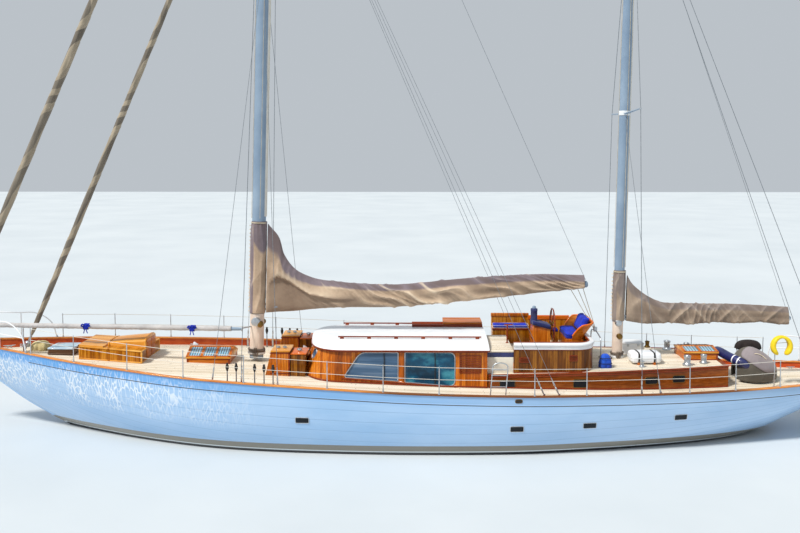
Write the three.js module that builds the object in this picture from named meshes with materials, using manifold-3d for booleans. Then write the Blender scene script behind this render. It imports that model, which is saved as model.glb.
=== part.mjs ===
// Two-masted sailing yacht afloat, sails stowed under covers.
// Millimetres. +X runs aft, +Y to starboard, +Z up. The origin is on the centreline at the waterline amidships.
import * as THREE from "three";
import { mergeVertices } from "three/addons/utils/BufferGeometryUtils.js";
import Module from "manifold-3d";

const wasm = await Module();
wasm.setup();

// Clearances
const REST_GAP = 0.3;
const RUNNING_GAP = 0.35;

// Hull lines, one row for each station.
// x, halfBeam at the rail, railTop, bodyBottom of the canoe body, round and flare of the section
const LINES = [
  [-12400, 45, 2356, 2190, 1.1, 0.95],
  [-11750, 270, 2313, 1720, 1.15, 0.92],
  [-11030, 520, 2268, 1210, 1.2, 0.9],
  [-10300, 810, 2222, 690, 1.3, 0.88],
  [-9560, 1105, 2174, 262, 1.4, 0.86],
  [-8400, 1540, 2098, -330, 1.55, 0.84],
  [-6900, 1955, 1998, -870, 1.8, 0.76],
  [-5430, 2290, 1905, -1190, 2.0, 0.68],
  [-3940, 2475, 1828, -1390, 2.2, 0.63],
  [-1900, 2575, 1722, -1500, 2.35, 0.6],
  [200, 2610, 1618, -1500, 2.4, 0.6],
  [2750, 2550, 1550, -1330, 2.35, 0.6],
  [4700, 2330, 1512, -1060, 2.25, 0.6],
  [6500, 2055, 1486, -720, 2.15, 0.58],
  [7900, 1785, 1480, -390, 2.1, 0.56],
  [9200, 1500, 1496, 0, 2.0, 0.54],
  [9900, 1350, 1517, 340, 2.0, 0.52],
  [10600, 1180, 1542, 668, 2.0, 0.52],
  [11400, 950, 1574, 965, 2.0, 0.5],
  [12150, 690, 1606, 1190, 2.0, 0.5],
];
// Keel under the canoe body: x, keelBottom, keelHalf thickness
const KEEL_LINES = [
  [-12400, 2160, 22],
  [-9560, 225, 26],
  [-7600, -730, 40],
  [-6200, -1290, 85],
  [-4800, -1960, 150],
  [-3400, -2470, 220],
  [-2200, -2690, 270],
  [0, -2780, 300],
  [3000, -2870, 260],
  [5000, -2925, 170],
  [6500, -2965, 92],
  [8760, -235, 84],
  [9300, 10, 40],
  [12150, 1160, 24],
];
const SECTION_LEVELS = [1, 0.82, 0.64, 0.48, 0.34, 0.22, 0.12, 0.045, 0];
const RAIL_CAP = 45;
const BULWARK_FORWARD = 235;
const BULWARK_AFT = 165;
const BULWARK_THICK = 48;
// The deck's edge inside the hull's side
const DECK_EDGE = 62;
const WATERWAY = 150;
const CAMBER = 155;
const CAMBER_FADE = 2300;
const DECK_THICK = 25;
const BOW_X = LINES[0][0];
const STERN_X = LINES[LINES.length - 1][0];
const DECK_START = LINES[1][0];
const DECK_END = STERN_X - BULWARK_THICK - 10;

// Ballast at the foot of the keel
const BALLAST = { x0: -3300, x1: 4500, top: -2280 };

// Rudder axis, raked along the sternpost, and the blade outline aft of it
const RUDDER_HEEL = [6650, -2900];
const RUDDER_HEAD = [9040, -10];
const STOCK_R = 52;
const STOCK_TOP = 620;

// Propeller and its aperture in the deadwood
const PROP = { x: 7120, z: -1560, r: 300, hubR: 60, hubLength: 150, shaftR: 24, bladeHalf: 142, pitch: 0.45 };

// Pilothouse
const HOUSE = { front: -2740, aft: 2050, half: 1560, nose: 1150, eave: 2395, wall: 45, rake: 300, lean: 45 };
const ROOF = { over: 55, edge: 75, crown: 150 };

// Aft trunk cabin and the raised steering cockpit on it
const TRUNK = { x0: 2080, x1: 8290, top0: 1790, top1: 1900, crown: 40 };
// Plan of the trunk: x, half width
const TRUNK_PLAN = [[2080, 1545], [3600, 1510], [5200, 1410], [6800, 1210], [8290, 960]];
const COCKPIT = { x0: 2730, x1: 4800, half: 1400, sole: 2080, top: 2490, wall: 60, corner: 480 };
const RIM = { width: 150, thick: 85 };

// Masts: foot position on the deck, rake in degrees, top height, half sizes fore-and-aft and athwart
const MAIN = { x: -4040, rake: 1.7, top: 22350, along: 185, across: 135, base: 1780 };
const MIZZEN = { x: 5655, rake: 0.9, top: 15250, along: 135, across: 105, base: 1830 };

// Colours
const PAINT = {
  topsides: [0xb9d4ea, 0.3, 0],
  bottom: [0x1a1f2b, 0.6, 0],
  teak: [0xd8c7a8, 0.8, 0],
  varnish: [0xb5651d, 0.25, 0],
  white: [0xf2f4f5, 0.35, 0],
  canvas: [0xb7a282, 0.95, 0],
  grey: [0x8d8f8e, 0.9, 0],
  blue: [0x1f3f9e, 0.9, 0],
  spar: [0xa9b7bd, 0.4, 0.1],
  steel: [0xc9ced2, 0.22, 1],
  bronze: [0x8c6a35, 0.4, 1],
  yellow: [0xf0c818, 0.7, 0],
  sail: [0x9c8f7c, 0.9, 0],
};

const part = new THREE.Group();

function material(key) {
  const [color, roughness, metalness] = PAINT[key];
  return new THREE.MeshStandardMaterial({ color, roughness, metalness });
}

function piece(name, geometry, key, parent = part) {
  const mesh = new THREE.Mesh(geometry, material(key));
  mesh.name = name;
  parent.add(mesh);
  return mesh;
}

// Solids

function toSolid(geometry) {
  const bare = geometry.clone();
  bare.deleteAttribute("normal");
  bare.deleteAttribute("uv");
  const merged = mergeVertices(bare, 1e-3);
  const mesh = new wasm.Mesh({
    numProp: 3,
    vertProperties: Float32Array.from(merged.attributes.position.array),
    triVerts: Uint32Array.from(merged.index.array),
  });
  return new wasm.Manifold(mesh);
}

function toGeometry(solid) {
  const mesh = solid.getMesh();
  const geometry = new THREE.BufferGeometry();
  geometry.setAttribute("position", new THREE.BufferAttribute(Float32Array.from(mesh.vertProperties), 3));
  geometry.setIndex(new THREE.BufferAttribute(Uint32Array.from(mesh.triVerts), 1));
  return geometry;
}

function join(...geometries) {
  return toGeometry(geometries.map(toSolid).reduce((sum, next) => sum.add(next)));
}

function cut(geometry, ...cutters) {
  return toGeometry(cutters.map(toSolid).reduce((left, next) => left.subtract(next), toSolid(geometry)));
}

function common(geometry, other) {
  return toGeometry(toSolid(geometry).intersect(toSolid(other)));
}

function capFaces(ring, offset) {
  const normal = [0, 0, 0];
  ring.forEach((p, i) => {
    const q = ring[(i + 1) % ring.length];
    normal[0] += (p[1] - q[1]) * (p[2] + q[2]);
    normal[1] += (p[2] - q[2]) * (p[0] + q[0]);
    normal[2] += (p[0] - q[0]) * (p[1] + q[1]);
  });
  const size = normal.map(Math.abs);
  const drop = size.indexOf(Math.max(...size));
  const [a, b] = [0, 1, 2].filter((axis) => axis !== drop);
  const flat = ring.map((p) => new THREE.Vector2(p[a], p[b]));
  const turned = THREE.ShapeUtils.area(flat) < 0;
  const faces = THREE.ShapeUtils.triangulateShape(turned ? flat.slice().reverse() : flat, []);
  const last = ring.length - 1;
  return faces.map((face) => {
    const real = turned ? face.map((i) => last - i).reverse() : face;
    return real.map((i) => i + offset);
  });
}

function facesVolume(points, faces) {
  let sum = 0;
  for (let i = 0; i < faces.length; i += 3) {
    const [a, b, c] = [points[faces[i]], points[faces[i + 1]], points[faces[i + 2]]];
    sum += a[0] * (b[1] * c[2] - b[2] * c[1]);
    sum += a[1] * (b[2] * c[0] - b[0] * c[2]);
    sum += a[2] * (b[0] * c[1] - b[1] * c[0]);
  }
  return sum;
}

// A closed skin over rings of points, all with the same count and the same sense, capped at both ends
function skin(rings) {
  const count = rings[0].length;
  const points = rings.flat();
  let faces = [];
  for (let r = 0; r + 1 < rings.length; r += 1) {
    for (let i = 0; i < count; i += 1) {
      const near = r * count + i;
      const next = r * count + ((i + 1) % count);
      faces.push(near, next, next + count, near, next + count, near + count);
    }
  }
  const sideSense = faces.slice(0, 3);
  const start = capFaces(rings[0], 0);
  const end = capFaces(rings[rings.length - 1], (rings.length - 1) * count);
  // A cap runs against the side's edge that it shares
  const startRuns = start.some((f) => [0, 1, 2].some((k) => f[k] === sideSense[0] && f[(k + 1) % 3] === sideSense[1]));
  start.forEach((f) => faces.push(...(startRuns ? f.slice().reverse() : f)));
  const low = (rings.length - 1) * count;
  const endRuns = end.some((f) => [0, 1, 2].some((k) => f[k] === low + 1 && f[(k + 1) % 3] === low));
  end.forEach((f) => faces.push(...(endRuns ? f.slice().reverse() : f)));
  if (facesVolume(points, faces) < 0) faces = faces.reverse();
  const geometry = new THREE.BufferGeometry();
  geometry.setAttribute("position", new THREE.Float32BufferAttribute(points.flat(), 3));
  geometry.setIndex(faces);
  return geometry;
}

function box(x0, x1, y0, y1, z0, z1) {
  const geometry = new THREE.BoxGeometry(x1 - x0, y1 - y0, z1 - z0);
  return geometry.translate((x0 + x1) / 2, (y0 + y1) / 2, (z0 + z1) / 2);
}

// A straight round bar from one point to another; it may taper
function rod(from, to, radius, sides = 8, endRadius = radius) {
  const a = new THREE.Vector3(...from);
  const b = new THREE.Vector3(...to);
  const along = b.clone().sub(a);
  const geometry = new THREE.CylinderGeometry(endRadius, radius, along.length(), sides);
  const turn = new THREE.Quaternion().setFromUnitVectors(new THREE.Vector3(0, 1, 0), along.clone().normalize());
  return geometry.applyQuaternion(turn).translate(...a.add(b).multiplyScalar(0.5).toArray());
}

function ball(at, radius, sides = 8) {
  return new THREE.SphereGeometry(radius, sides, Math.ceil(sides / 2)).translate(...at);
}

// A round bar bent at each point of a path, mitred at the bends
function pipe(points, radius, sides = 8) {
  const at = points.map((p) => new THREE.Vector3(...p));
  const legs = at.slice(1).map((p, i) => p.clone().sub(at[i]).normalize());
  const across = new THREE.Vector3(0, 0, 1);
  if (Math.abs(legs[0].z) > 0.8) across.set(1, 0, 0);
  const u = across.clone().cross(legs[0]).normalize();
  const v = legs[0].clone().cross(u);
  let ring = Array.from({ length: sides }, (unused, i) => {
    const angle = ((i + 0.5) / sides) * Math.PI * 2;
    return at[0].clone().addScaledVector(u, radius * Math.cos(angle)).addScaledVector(v, radius * Math.sin(angle));
  });
  const rings = [ring];
  legs.forEach((leg, i) => {
    const end = at[i + 1];
    const plane = leg.clone().add(legs[Math.min(i + 1, legs.length - 1)]).normalize();
    ring = ring.map((p) => {
      const step = end.clone().sub(p).dot(plane) / leg.dot(plane);
      return p.clone().addScaledVector(leg, step);
    });
    rings.push(ring);
  });
  return skin(rings.map((points3) => points3.map((p) => p.toArray())));
}

// A flat outline, given as pairs, pushed along one axis from low to high
function slab(outline, axis, low, high) {
  const place = {
    x: (a, b, t) => [t, a, b],
    y: (a, b, t) => [a, t, b],
    z: (a, b, t) => [a, b, t],
  }[axis];
  return skin([outline.map(([a, b]) => place(a, b, low)), outline.map(([a, b]) => place(a, b, high))]);
}

// A profile of radius and height turned about the vertical through a point
function turned(profile, at, sides = 16) {
  const points = profile.map(([r, z]) => new THREE.Vector2(r, z));
  return new THREE.LatheGeometry(points, sides).rotateX(Math.PI / 2).translate(...at);
}

// Points of a rounded rectangle around a centre
function roundedOutline(halfA, halfB, radius, steps = 3) {
  const points = [];
  const corners = [[1, 1, 0], [-1, 1, 1], [-1, -1, 2], [1, -1, 3]];
  corners.forEach(([a, b, quarter]) => {
    for (let i = 0; i <= steps; i += 1) {
      const angle = (quarter + i / steps) * (Math.PI / 2);
      points.push([
        a * (halfA - radius) + radius * Math.cos(angle),
        b * (halfB - radius) + radius * Math.sin(angle),
      ]);
    }
  });
  return points;
}

// Hull surface

// Smooth value of one column of a table at x, through the rows
function smoothAt(rows, x, column) {
  let i = 0;
  while (i + 2 < rows.length && x > rows[i + 1][0]) i += 1;
  const row = (k) => rows[Math.min(Math.max(k, 0), rows.length - 1)];
  const slope = (k) => {
    const before = row(k - 1);
    const after = row(k + 1);
    return (after[column] - before[column]) / (after[0] - before[0]);
  };
  const span = rows[i + 1][0] - rows[i][0];
  const t = (x - rows[i][0]) / span;
  const p0 = rows[i][column];
  const p1 = rows[i + 1][column];
  const m0 = slope(i) * span;
  const m1 = slope(i + 1) * span;
  const t2 = t * t;
  const t3 = t2 * t;
  return (2 * t3 - 3 * t2 + 1) * p0 + (t3 - 2 * t2 + t) * m0 + (3 * t2 - 2 * t3) * p1 + (t3 - t2) * m1;
}

function straightAt(rows, x, column) {
  let i = 0;
  while (i + 2 < rows.length && x > rows[i + 1][0]) i += 1;
  const t = (x - rows[i][0]) / (rows[i + 1][0] - rows[i][0]);
  return rows[i][column] + t * (rows[i + 1][column] - rows[i][column]);
}

const railTop = (x) => smoothAt(LINES, x, 2);
const bodyBottom = (x) => smoothAt(LINES, x, 3);
const keelBottom = (x) => Math.min(straightAt(KEEL_LINES, x, 1), bodyBottom(x) - 20);
const keelHalf = (x) => straightAt(KEEL_LINES, x, 2);

function bulwarkHeight(x) {
  const t = THREE.MathUtils.clamp((x - BOW_X) / (0 - BOW_X), 0, 1);
  return THREE.MathUtils.lerp(BULWARK_FORWARD, BULWARK_AFT, t);
}

const sheer = (x) => railTop(x) - RAIL_CAP - bulwarkHeight(x);

// Half breadth of the hull at a height: a rounded canoe body blended with the keel
function halfBreadth(x, z) {
  const low = bodyBottom(x);
  const u = THREE.MathUtils.clamp((z - low) / (railTop(x) - low), 0, 1);
  const round = smoothAt(LINES, x, 4);
  const flare = smoothAt(LINES, x, 5);
  const body = smoothAt(LINES, x, 1) * Math.pow(1 - Math.pow(1 - u, round), flare);
  return Math.cbrt(body ** 3 + keelHalf(x) ** 3);
}

// Half width of the flat waterway's inner edge, where the camber starts
function camberHalf(x) {
  const edge = halfBreadth(x, sheer(x));
  return Math.max(edge - WATERWAY, edge * 0.55);
}

// Height of the bare deck: flat waterway, then three flats rising to the centreline
function deckBase(x, y) {
  const half = camberHalf(x);
  const t = Math.min(Math.abs(y) / half, 1);
  const fade = Math.min((x - DECK_START) / CAMBER_FADE, (DECK_END - x) / CAMBER_FADE, half / CAMBER_FADE, 1);
  const rise = CAMBER * Math.max(fade, 0);
  const shoulder = 0.75;
  const lift = t < 0.5 ? 1 - (t / 0.5) * (1 - shoulder) : shoulder * (1 - (t - 0.5) / 0.5);
  return sheer(x) + rise * lift;
}

const deckTop = (x, y) => deckBase(x, y) + REST_GAP + DECK_THICK;

const STATIONS = LINES.map((row) => row[0]).flatMap((x, i, all) => (i ? [(all[i - 1] + x) / 2, x] : [x]));
STATIONS.push(DECK_END, 8760, 9300);
STATIONS.sort((a, b) => a - b);

const CAMBER_FRACTIONS = [1, 0.5, 0, -0.5, -1];

function hullRing(x) {
  const top = sheer(x);
  const low = bodyBottom(x);
  const side = SECTION_LEVELS.map((level) => {
    const z = low + level * (top - low);
    return [halfBreadth(x, z), z];
  });
  side.push([keelHalf(x) * 0.8, keelBottom(x)]);
  const starboard = side.map(([y, z]) => [x, y, z]);
  const port = side.map(([y, z]) => [x, -y, z]).reverse();
  const half = camberHalf(x);
  const deck = CAMBER_FRACTIONS.map((f) => [x, -f * half, deckBase(x, f * half)]);
  return [...starboard, ...port, ...deck];
}

const hullBody = skin(STATIONS.map(hullRing));

// Rudder frame: distances along the raked axis and square to it, in the centre plane
const rudderAlong = new THREE.Vector3(RUDDER_HEAD[0] - RUDDER_HEEL[0], 0, RUDDER_HEAD[1] - RUDDER_HEEL[1]).normalize();
const rudderPoint = (distance) => [
  RUDDER_HEEL[0] + rudderAlong.x * distance,
  0,
  RUDDER_HEEL[1] + rudderAlong.z * distance,
];
const rudderLength = Math.hypot(RUDDER_HEAD[0] - RUDDER_HEEL[0], RUDDER_HEAD[1] - RUDDER_HEEL[1]);

function apertureCut() {
  const outline = [
    [6960, PROP.z - 390],
    [7700, PROP.z - 390],
    [8300, PROP.z + 380],
    [7040, PROP.z + 380],
  ];
  return slab(outline, "y", -400, 400);
}

// Everything aft of a line parallel to the rudder axis, so that the sternpost keeps clear of the blade
function sternpostCut() {
  const back = 75;
  const below = 300;
  const top = -165;
  const [hx, hz] = RUDDER_HEEL;
  const slope = rudderAlong.x / rudderAlong.z;
  const outline = [
    [hx - back - slope * below, hz - below],
    [hx + 2500, hz - below],
    [hx + 2500, top],
    [hx - back + slope * (top - hz), top],
  ];
  return slab(outline, "y", -300, 300);
}

function boreCut(from, to, radius, sides = 24) {
  return rod(from, to, (radius + RUNNING_GAP) / Math.cos(Math.PI / sides), sides);
}

const stockBore = boreCut(rudderPoint(rudderLength - 400), rudderPoint(rudderLength + STOCK_TOP), STOCK_R);
const shaftBore = boreCut([PROP.x - 700, 0, PROP.z], [PROP.x, 0, PROP.z], PROP.shaftR);
const ballastZone = box(BALLAST.x0, BALLAST.x1, -600, 600, -4000, BALLAST.top);
const ballastClear = box(BALLAST.x0 - REST_GAP, BALLAST.x1 + REST_GAP, -600, 600, -4000, BALLAST.top + REST_GAP);

const hullGroup = new THREE.Group();
part.add(hullGroup);
piece("hull", cut(hullBody, ballastClear, apertureCut(), sternpostCut(), stockBore, shaftBore), "topsides", hullGroup);
piece("ballast_keel", common(hullBody, ballastZone), "bottom", hullGroup);

// Deck, bulwark and rail

function deckRing(x) {
  const edge = halfBreadth(x, sheer(x)) - DECK_EDGE;
  const half = camberHalf(x);
  const across = [-edge, ...CAMBER_FRACTIONS.map((f) => -f * half), edge];
  const low = across.map((y) => [x, y, deckBase(x, y) + REST_GAP]);
  const high = across.map((y) => [x, y, deckTop(x, y)]).reverse();
  return [...low, ...high];
}

const DECK_STATIONS = STATIONS.filter((x) => x >= DECK_START && x <= DECK_END);
const deckRows = [DECK_START + REST_GAP, ...DECK_STATIONS.slice(1, -1), DECK_END - REST_GAP];
piece("deck", skin(deckRows.map(deckRing)), "teak", hullGroup);

// A band between two heights above the sheer, full width, for cutting rings out of
function bandSkin(stations, offset, low, high) {
  return skin(stations.map((x) => {
    const z0 = low(x);
    const z1 = high(x);
    const y0 = halfBreadth(x, z0) + offset;
    const y1 = halfBreadth(x, z1) + offset;
    return [[x, y0, z0], [x, y1, z1], [x, -y1, z1], [x, -y0, z0]];
  }));
}

const railUnder = (x) => railTop(x) - RAIL_CAP;
const bulwarkOuter = bandSkin(STATIONS, 0, (x) => sheer(x) + REST_GAP, (x) => railUnder(x));
const bulwarkInner = bandSkin(DECK_STATIONS, -BULWARK_THICK, (x) => sheer(x) - 20, (x) => railUnder(x) + 20);
piece("bulwark", cut(bulwarkOuter, bulwarkInner), "topsides", hullGroup);
const capOuter = bandSkin(STATIONS, 28, (x) => railUnder(x) + REST_GAP, railTop);
const capInner = bandSkin(DECK_STATIONS, -BULWARK_THICK - 40, (x) => railUnder(x) - 20, (x) => railTop(x) + 20);
const railRing = cut(capOuter, capInner);
piece("cap_rail", railRing, "varnish", hullGroup);
const railLifted = railRing.clone().translate(0, 0, REST_GAP);
const onRail = (geometry) => cut(geometry, railLifted);

// Everything up to just above the deck, for seating what stands on it
const underDeck = skin(DECK_STATIONS.map((x) => {
  const edge = halfBreadth(x, sheer(x)) - DECK_EDGE;
  const half = camberHalf(x);
  const across = [edge, ...CAMBER_FRACTIONS.map((f) => f * half), -edge];
  const top = across.map((y) => [x, y, deckTop(x, y) + REST_GAP]);
  return [...top, [x, -edge, -900], [x, edge, -900]];
}));

const seated = (geometry) => cut(geometry, underDeck);

// Pilothouse

// Half plan of the house: a rounded nose running into straight sides
function housePlan(front, half, aft, nose, steps = 7) {
  const points = [];
  for (let i = 0; i <= steps; i += 1) {
    const angle = (i / steps) * (Math.PI / 2);
    const bend = 0.72;
    points.push([
      front + nose - nose * Math.pow(Math.cos(angle), bend),
      half * Math.pow(Math.sin(angle), bend),
    ]);
  }
  points.push([aft, half]);
  const port = points.slice(1).map(([x, y]) => [x, -y]).reverse();
  return [...points, ...port];
}

function houseShell(inset, low, high) {
  const ring = (z) => {
    const t = (z - 1400) / (HOUSE.eave - 1400);
    const front = HOUSE.front + HOUSE.rake * t + inset;
    const half = HOUSE.half - HOUSE.lean * t - inset;
    return housePlan(front, half, HOUSE.aft - inset, HOUSE.nose - inset * 0.5).map(([x, y]) => [x, y, z]);
  };
  return skin([ring(low), ring(high)]);
}

// Side windows as outlines of x and z, cut right through both sides
const SIDE_WINDOWS = [
  [[-1560, 1725], [-190, 1635], [-190, 2355], [-1090, 2355], [-1180, 2320]],
  [[-15, 1610], [1130, 1520], [1235, 1600], [1240, 2270], [1150, 2360], [-15, 2360]],
];
// Oval ports in the nose: distance off the centreline, half width; all at one height
const FRONT_PORTS = [[400, 130], [1020, 110]];
const FRONT_PORT = { z: 2200, halfHeight: 125 };
const COMPANION = { y0: 560, y1: 1180, sill: 1855, hatchX0: 1020, doorThick: 28 };

function pilothouseWalls() {
  const shell = houseShell(0, 1100, HOUSE.eave);
  const inside = houseShell(HOUSE.wall, 1000, HOUSE.eave + 100);
  const panes = SIDE_WINDOWS.map((outline) => slab(outline, "y", -2000, 2000));
  const front = FRONT_PORTS.flatMap(([y, half]) => [-1, 1].map((side) => {
    const outline = roundedOutline(half, FRONT_PORT.halfHeight, half * 0.9).map(([a, b]) => [side * y + a, FRONT_PORT.z + b]);
    return slab(outline, "x", -3200, -1600);
  }));
  const doorway = box(1900, 2200, COMPANION.y0, COMPANION.y1, COMPANION.sill, HOUSE.eave + 50);
  return seated(cut(shell, inside, ...panes, ...front, doorway));
}

const houseGroup = new THREE.Group();
part.add(houseGroup);
piece("pilothouse", pilothouseWalls(), "varnish", houseGroup);

function roofSkin() {
  const low = HOUSE.eave + REST_GAP;
  const front = HOUSE.front + HOUSE.rake - ROOF.over;
  const half = HOUSE.half - HOUSE.lean + ROOF.over;
  const plan = housePlan(front, half, HOUSE.aft + ROOF.over, HOUSE.nose, 8);
  const starboard = plan.slice(1, plan.length / 2 + 1);
  const fractions = [1, 0.66, 0.33, 0, -0.33, -0.66, -1];
  const rings = starboard.map(([x, y]) => {
    const crown = ROOF.crown * Math.min(1, (y / half) ** 0.5);
    const top = fractions.map((f) => [x, f * y, low + ROOF.edge + crown * (1 - f * f)]);
    return [...top, [x, -y, low], [x, y, low]];
  });
  return skin(rings);
}

const hatchOpening = box(COMPANION.hatchX0 + 60, 2300, COMPANION.y0 + 30, COMPANION.y1 - 30, 2300, 2900);
piece("pilothouse_roof", cut(roofSkin(), hatchOpening), "white", houseGroup);

// Sliding hatch over the companionway, on two runners that belong to it
function roofHeight(y) {
  const half = HOUSE.half - HOUSE.lean + ROOF.over;
  return HOUSE.eave + REST_GAP + ROOF.edge + ROOF.crown * (1 - (y / half) ** 2);
}

const hatchLow = roofHeight(COMPANION.y0) + 6;
const hatchLid = cut(
  box(COMPANION.hatchX0, 2085, COMPANION.y0 - 60, COMPANION.y1 + 60, 2350, hatchLow + 120),
  box(COMPANION.hatchX0 + 30, 2200, COMPANION.y0 - 20, COMPANION.y1 + 20, 2300, hatchLow + 80),
);
const roofClear = skin([-2300, 2300].map((x) => {
  const fractions = [1, 0.66, 0.33, 0, -0.33, -0.66, -1];
  const half = HOUSE.half - HOUSE.lean + ROOF.over;
  const low = HOUSE.eave + 2 * REST_GAP + ROOF.edge;
  const top = fractions.map((f) => [x, f * half, low + ROOF.crown * (1 - f * f)]);
  return [...top, [x, -half, 2000], [x, half, 2000]];
}));
piece("companion_hatch", cut(hatchLid, roofClear), "varnish", houseGroup);
// The door closes against the inside of the after wall and opens inwards
const doorFace = HOUSE.aft - HOUSE.wall - REST_GAP;
piece("companion_door", box(
  doorFace - COMPANION.doorThick,
  doorFace,
  COMPANION.y0 - 10,
  COMPANION.y1 + 10,
  COMPANION.sill - 8,
  HOUSE.eave - 6,
), "varnish", houseGroup);

// Aft trunk and cockpit

const trunkHalf = (x) => straightAt(TRUNK_PLAN, x, 1);
const trunkTop = (x) => THREE.MathUtils.mapLinear(x, TRUNK.x0, TRUNK.x1, TRUNK.top0, TRUNK.top1);

// The trunk's body, grown all round by a clearance
function trunkSkin(grow) {
  return skin(TRUNK_PLAN.map(([x, plan]) => {
    const half = plan + grow;
    const top = trunkTop(x) + grow;
    return [[x, half, 900], [x, half, top], [x, 0, top + TRUNK.crown], [x, -half, top], [x, -half, 900]];
  }));
}

const trunkBody = trunkSkin(0);
const overTrunk = trunkSkin(REST_GAP);
const onTrunk = (geometry) => cut(geometry, overTrunk);

const trunkGroup = new THREE.Group();
part.add(trunkGroup);
piece("aft_trunk", seated(trunkBody), "varnish", trunkGroup);

// Plan of the cockpit wall: straight sides, rounded aft corners, open forward
function cockpitPlan(inset) {
  const half = COCKPIT.half - inset;
  const aft = COCKPIT.x1 - inset;
  const r = COCKPIT.corner - inset;
  const points = [[COCKPIT.x0, half]];
  for (let i = 0; i <= 4; i += 1) {
    const angle = (i / 4) * (Math.PI / 2);
    points.push([aft - r + r * Math.sin(angle), half - r + r * Math.cos(angle)]);
  }
  const port = points.map(([x, y]) => [x, -y]).reverse();
  return [...points, ...port];
}

// Raised deck between the house and the cockpit, clear of the companionway
const bridgeDeck = box(HOUSE.aft + REST_GAP, COCKPIT.x0 + 5, -1385, 480, 1780, 2385);

function cockpitCoaming() {
  const outer = slab(cockpitPlan(0), "z", 1500, COCKPIT.top);
  const well = slab(cockpitPlan(COCKPIT.wall), "z", COCKPIT.sole, COCKPIT.top + 100);
  const mouth = box(COCKPIT.x0 - 100, COCKPIT.x0 + 60, -COCKPIT.half + COCKPIT.wall, COCKPIT.half - COCKPIT.wall,
    COCKPIT.sole, COCKPIT.top + 100);
  return onTrunk(join(cut(outer, well, mouth), bridgeDeck));
}

piece("cockpit_coaming", cockpitCoaming(), "varnish", trunkGroup);
const rimOuter = slab(cockpitPlan(-RIM.width / 2 + 30), "z", COCKPIT.top + REST_GAP, COCKPIT.top + RIM.thick);
const rimInner = slab(cockpitPlan(RIM.width / 2 + 30), "z", COCKPIT.top - 50, COCKPIT.top + RIM.thick + 50);
const rimMouth = box(COCKPIT.x0 - 100, COCKPIT.x0 + 10, -COCKPIT.half + 105, COCKPIT.half - 105, 2000, 3000);
piece("cockpit_rim", cut(rimOuter, rimInner, rimMouth), "white", trunkGroup);

// Steering console, wheel, seat
const CONSOLE = { x0: 3330, x1: 3760, half: 260, top: 2830 };
const WHEEL = { x: 3925, z: 2862, r: 400, tube: 17, shaftR: 20 };
const sole = COCKPIT.sole + REST_GAP;
const consoleBody = join(
  slab([[CONSOLE.x0 + 60, sole], [CONSOLE.x1, sole], [CONSOLE.x1, CONSOLE.top], [CONSOLE.x0 + 90, CONSOLE.top],
    [CONSOLE.x0, CONSOLE.top - 330]], "y", -CONSOLE.half, CONSOLE.half),
  rod([3450, 0, CONSOLE.top - 20], [3450, 0, 3170], 55, 10),
  ball([3450, 0, 3190], 95, 10),
);
piece("console", cut(consoleBody, boreCut([3500, 0, WHEEL.z - 60], [4000, 0, WHEEL.z - 60], WHEEL.shaftR)), "varnish", trunkGroup);

function wheelGeometry() {
  const rim = new THREE.TorusGeometry(WHEEL.r, WHEEL.tube, 6, 24);
  const spokes = [0, 1, 2, 3, 4, 5].map((i) => {
    const angle = (i / 6) * Math.PI * 2;
    return rod([0, 0, 0], [WHEEL.r * 1.12 * Math.cos(angle), WHEEL.r * 1.12 * Math.sin(angle), 0], 12, 6);
  });
  const hub = rod([0, 0, -35], [0, 0, 35], 60, 12);
  const shaft = rod([0, 0, -(WHEEL.x - 3560)], [0, 0, 0], WHEEL.shaftR, 24);
  return join(rim, hub, shaft, ...spokes);
}

const wheelMesh = piece("steering_wheel", wheelGeometry(), "varnish", trunkGroup);
wheelMesh.position.set(WHEEL.x, 0, WHEEL.z - 60);
wheelMesh.rotation.y = Math.PI / 2;

const SEAT = { x0: 4200, x1: 4640, half: 600, top: 2500 };
// Tub-shaped back round the seat, flared over the rim: z, x of its forward and after ends, half width, corner radius
const SEAT_BACK = [[2400, 3900, 4680, 625, 250], [2590, 3900, 4688, 635, 260], [2930, 3900, 4960, 850, 330]];
const SEAT_BACK_THICK = 45;

function seatBackSkin(inset, low, high) {
  return skin(SEAT_BACK.map(([z, x0, x1, half, radius], i) => {
    const level = [low, z, high][i];
    const outline = roundedOutline((x1 - x0) / 2 - inset, half - inset, radius - inset, 5);
    return outline.map(([a, b]) => [(x0 + x1) / 2 + a, b, level]);
  }));
}

function helmSeat() {
  const shell = seatBackSkin(0, SEAT_BACK[0][0], SEAT_BACK[2][0]);
  const room = seatBackSkin(SEAT_BACK_THICK, SEAT.top, SEAT_BACK[2][0] + 5);
  const arms = [[3800, 2350], [4199, 2350], [4199, SEAT.top], [4330, SEAT.top], [4360, 2640], [4500, 2840], [4720, 2880],
    [4800, 2950], [3800, 2950]];
  const front = slab(arms, "y", -900, 900);
  return join(cut(shell, room, front), box(SEAT.x0, SEAT.x1, -SEAT.half, SEAT.half, sole, SEAT.top));
}

piece("helm_seat", helmSeat(), "varnish", trunkGroup);
// Cushion, square in front and rounded aft inside the back: x of its middle and its half sizes
const CUSHION = { x: 4390, along: 200, half: 565, corner: 190, low: SEAT.top + REST_GAP, top: SEAT.top + 90 };
piece("helm_cushion", join(
  box(CUSHION.x - CUSHION.along, CUSHION.x, -CUSHION.half, CUSHION.half, CUSHION.low, CUSHION.top),
  slab(roundedOutline(CUSHION.along, CUSHION.half, CUSHION.corner, 5).map(([a, b]) => [CUSHION.x + a, b]), "z",
    CUSHION.low, CUSHION.top),
), "blue", trunkGroup);

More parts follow.
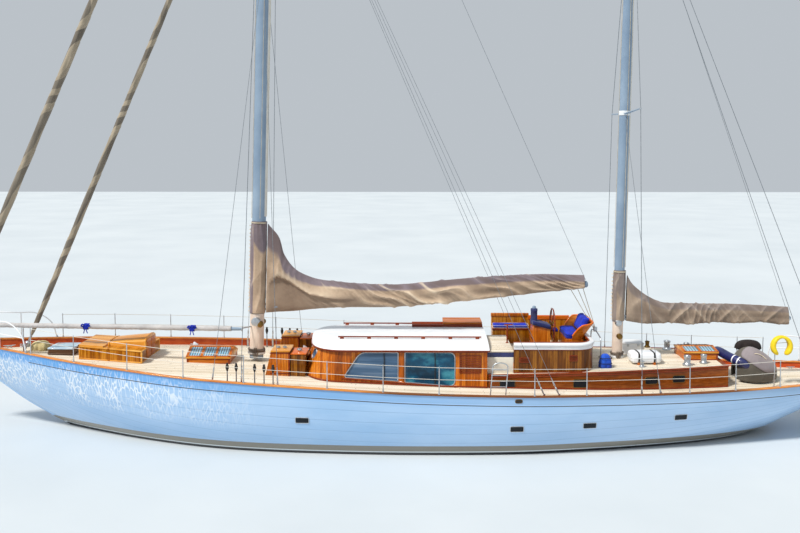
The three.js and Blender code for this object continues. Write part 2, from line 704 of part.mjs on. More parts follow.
// Bench along the starboard side, from abaft the door; its back is high forward and low aft
const BENCH = { x0: 2400, x1: 3420, backX1: 3450, lowX1: 4300, y0: 800, y1: 1285, top: 2500, backTop: 2840, lowTop: 2720 };
piece("cockpit_bench", onTrunk(join(
  box(BENCH.x0, COCKPIT.x0 - REST_GAP, BENCH.y0, BENCH.y1, 1700, BENCH.top),
  box(COCKPIT.x0 - 30, BENCH.x1, BENCH.y0, BENCH.y1, sole, BENCH.top),
  box(BENCH.x0, BENCH.backX1, BENCH.y1 - 50, BENCH.y1, sole, BENCH.backTop),
  box(BENCH.backX1 - 30, BENCH.lowX1, BENCH.y1 - 50, BENCH.y1, sole, BENCH.lowTop),
)), "varnish", trunkGroup);

// Boxes, skylights and hatches on deck

// A box on the deck with a hinged lid resting on it: x0, x1, y0, y1, height of the body above the deck
function deckBody(x0, x1, y0, y1, top) {
  return seated(box(x0, x1, y0, y1, top - 900, top));
}

// Foredeck box, wider aft and sloping with the sheer: x, half width, top of the body
const FOREBOX = [[-8600, 625, 2300], [-6900, 785, 2200]];
// Arched hood over its after part: x, half width, crown height, rise of the arch
const HOOD = [[-7900, 420, 2372, 50], [-6895, 430, 2488, 120]];
const deckGroup = new THREE.Group();
part.add(deckGroup);

const boxBottom = 1300;

function archRing(x, half, crown, rise, steps = 6) {
  const points = [[x, half, boxBottom]];
  for (let i = 0; i <= steps; i += 1) {
    const angle = (i / steps) * Math.PI;
    points.push([x, half * Math.cos(angle), crown - rise + rise * Math.sin(angle)]);
  }
  points.push([x, -half, boxBottom]);
  return points;
}

const boxRing = ([x, half, top]) => [[x, half, boxBottom], [x, half, top], [x, -half, top], [x, -half, boxBottom]];
piece("foredeck_box", seated(join(
  skin(FOREBOX.map(boxRing)),
  skin(HOOD.map((row) => archRing(...row))),
)), "varnish", deckGroup);

// Its lid lies on the sloping top, forward of the hood
const LID_THICK = 32;
const FORE_LID = { x0: -8625, x1: -7935, half: 645 };
const boxTop = (x) => straightAt(FOREBOX, x, 2) + REST_GAP;
piece("foredeck_lid", slab([
  [FORE_LID.x0, boxTop(FORE_LID.x0)],
  [FORE_LID.x1, boxTop(FORE_LID.x1)],
  [FORE_LID.x1, boxTop(FORE_LID.x1) + LID_THICK],
  [FORE_LID.x0, boxTop(FORE_LID.x0) + LID_THICK],
], "y", -FORE_LID.half, FORE_LID.half), "varnish", deckGroup);

const FORE_HATCH = { x0: -9560, x1: -8890, half: 330, top: 2130 };
piece("fore_hatch_frame", deckBody(FORE_HATCH.x0, FORE_HATCH.x1, -FORE_HATCH.half, FORE_HATCH.half, FORE_HATCH.top),
  "varnish", deckGroup);
piece("fore_hatch_lid", box(FORE_HATCH.x0 - 15, FORE_HATCH.x1 + 15, -FORE_HATCH.half - 15, FORE_HATCH.half + 15,
  FORE_HATCH.top + REST_GAP, FORE_HATCH.top + 45), "white", deckGroup);

// Skylights: a body and one gabled lid for each, hinged at the starboard edge
const SKYLIGHTS = [
  // name, x0, x1, half, body top, lid rise
  ["fore_skylight", -5800, -4660, 480, 1940, 240],
  ["aft_skylight", 7330, 8200, 430, 2110, 120],
];
SKYLIGHTS.forEach(([name, x0, x1, half, top, rise]) => {
  const body = box(x0, x1, -half, half, top - 700, top);
  piece(name, name === "fore_skylight" ? seated(body) : onTrunk(body), "varnish", deckGroup);
  const low = top + REST_GAP;
  const gable = [[half + 25, low], [half + 25, low + 40], [0, low + rise], [-half - 25, low + 40], [-half - 25, low]];
  piece(`${name}_lid`, slab(gable, "x", x0 - 20, x1 + 20), "varnish", deckGroup);
});

// Lockers either side abaft the main mast, with a sloping front and a hinged lid
const LOCKER = { x0: -3650, x1: -2960, y0: 560, y1: 1290, top: 2300, slope: 220 };
[["port", -1], ["starboard", 1]].forEach(([side, sign]) => {
  const profile = [[LOCKER.x0, 1300], [LOCKER.x1, 1300], [LOCKER.x1, LOCKER.top], [LOCKER.x0 + LOCKER.slope, LOCKER.top]];
  const y0 = sign > 0 ? LOCKER.y0 : -LOCKER.y1;
  const y1 = sign > 0 ? LOCKER.y1 : -LOCKER.y0;
  piece(`locker_${side}`, seated(slab(profile, "y", y0, y1)), "varnish", deckGroup);
  piece(`locker_lid_${side}`, box(LOCKER.x0 + LOCKER.slope - 15, LOCKER.x1 + 15, y0 - 15, y1 + 15,
    LOCKER.top + REST_GAP, LOCKER.top + LID_THICK), "varnish", deckGroup);
});

// Windlass under its canvas cover
const WINDLASS = { x: -9960, y: 330 };
const windlassRing = (halfX, halfY, radius, z) =>
  roundedOutline(halfX, halfY, radius).map(([a, b]) => [WINDLASS.x + a, WINDLASS.y + b, z]);
piece("windlass", seated(skin([
  windlassRing(260, 205, 100, 1700),
  windlassRing(260, 205, 100, 2040),
  windlassRing(180, 130, 80, 2250),
])), "canvas", deckGroup);

// Spars

function mastGroup(spec) {
  const group = new THREE.Group();
  group.position.set(spec.x, 0, spec.base);
  group.rotation.y = THREE.MathUtils.degToRad(spec.rake);
  group.updateMatrixWorld(true);
  part.add(group);
  return group;
}

function ellipseRing(along, across, z, sides, x = 0) {
  const points = [];
  for (let i = 0; i < sides; i += 1) {
    const angle = (i / sides) * Math.PI * 2;
    points.push([x + along * Math.cos(angle), across * Math.sin(angle), z]);
  }
  return points;
}

// The mast as an oval column, full size to two thirds of its height, then tapering
function mastColumn(spec, extra, low) {
  const length = spec.top - spec.base;
  const steps = [[low, 1], [length * 0.62, 1], [length * 0.82, 0.82], [length, 0.58]];
  const rings = steps.map(([z, size]) => ellipseRing(spec.along * size + extra, spec.across * size + extra, z, 20));
  return skin(rings);
}

const toWorld = (group, geometry) => geometry.clone().applyMatrix4(group.matrixWorld);
const toLocal = (group, geometry) => geometry.clone().applyMatrix4(group.matrixWorld.clone().invert());
const worldPoint = (group, x, y, z) => new THREE.Vector3(x, y, z).applyMatrix4(group.matrixWorld).toArray();

const mainGroup = mastGroup(MAIN);
const mizzenGroup = mastGroup(MIZZEN);

// Spreaders: mast, height above the deck foot, half span, sweep aft at the tip, lift at the tip
const SPREADERS = {
  main: [[10700, 1500, 60, 70], [15500, 1180, 50, 60]],
  mizzen: [[6560, 1500, 20, 60]],
};
const WIRE_R = 8;

function spreaderBars(rows, spec) {
  return rows.flatMap(([z, span, sweep, lift]) => [-1, 1].map((side) => {
    const root = [0, side * spec.across * 0.5, z];
    const tip = [sweep, side * (span - WIRE_R - REST_GAP - 2), z + lift];
    return rod(root, tip, 42, 8, 24);
  }));
}

// Cap shrouds: from the chainplate over each spreader tip to the masthead
const SHROUDS = {
  main: { group: mainGroup, spec: MAIN, rows: SPREADERS.main, foot: [-3980, 2335], top: 20300 },
  mizzen: { group: mizzenGroup, spec: MIZZEN, rows: SPREADERS.mizzen, foot: [5790, 2035], top: 12900 },
};

function shroudPath({ group, spec, rows, foot, top }, side) {
  const [x, y] = foot;
  const tips = rows.map(([z, span, sweep, lift]) => worldPoint(group, sweep, side * span, z + lift));
  const head = worldPoint(group, 0, side * spec.across * 0.3, top);
  return [[x, side * y, deckTop(x, y) + 250], ...tips, head];
}

function shroudSolid(rig, side) {
  const path = shroudPath(rig, side);
  const wire = pipe(path, WIRE_R, 6);
  const [x, y] = path[0];
  const plate = seated(box(x - 28, x + 28, y - 10, y + 10, path[0][2] - 400, path[0][2] - 60));
  const screw = box(x - 17, x + 17, y - 17, y + 17, path[0][2] - 75, path[0][2] + 30);
  const clear = toWorld(rig.group, mastColumn(rig.spec, REST_GAP, -400));
  return cut(join(wire, plate, screw), clear);
}

// A mast with its spreaders, clear of the shrouds at their tips, standing on the deck or the trunk
function mastSolid(rig, seat) {
  const whole = join(mastColumn(rig.spec, 0, -400), ...spreaderBars(rig.rows, rig.spec));
  const wires = [-1, 1].map((side) => pipe(shroudPath(rig, side), WIRE_R + REST_GAP, 6));
  return toLocal(rig.group, seat(cut(toWorld(rig.group, whole), ...wires)));
}

const rigGroup = new THREE.Group();
part.add(rigGroup);
piece("main_mast", mastSolid(SHROUDS.main, seated), "spar", mainGroup);
piece("mizzen_mast", mastSolid(SHROUDS.mizzen, onTrunk), "spar", mizzenGroup);
Object.entries(SHROUDS).forEach(([mast, rig]) => {
  piece(`${mast}_shroud_port`, shroudSolid(rig, -1), "steel", rigGroup);
  piece(`${mast}_shroud_starboard`, shroudSolid(rig, 1), "steel", rigGroup);
});

// Mizzen backstays to the stern quarters
const BACKSTAY = { x: 11150, y: 780, top: 13000, plate: 45 };
[["port", -1], ["starboard", 1]].forEach(([name, side]) => {
  const { x, plate } = BACKSTAY;
  const y = side * BACKSTAY.y;
  const level = deckTop(x, BACKSTAY.y);
  const head = worldPoint(mizzenGroup, 20, side * 20, BACKSTAY.top);
  const wire = rod([x, y, level + plate * 0.6], head, WIRE_R, 6);
  const foot = box(x - plate, x + plate, y - plate * 0.5, y + plate * 0.5, level - 100, level + plate);
  const clear = toWorld(mizzenGroup, mastColumn(MIZZEN, REST_GAP, -400));
  piece(`mizzen_backstay_${name}`, cut(join(seated(foot), wire), clear), "steel", rigGroup);
});

// Furled headsails: foot on deck, head height on the main mast, radius of the roll
const FURLED = [
  ["jib_furled", [-12310, 2330], 20150, 112, 90],
  ["staysail_furled", [-10350, 1960], 15500, 88, 80],
];

function furledSolid(foot, headZ, radius, drum) {
  const [x, z] = foot;
  const head = worldPoint(mainGroup, -MAIN.along * 0.4, 0, headZ);
  const base = new THREE.Vector3(x, 0, z);
  const along = new THREE.Vector3(...head).sub(base);
  const length = along.length();
  const profile = [
    [0, 0], [14, 0], [14, 190], [drum, 200], [drum, 330], [28, 340], [28, 520], [radius * 0.75, 900],
    [radius, length * 0.2], [radius * 0.92, length * 0.55], [radius * 0.5, length * 0.9], [20, length - 700],
    [12, length - 500], [12, length], [0, length],
  ];
  const points = profile.map(([r, h]) => new THREE.Vector2(r, h));
  const geometry = new THREE.LatheGeometry(points, 12);
  const turn = new THREE.Quaternion().setFromUnitVectors(new THREE.Vector3(0, 1, 0), along.normalize());
  const placed = geometry.applyQuaternion(turn).translate(x, 0, z);
  return cut(placed, toWorld(mainGroup, mastColumn(MAIN, REST_GAP, -400)));
}

FURLED.forEach(([name, foot, headZ, radius, drum]) => {
  piece(name, onRail(seated(furledSolid(foot, headZ, radius, drum))), "sail", rigGroup);
});

// Booms and their covers. The gooseneck axis lies aft of the mast's axis, at a height above its foot;
// the boom's far end is given in the yacht's own x and z.
const MAIN_BOOM = { axis: 235, z0: 1472, end: [4850, 3870], r: 105, tip: 88, pinR: 18, room: 150 };
const MIZZEN_BOOM = { axis: 185, z0: 1150, end: [10255, 2968], r: 72, tip: 62, pinR: 15, room: 105 };

const inMast = (group, x, z) => new THREE.Vector3(x, 0, z).applyMatrix4(group.matrixWorld.clone().invert());

// A bar along the boom's line, longer than the boom by the same share at both ends
function boomBar(group, boom, extra, grow) {
  const root = new THREE.Vector3(boom.axis, 0, boom.z0);
  const end = inMast(group, ...boom.end);
  const along = end.clone().sub(root);
  const from = root.clone().addScaledVector(along, 0.009 - extra);
  const to = end.clone().addScaledVector(along, extra);
  const fall = (boom.r - boom.tip) * extra;
  return rod(from.toArray(), to.toArray(), boom.r + grow + fall, 12, boom.tip + grow - fall);
}

function boomSolid(group, boom) {
  const cheeks = [-1, 1].map((side) => {
    const z = boom.z0 + side * boom.r * 0.58;
    return box(boom.axis - boom.pinR - 12, boom.axis + boom.r * 1.3, -26, 26, z - 15, z + 15);
  });
  const sides = 16;
  const holeR = (boom.pinR + RUNNING_GAP) / Math.cos(Math.PI / sides);
  const hole = rod([boom.axis, 0, boom.z0 - 250], [boom.axis, 0, boom.z0 + 250], holeR, sides);
  return cut(join(boomBar(group, boom, 0, 0), ...cheeks), hole);
}

// Gooseneck: a bracket on the mast with a pin through the boom's cheeks
function gooseneck(spec, boom) {
  const half = boom.r * 0.58 - 15 - REST_GAP;
  return join(
    box(spec.along - 60, boom.axis + boom.pinR + 4, -24, 24, boom.z0 - half, boom.z0 + half),
    rod([boom.axis, 0, boom.z0 - boom.r * 0.9], [boom.axis, 0, boom.z0 + boom.r * 0.9], boom.pinR, 16),
  );
}

// Cover sections, in the yacht's own frame: x, bottom, top, half width
const MAIN_COVER = [
  [-3695, 3085, 5480, 88],
  [-3400, 3105, 5130, 135],
  [-3250, 3112, 4640, 155],
  [-2950, 3130, 4250, 175],
  [-2550, 3175, 4050, 190],
  [-1700, 3232, 3915, 200],
  [-590, 3240, 3850, 205],
  [1650, 3425, 4025, 195],
  [3690, 3655, 4138, 175],
  [4750, 3768, 4113, 140],
];
const MIZZEN_COVER = [
  [5922, 2905, 4120, 68],
  [6040, 2895, 3905, 95],
  [6250, 2875, 3700, 115],
  [6480, 2860, 3540, 125],
  [6790, 2852, 3405, 135],
  [7400, 2855, 3368, 138],
  [8900, 2880, 3345, 128],
  [10180, 2850, 3270, 105],
];

function coverSkin(group, rows) {
  const count = 12;
  return skin(rows.map(([x, low, high, half]) => {
    const foot = inMast(group, x, low);
    const head = inMast(group, x, high);
    return Array.from({ length: count }, (unused, i) => {
      const angle = (i / count) * Math.PI * 2;
      const t = (1 + Math.sin(angle)) / 2;
      const narrow = 1 - 0.35 * Math.max(Math.sin(angle), 0);
      const at = foot.clone().lerp(head, t);
      return [at.x, half * narrow * Math.cos(angle), at.z];
    });
  }));
}

// The part of a cover that is laced round the mast
function coverCollar(spec, low, high, thick) {
  const rings = [[low, 1], [high - 300, 1], [high, 0.35]].map(([z, size]) => {
    const grow = thick * size + REST_GAP;
    return ellipseRing(spec.along + grow, spec.across + grow, z, 20);
  });
  const mast = [low - 100, high + 100].map((z) => ellipseRing(spec.along + REST_GAP, spec.across + REST_GAP, z, 20));
  return cut(skin(rings), skin(mast));
}

const SPARS = [
  // mast, rig, boom, cover sections, collar bottom and top above the mast's foot
  ["main", SHROUDS.main, MAIN_BOOM, MAIN_COVER, [1290, 3765]],
  ["mizzen", SHROUDS.mizzen, MIZZEN_BOOM, MIZZEN_COVER, [1060, 2415]],
];
SPARS.forEach(([mast, rig, boom, rows, collar]) => {
  const { group, spec } = rig;
  const spar = group.getObjectByName(`${mast}_mast`);
  spar.geometry = join(spar.geometry, gooseneck(spec, boom));
  piece(`${mast}_boom`, boomSolid(group, boom), "spar", group);
  const clear = boomBar(group, boom, 0.05, REST_GAP);
  const tall = boom.r * 1.15;
  const neckRoom = box(0, boom.axis + boom.room + 60, -70, 70, boom.z0 - tall, boom.z0 + tall);
  piece(`${mast}_cover`, cut(coverSkin(group, rows), clear, neckRoom), "canvas", group);
  piece(`${mast}_cover_collar`, cut(coverCollar(spec, collar[0], collar[1], 48), neckRoom), "canvas", group);
});

// Rudder and propeller

function rudderSolid() {
  const outline = [
    [6690, -2870],
    [7560, -2800],
    [8420, -2050],
    [9110, -1150],
    [9480, -520],
    [9600, -70],
    [9570, 15],
    [9180, -98],
    [8865, -228],
  ];
  const sections = skin([-1, 1].map((side) => outline.map(([x, z], i) => {
    const thin = i >= 1 && i <= 6 ? 22 : 70;
    return [x, side * thin, z];
  })));
  const stock = rod(rudderPoint(-20), rudderPoint(rudderLength + STOCK_TOP - 60), STOCK_R, 24);
  return join(sections, stock);
}

piece("rudder", rudderSolid(), "bottom");

function propellerSolid() {
  const hub = rod([-PROP.hubLength / 2, 0, 0], [PROP.hubLength / 2 + 30, 0, 0], PROP.hubR, 16, PROP.hubR * 0.5);
  const shaft = rod([-600, 0, 0], [0, 0, 0], PROP.shaftR, 24);
  const blades = [0, 1, 2].map((i) => {
    const blade = new THREE.SphereGeometry(1, 12, 6).scale(9, 78, PROP.bladeHalf);
    blade.rotateZ(PROP.pitch).translate(0, 0, PROP.r - PROP.bladeHalf);
    return blade.rotateX((i / 3) * Math.PI * 2);
  });
  return join(hub, shaft, ...blades);
}

const propeller = piece("propeller", propellerSolid(), "bronze");
propeller.position.set(PROP.x, 0, PROP.z);

// Rails and lifelines

const POST_R = 13;
const STANCHIONS = [-8390, -6900, -5415, -3900, -1875, -530, 810, 3105, 4380, 6985, 8200, 9410];
const railInset = (x) => halfBreadth(x, railTop(x)) - 20;

function lifelineSolid(side) {
  const stops = [-9700, ...STANCHIONS, 10080];
  const foot = (x) => [x, side * railInset(x), railTop(x) - 15];
  const at = (x, h) => [x, side * (railInset(x) - 12), railTop(x) + h];
  const posts = stops.map((x) => rod(foot(x), at(x, 665), POST_R, 6));
  const wires = [350, 640].flatMap((h) => stops.slice(1).map((x, i) => rod(at(stops[i], h), at(x, h), 6, 5)));
  return onRail(join(...posts, ...wires));
}

piece("lifelines_port", lifelineSolid(-1), "steel");
piece("lifelines_starboard", lifelineSolid(1), "steel");

// A closed rail on posts round one end of the deck
function endRail(xs, inboard, height) {
  const at = (x, side, h) => [x, side * (railInset(x) - inboard), railTop(x) + h];
  const ends = [...xs.map((x) => [x, -1]), ...xs.slice().reverse().map((x) => [x, 1])];
  const top = pipe(ends.map(([x, side]) => at(x, side, height)), 16, 8);
  const middle = pipe(ends.map(([x, side]) => at(x, side, height * 0.52)), 12, 6);
  const posts = ends.map(([x, side]) => rod([x, side * railInset(x), railTop(x) - 15], at(x, side, height), 14, 8));
  return onRail(join(top, middle, ...posts));
}

piece("pulpit", endRail([-9850, -10700, -11650], 0, 700), "white");
piece("pushpit", endRail([10200, 11000, 12040], 0, 680), "white");

// Pole stowed on the foredeck in its sleeve
const POLE = { x0: -11300, x1: -4330, z0: 2820, z1: 2722, y: -450, r: 66 };
const POLE_POST = { x: -10150, r: 18 };
piece("foredeck_pole", seated(cut(
  join(
    rod([POLE.x0, POLE.y, POLE.z0], [POLE.x1, POLE.y, POLE.z1], POLE.r, 10),
    rod([POLE_POST.x, POLE.y, 1500], [POLE_POST.x, POLE.y, POLE.z0 - 10], POLE_POST.r, 8),
    rod([POLE.x1 - 90, POLE.y, POLE.z1], [MAIN.x, 0, POLE.z1], POLE_POST.r, 8),
  ),
  toWorld(mainGroup, mastColumn(MAIN, REST_GAP, -400)),
)), "canvas");

// Gear on the trunk and the after deck

piece("liferaft", onTrunk(skin([
  roundedOutline(400, 260, 90).map(([a, b]) => [6240 + a, -560 + b, 1700]),
  roundedOutline(400, 260, 90).map(([a, b]) => [6240 + a, -560 + b, 2120]),
  roundedOutline(340, 200, 80).map(([a, b]) => [6240 + a, -560 + b, 2190]),
])), "white");
piece("deck_chest", onTrunk(box(5900, 6480, 380, 860, 1700, 2200)), "white");

const WINCH = [[0, -120], [95, -120], [95, 40], [62, 60], [55, 130], [72, 190], [72, 205], [30, 215], [0, 215]];
const WINCHES = [
  ["winch_port", 7260, -880],
  ["winch_starboard", 7260, 880],
];
WINCHES.forEach(([name, x, y]) => {
  piece(name, onTrunk(turned(WINCH, [x, y, trunkTop(x)], 12)), "steel");
});

piece("covered_tender", seated(skin([
  [8640, 300, 1900, 60], [8900, 620, 2260, 400], [9300, 700, 2340, 560], [9700, 600, 2200, 520], [10060, 380, 1850, 250],
].map(([x, half, top]) => {
  const ring = [];
  for (let i = 0; i < 12; i += 1) {
    const angle = (i / 12) * Math.PI * 2;
    ring.push([x, -250 + half * Math.cos(angle), 1500 + (top - 1500) * Math.max(Math.sin(angle), -0.6)]);
  }
  return ring;
}))), "grey");

const BUOY = { x: 9690, y: -930, z: 2470, r: 230, tube: 52 };
const buoyRing = new THREE.TorusGeometry(BUOY.r, BUOY.tube, 8, 20).rotateX(Math.PI / 2).translate(BUOY.x, BUOY.y, BUOY.z);
const buoyGap = slab([[-70, -400], [70, -400], [120, 0], [-120, 0]], "y", -200, 200).translate(BUOY.x, BUOY.y, BUOY.z);
const buoyPost = rod([BUOY.x - 215, BUOY.y, 1200], [BUOY.x - 215, BUOY.y, BUOY.z + 40], 14, 8);
piece("lifebuoy", seated(join(cut(buoyRing, buoyGap), buoyPost)), "yellow");

// Folded boarding ladder lashed inside the rail
const LADDER = { x0: 2050, x1: 2420, y: -2330, top: 2200 };
const ladderRails = [LADDER.x0, LADDER.x1].map((x) => rod([x, LADDER.y, 1300], [x + 60, LADDER.y, LADDER.top], 14, 8));
const ladderSteps = [0.3, 0.5, 0.7, 0.9].map((t) => {
  const z = 1500 + t * (LADDER.top - 1500);
  return rod([LADDER.x0 + 30, LADDER.y, z], [LADDER.x1 + 30, LADDER.y, z], 12, 8);
});
piece("boarding_ladder", seated(join(...ladderRails, ...ladderSteps)), "steel");

export default part;
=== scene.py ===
"""Dresses the two-masted sailing yacht. Metres; +X runs aft, +Y to starboard, +Z up, waterline at Z = 0."""

import math

import bmesh
import bpy
import numpy as np
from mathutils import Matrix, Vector


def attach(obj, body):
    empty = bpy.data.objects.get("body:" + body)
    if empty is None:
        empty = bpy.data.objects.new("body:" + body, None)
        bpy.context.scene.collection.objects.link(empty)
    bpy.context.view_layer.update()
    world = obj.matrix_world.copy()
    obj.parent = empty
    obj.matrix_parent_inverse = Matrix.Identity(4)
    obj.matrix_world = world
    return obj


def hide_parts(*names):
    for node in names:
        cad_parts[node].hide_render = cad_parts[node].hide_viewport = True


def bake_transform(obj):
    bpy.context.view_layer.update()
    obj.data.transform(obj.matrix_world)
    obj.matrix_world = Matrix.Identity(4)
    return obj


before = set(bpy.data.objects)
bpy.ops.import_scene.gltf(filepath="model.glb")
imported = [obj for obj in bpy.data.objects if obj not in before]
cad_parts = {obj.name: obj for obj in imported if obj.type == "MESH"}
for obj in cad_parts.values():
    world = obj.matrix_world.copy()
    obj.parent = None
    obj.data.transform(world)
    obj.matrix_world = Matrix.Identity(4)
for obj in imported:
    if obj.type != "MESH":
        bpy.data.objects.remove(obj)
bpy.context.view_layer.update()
SIDES = (("port", -1), ("starboard", 1))

# Colours


def tone(red, green, blue):
    """Linear colour from red, green and blue of 0 to 255, by the sRGB power law."""
    values = np.array([red, green, blue]) / 255
    linear = np.where(values <= 0.04045, values / 12.92, ((values + 0.055) / 1.055) ** 2.4)
    return (*linear.tolist(), 1.0)


class Finish:
    """A procedural material: one Principled shader and the nodes that feed it."""

    SOCKETS = {
        "rough": "Roughness", "metal": "Metallic", "coat": "Coat Weight", "coat_rough": "Coat Roughness",
        "sheen": "Sheen Weight", "specular": "Specular IOR Level",
    }

    def __init__(self, name, **sockets):
        self.material = bpy.data.materials.new(name)
        self.material.use_nodes = True
        self.tree = self.material.node_tree
        self.shader = self.tree.nodes["Principled BSDF"]
        for key, value in sockets.items():
            self.shader.inputs[self.SOCKETS[key]].default_value = value
        self.place = self.node("ShaderNodeTexCoord").outputs["Object"]
        axes = self.node("ShaderNodeSeparateXYZ", {0: self.place})
        self.x, self.y, self.z = axes.outputs

    def node(self, kind, inputs=None, **settings):
        node = self.tree.nodes.new(kind)
        for key, value in settings.items():
            setattr(node, key, value)
        for key, value in (inputs or {}).items():
            if isinstance(value, bpy.types.NodeSocket):
                self.tree.links.new(value, node.inputs[key])
            else:
                node.inputs[key].default_value = value
        return node

    def math(self, operation, a, b=0.0, clamp=False):
        return self.node("ShaderNodeMath", {0: a, 1: b}, operation=operation, use_clamp=clamp).outputs[0]

    def plus(self, a, b):
        return self.math("ADD", a, b)

    def minus(self, a, b):
        return self.math("SUBTRACT", a, b)

    def times(self, a, b):
        return self.math("MULTIPLY", a, b)

    def attribute(self, name):
        return self.node("ShaderNodeAttribute", attribute_name=name).outputs["Fac"]

    def scaled(self, stretch):
        return self.node("ShaderNodeMapping", {"Vector": self.place, "Scale": stretch}).outputs[0]

    def noise(self, scale, stretch=(1, 1, 1), detail=4.0, rough=0.55):
        source = self.node("ShaderNodeTexNoise", {
            "Vector": self.scaled(stretch), "Scale": scale, "Detail": detail, "Roughness": rough})
        return source.outputs[0]

    def step(self, value, low, high):
        """0 below low, 1 above high, straight between."""
        return self.node("ShaderNodeMapRange", {
            "Value": value, "From Min": low, "From Max": high, "To Min": 0.0, "To Max": 1.0}).outputs[0]

    def band(self, value, low, high, soft=0.004):
        """1 between low and high, 0 outside."""
        rise = self.step(value, low - soft, low + soft)
        fall = self.step(value, high - soft, high + soft)
        return self.math("SUBTRACT", rise, fall, True)

    def ramp(self, value, stops):
        node = self.node("ShaderNodeValToRGB", {0: value})
        elements = node.color_ramp.elements
        while len(elements) < len(stops):
            elements.new(0.5)
        for element, (at, colour) in zip(elements, stops):
            element.position = at
            element.color = colour
        return node.outputs[0]

    def mix(self, factor, a, b):
        """Colour a where the factor is 0, b where it is 1."""
        return self.node("ShaderNodeMix", {0: factor, 6: a, 7: b}, data_type="RGBA").outputs[2]

    def cells(self, value, pitch):
        """Random number of the cell of width pitch that value falls in."""
        index = self.math("FLOOR", self.math("DIVIDE", value, pitch))
        return self.node("ShaderNodeTexWhiteNoise", {"W": index}, noise_dimensions="1D").outputs[0]

    def seams(self, value, pitch, width):
        """1 on lines of the given width, one every pitch."""
        part = self.math("FRACT", self.math("DIVIDE", value, pitch))
        off = self.math("ABSOLUTE", self.math("SUBTRACT", part, 0.5))
        share = width / pitch / 2
        return self.step(off, 0.5 - share * 1.5, 0.5 - share * 0.5)

    def paint(self, colour):
        self.tree.links.new(colour, self.shader.inputs["Base Color"])
        return self

    def roughen(self, value):
        self.tree.links.new(value, self.shader.inputs["Roughness"])
        return self

    def bump(self, height, depth, strength=1.0):
        node = self.node("ShaderNodeBump", {"Height": height, "Distance": depth, "Strength": strength})
        self.tree.links.new(node.outputs[0], self.shader.inputs["Normal"])
        return self


# Shapes: each is (points, faces), with points an (n, 3) array and faces lists of point numbers


def grid(points, closed=False, looped=False, capped=False):
    """Surface over a (rows, columns, 3) array. closed joins the last column to the first, looped the
    last row to the first, and capped fills the first and the last row."""
    rows, columns = points.shape[:2]
    row, column = np.meshgrid(
        np.arange(rows if looped else rows - 1), np.arange(columns if closed else columns - 1), indexing="ij")
    near = row * columns + column
    beside = row * columns + (column + 1) % columns
    ahead = ((row + 1) % rows) * columns
    quads = np.stack([near, beside, ahead + (column + 1) % columns, ahead + column], axis=-1).reshape(-1, 4)
    faces = quads.tolist()
    if capped:
        faces.append(list(range(columns))[::-1])
        faces.append(list(range((rows - 1) * columns, rows * columns)))
    return points.reshape(-1, 3), faces


def xyz(x, y, z):
    """Points from three arrays of coordinates that broadcast to one shape."""
    return np.stack(np.broadcast_arrays(x, y, z), -1)


def round_angles(count):
    """count angles evenly spread over one turn."""
    return np.linspace(0, 2 * np.pi, count, endpoint=False)


def unit(vectors):
    return vectors / np.linalg.norm(vectors, axis=-1, keepdims=True)


def curve(points, count):
    """count points evenly spread along a smooth line through the given ones (Catmull-Rom by Hermite)."""
    points = np.asarray(points, float)
    knots = np.r_[0, np.cumsum(np.linalg.norm(np.diff(points, axis=0), axis=1))]
    at = np.linspace(0, knots[-1], count)
    slopes = np.gradient(points, knots, axis=0)
    k = np.clip(np.searchsorted(knots, at, "right") - 1, 0, len(points) - 2)
    span = (knots[k + 1] - knots[k])[:, None]
    t = (at - knots[k])[:, None] / span
    return ((2 * t**3 - 3 * t**2 + 1) * points[k] + (t**3 - 2 * t**2 + t) * slopes[k] * span
            + (3 * t**2 - 2 * t**3) * points[k + 1] + (t**3 - t**2) * slopes[k + 1] * span)


def sides_of(path, looped=False):
    """Two unit vectors square to a path at each of its points, from the axis that the path runs along
    least."""
    if looped:
        tangent = unit(np.roll(path, -1, 0) - np.roll(path, 1, 0))
    else:
        tangent = unit(np.gradient(path, axis=0))
    reference = np.eye(3)[np.argmin(np.abs(tangent).max(0))]
    across = unit(np.cross(tangent, reference))
    return across, np.cross(tangent, across)


def sweep(path, profile, looped=False):
    """A closed profile carried along a path: point(t, a) = path(t) + profile_x(a) side(t) + profile_y(a)
    up(t)."""
    path = np.asarray(path, float)
    profile = np.asarray(profile, float)
    across, up = sides_of(path, looped)
    if profile.ndim == 2:
        profile = np.repeat(profile[None], len(path), 0)
    points = path[:, None] + profile[..., :1] * across[:, None] + profile[..., 1:] * up[:, None]
    return grid(points, closed=True, looped=looped, capped=not looped)


def tube(path, radius, sides=10, looped=False):
    """Round bar of one radius, or of a radius for each point of its path."""
    angle = np.arange(sides) * 2 * np.pi / sides
    circle = np.stack([np.cos(angle), np.sin(angle)], -1)
    size = np.broadcast_to(np.asarray(radius, float), len(path))
    return sweep(path, circle[None] * size[:, None, None], looped)


def bar(a, b, radius, end_radius=None, sides=10):
    """Straight round bar from a to b."""
    return tube(np.array([a, b], float), [radius, radius if end_radius is None else end_radius], sides)


def ring(centre, radius, thick, axis, sides=10, steps=40):
    """Torus round an axis x, y or z."""
    angle = np.arange(steps) * 2 * np.pi / steps
    flat = np.stack([np.cos(angle), np.sin(angle)], -1) * radius
    path = np.insert(flat, "xyz".index(axis), 0.0, axis=1) + np.asarray(centre, float)
    return tube(path, thick, sides, looped=True)


def turned(profile, at, axis="z", sides=24):
    """Profile of (radius, height) pairs turned round an axis through a point."""
    profile = np.asarray(profile, float)
    angle = np.arange(sides) * 2 * np.pi / sides
    radius = profile[:, :1]
    height = np.broadcast_to(profile[:, 1:], (len(profile), sides))
    points = xyz(radius * np.cos(angle), radius * np.sin(angle), height)
    order = {"z": [0, 1, 2], "x": [2, 0, 1], "y": [0, 2, 1]}[axis]
    return grid(points[..., order] + np.asarray(at, float), closed=True, capped=True)


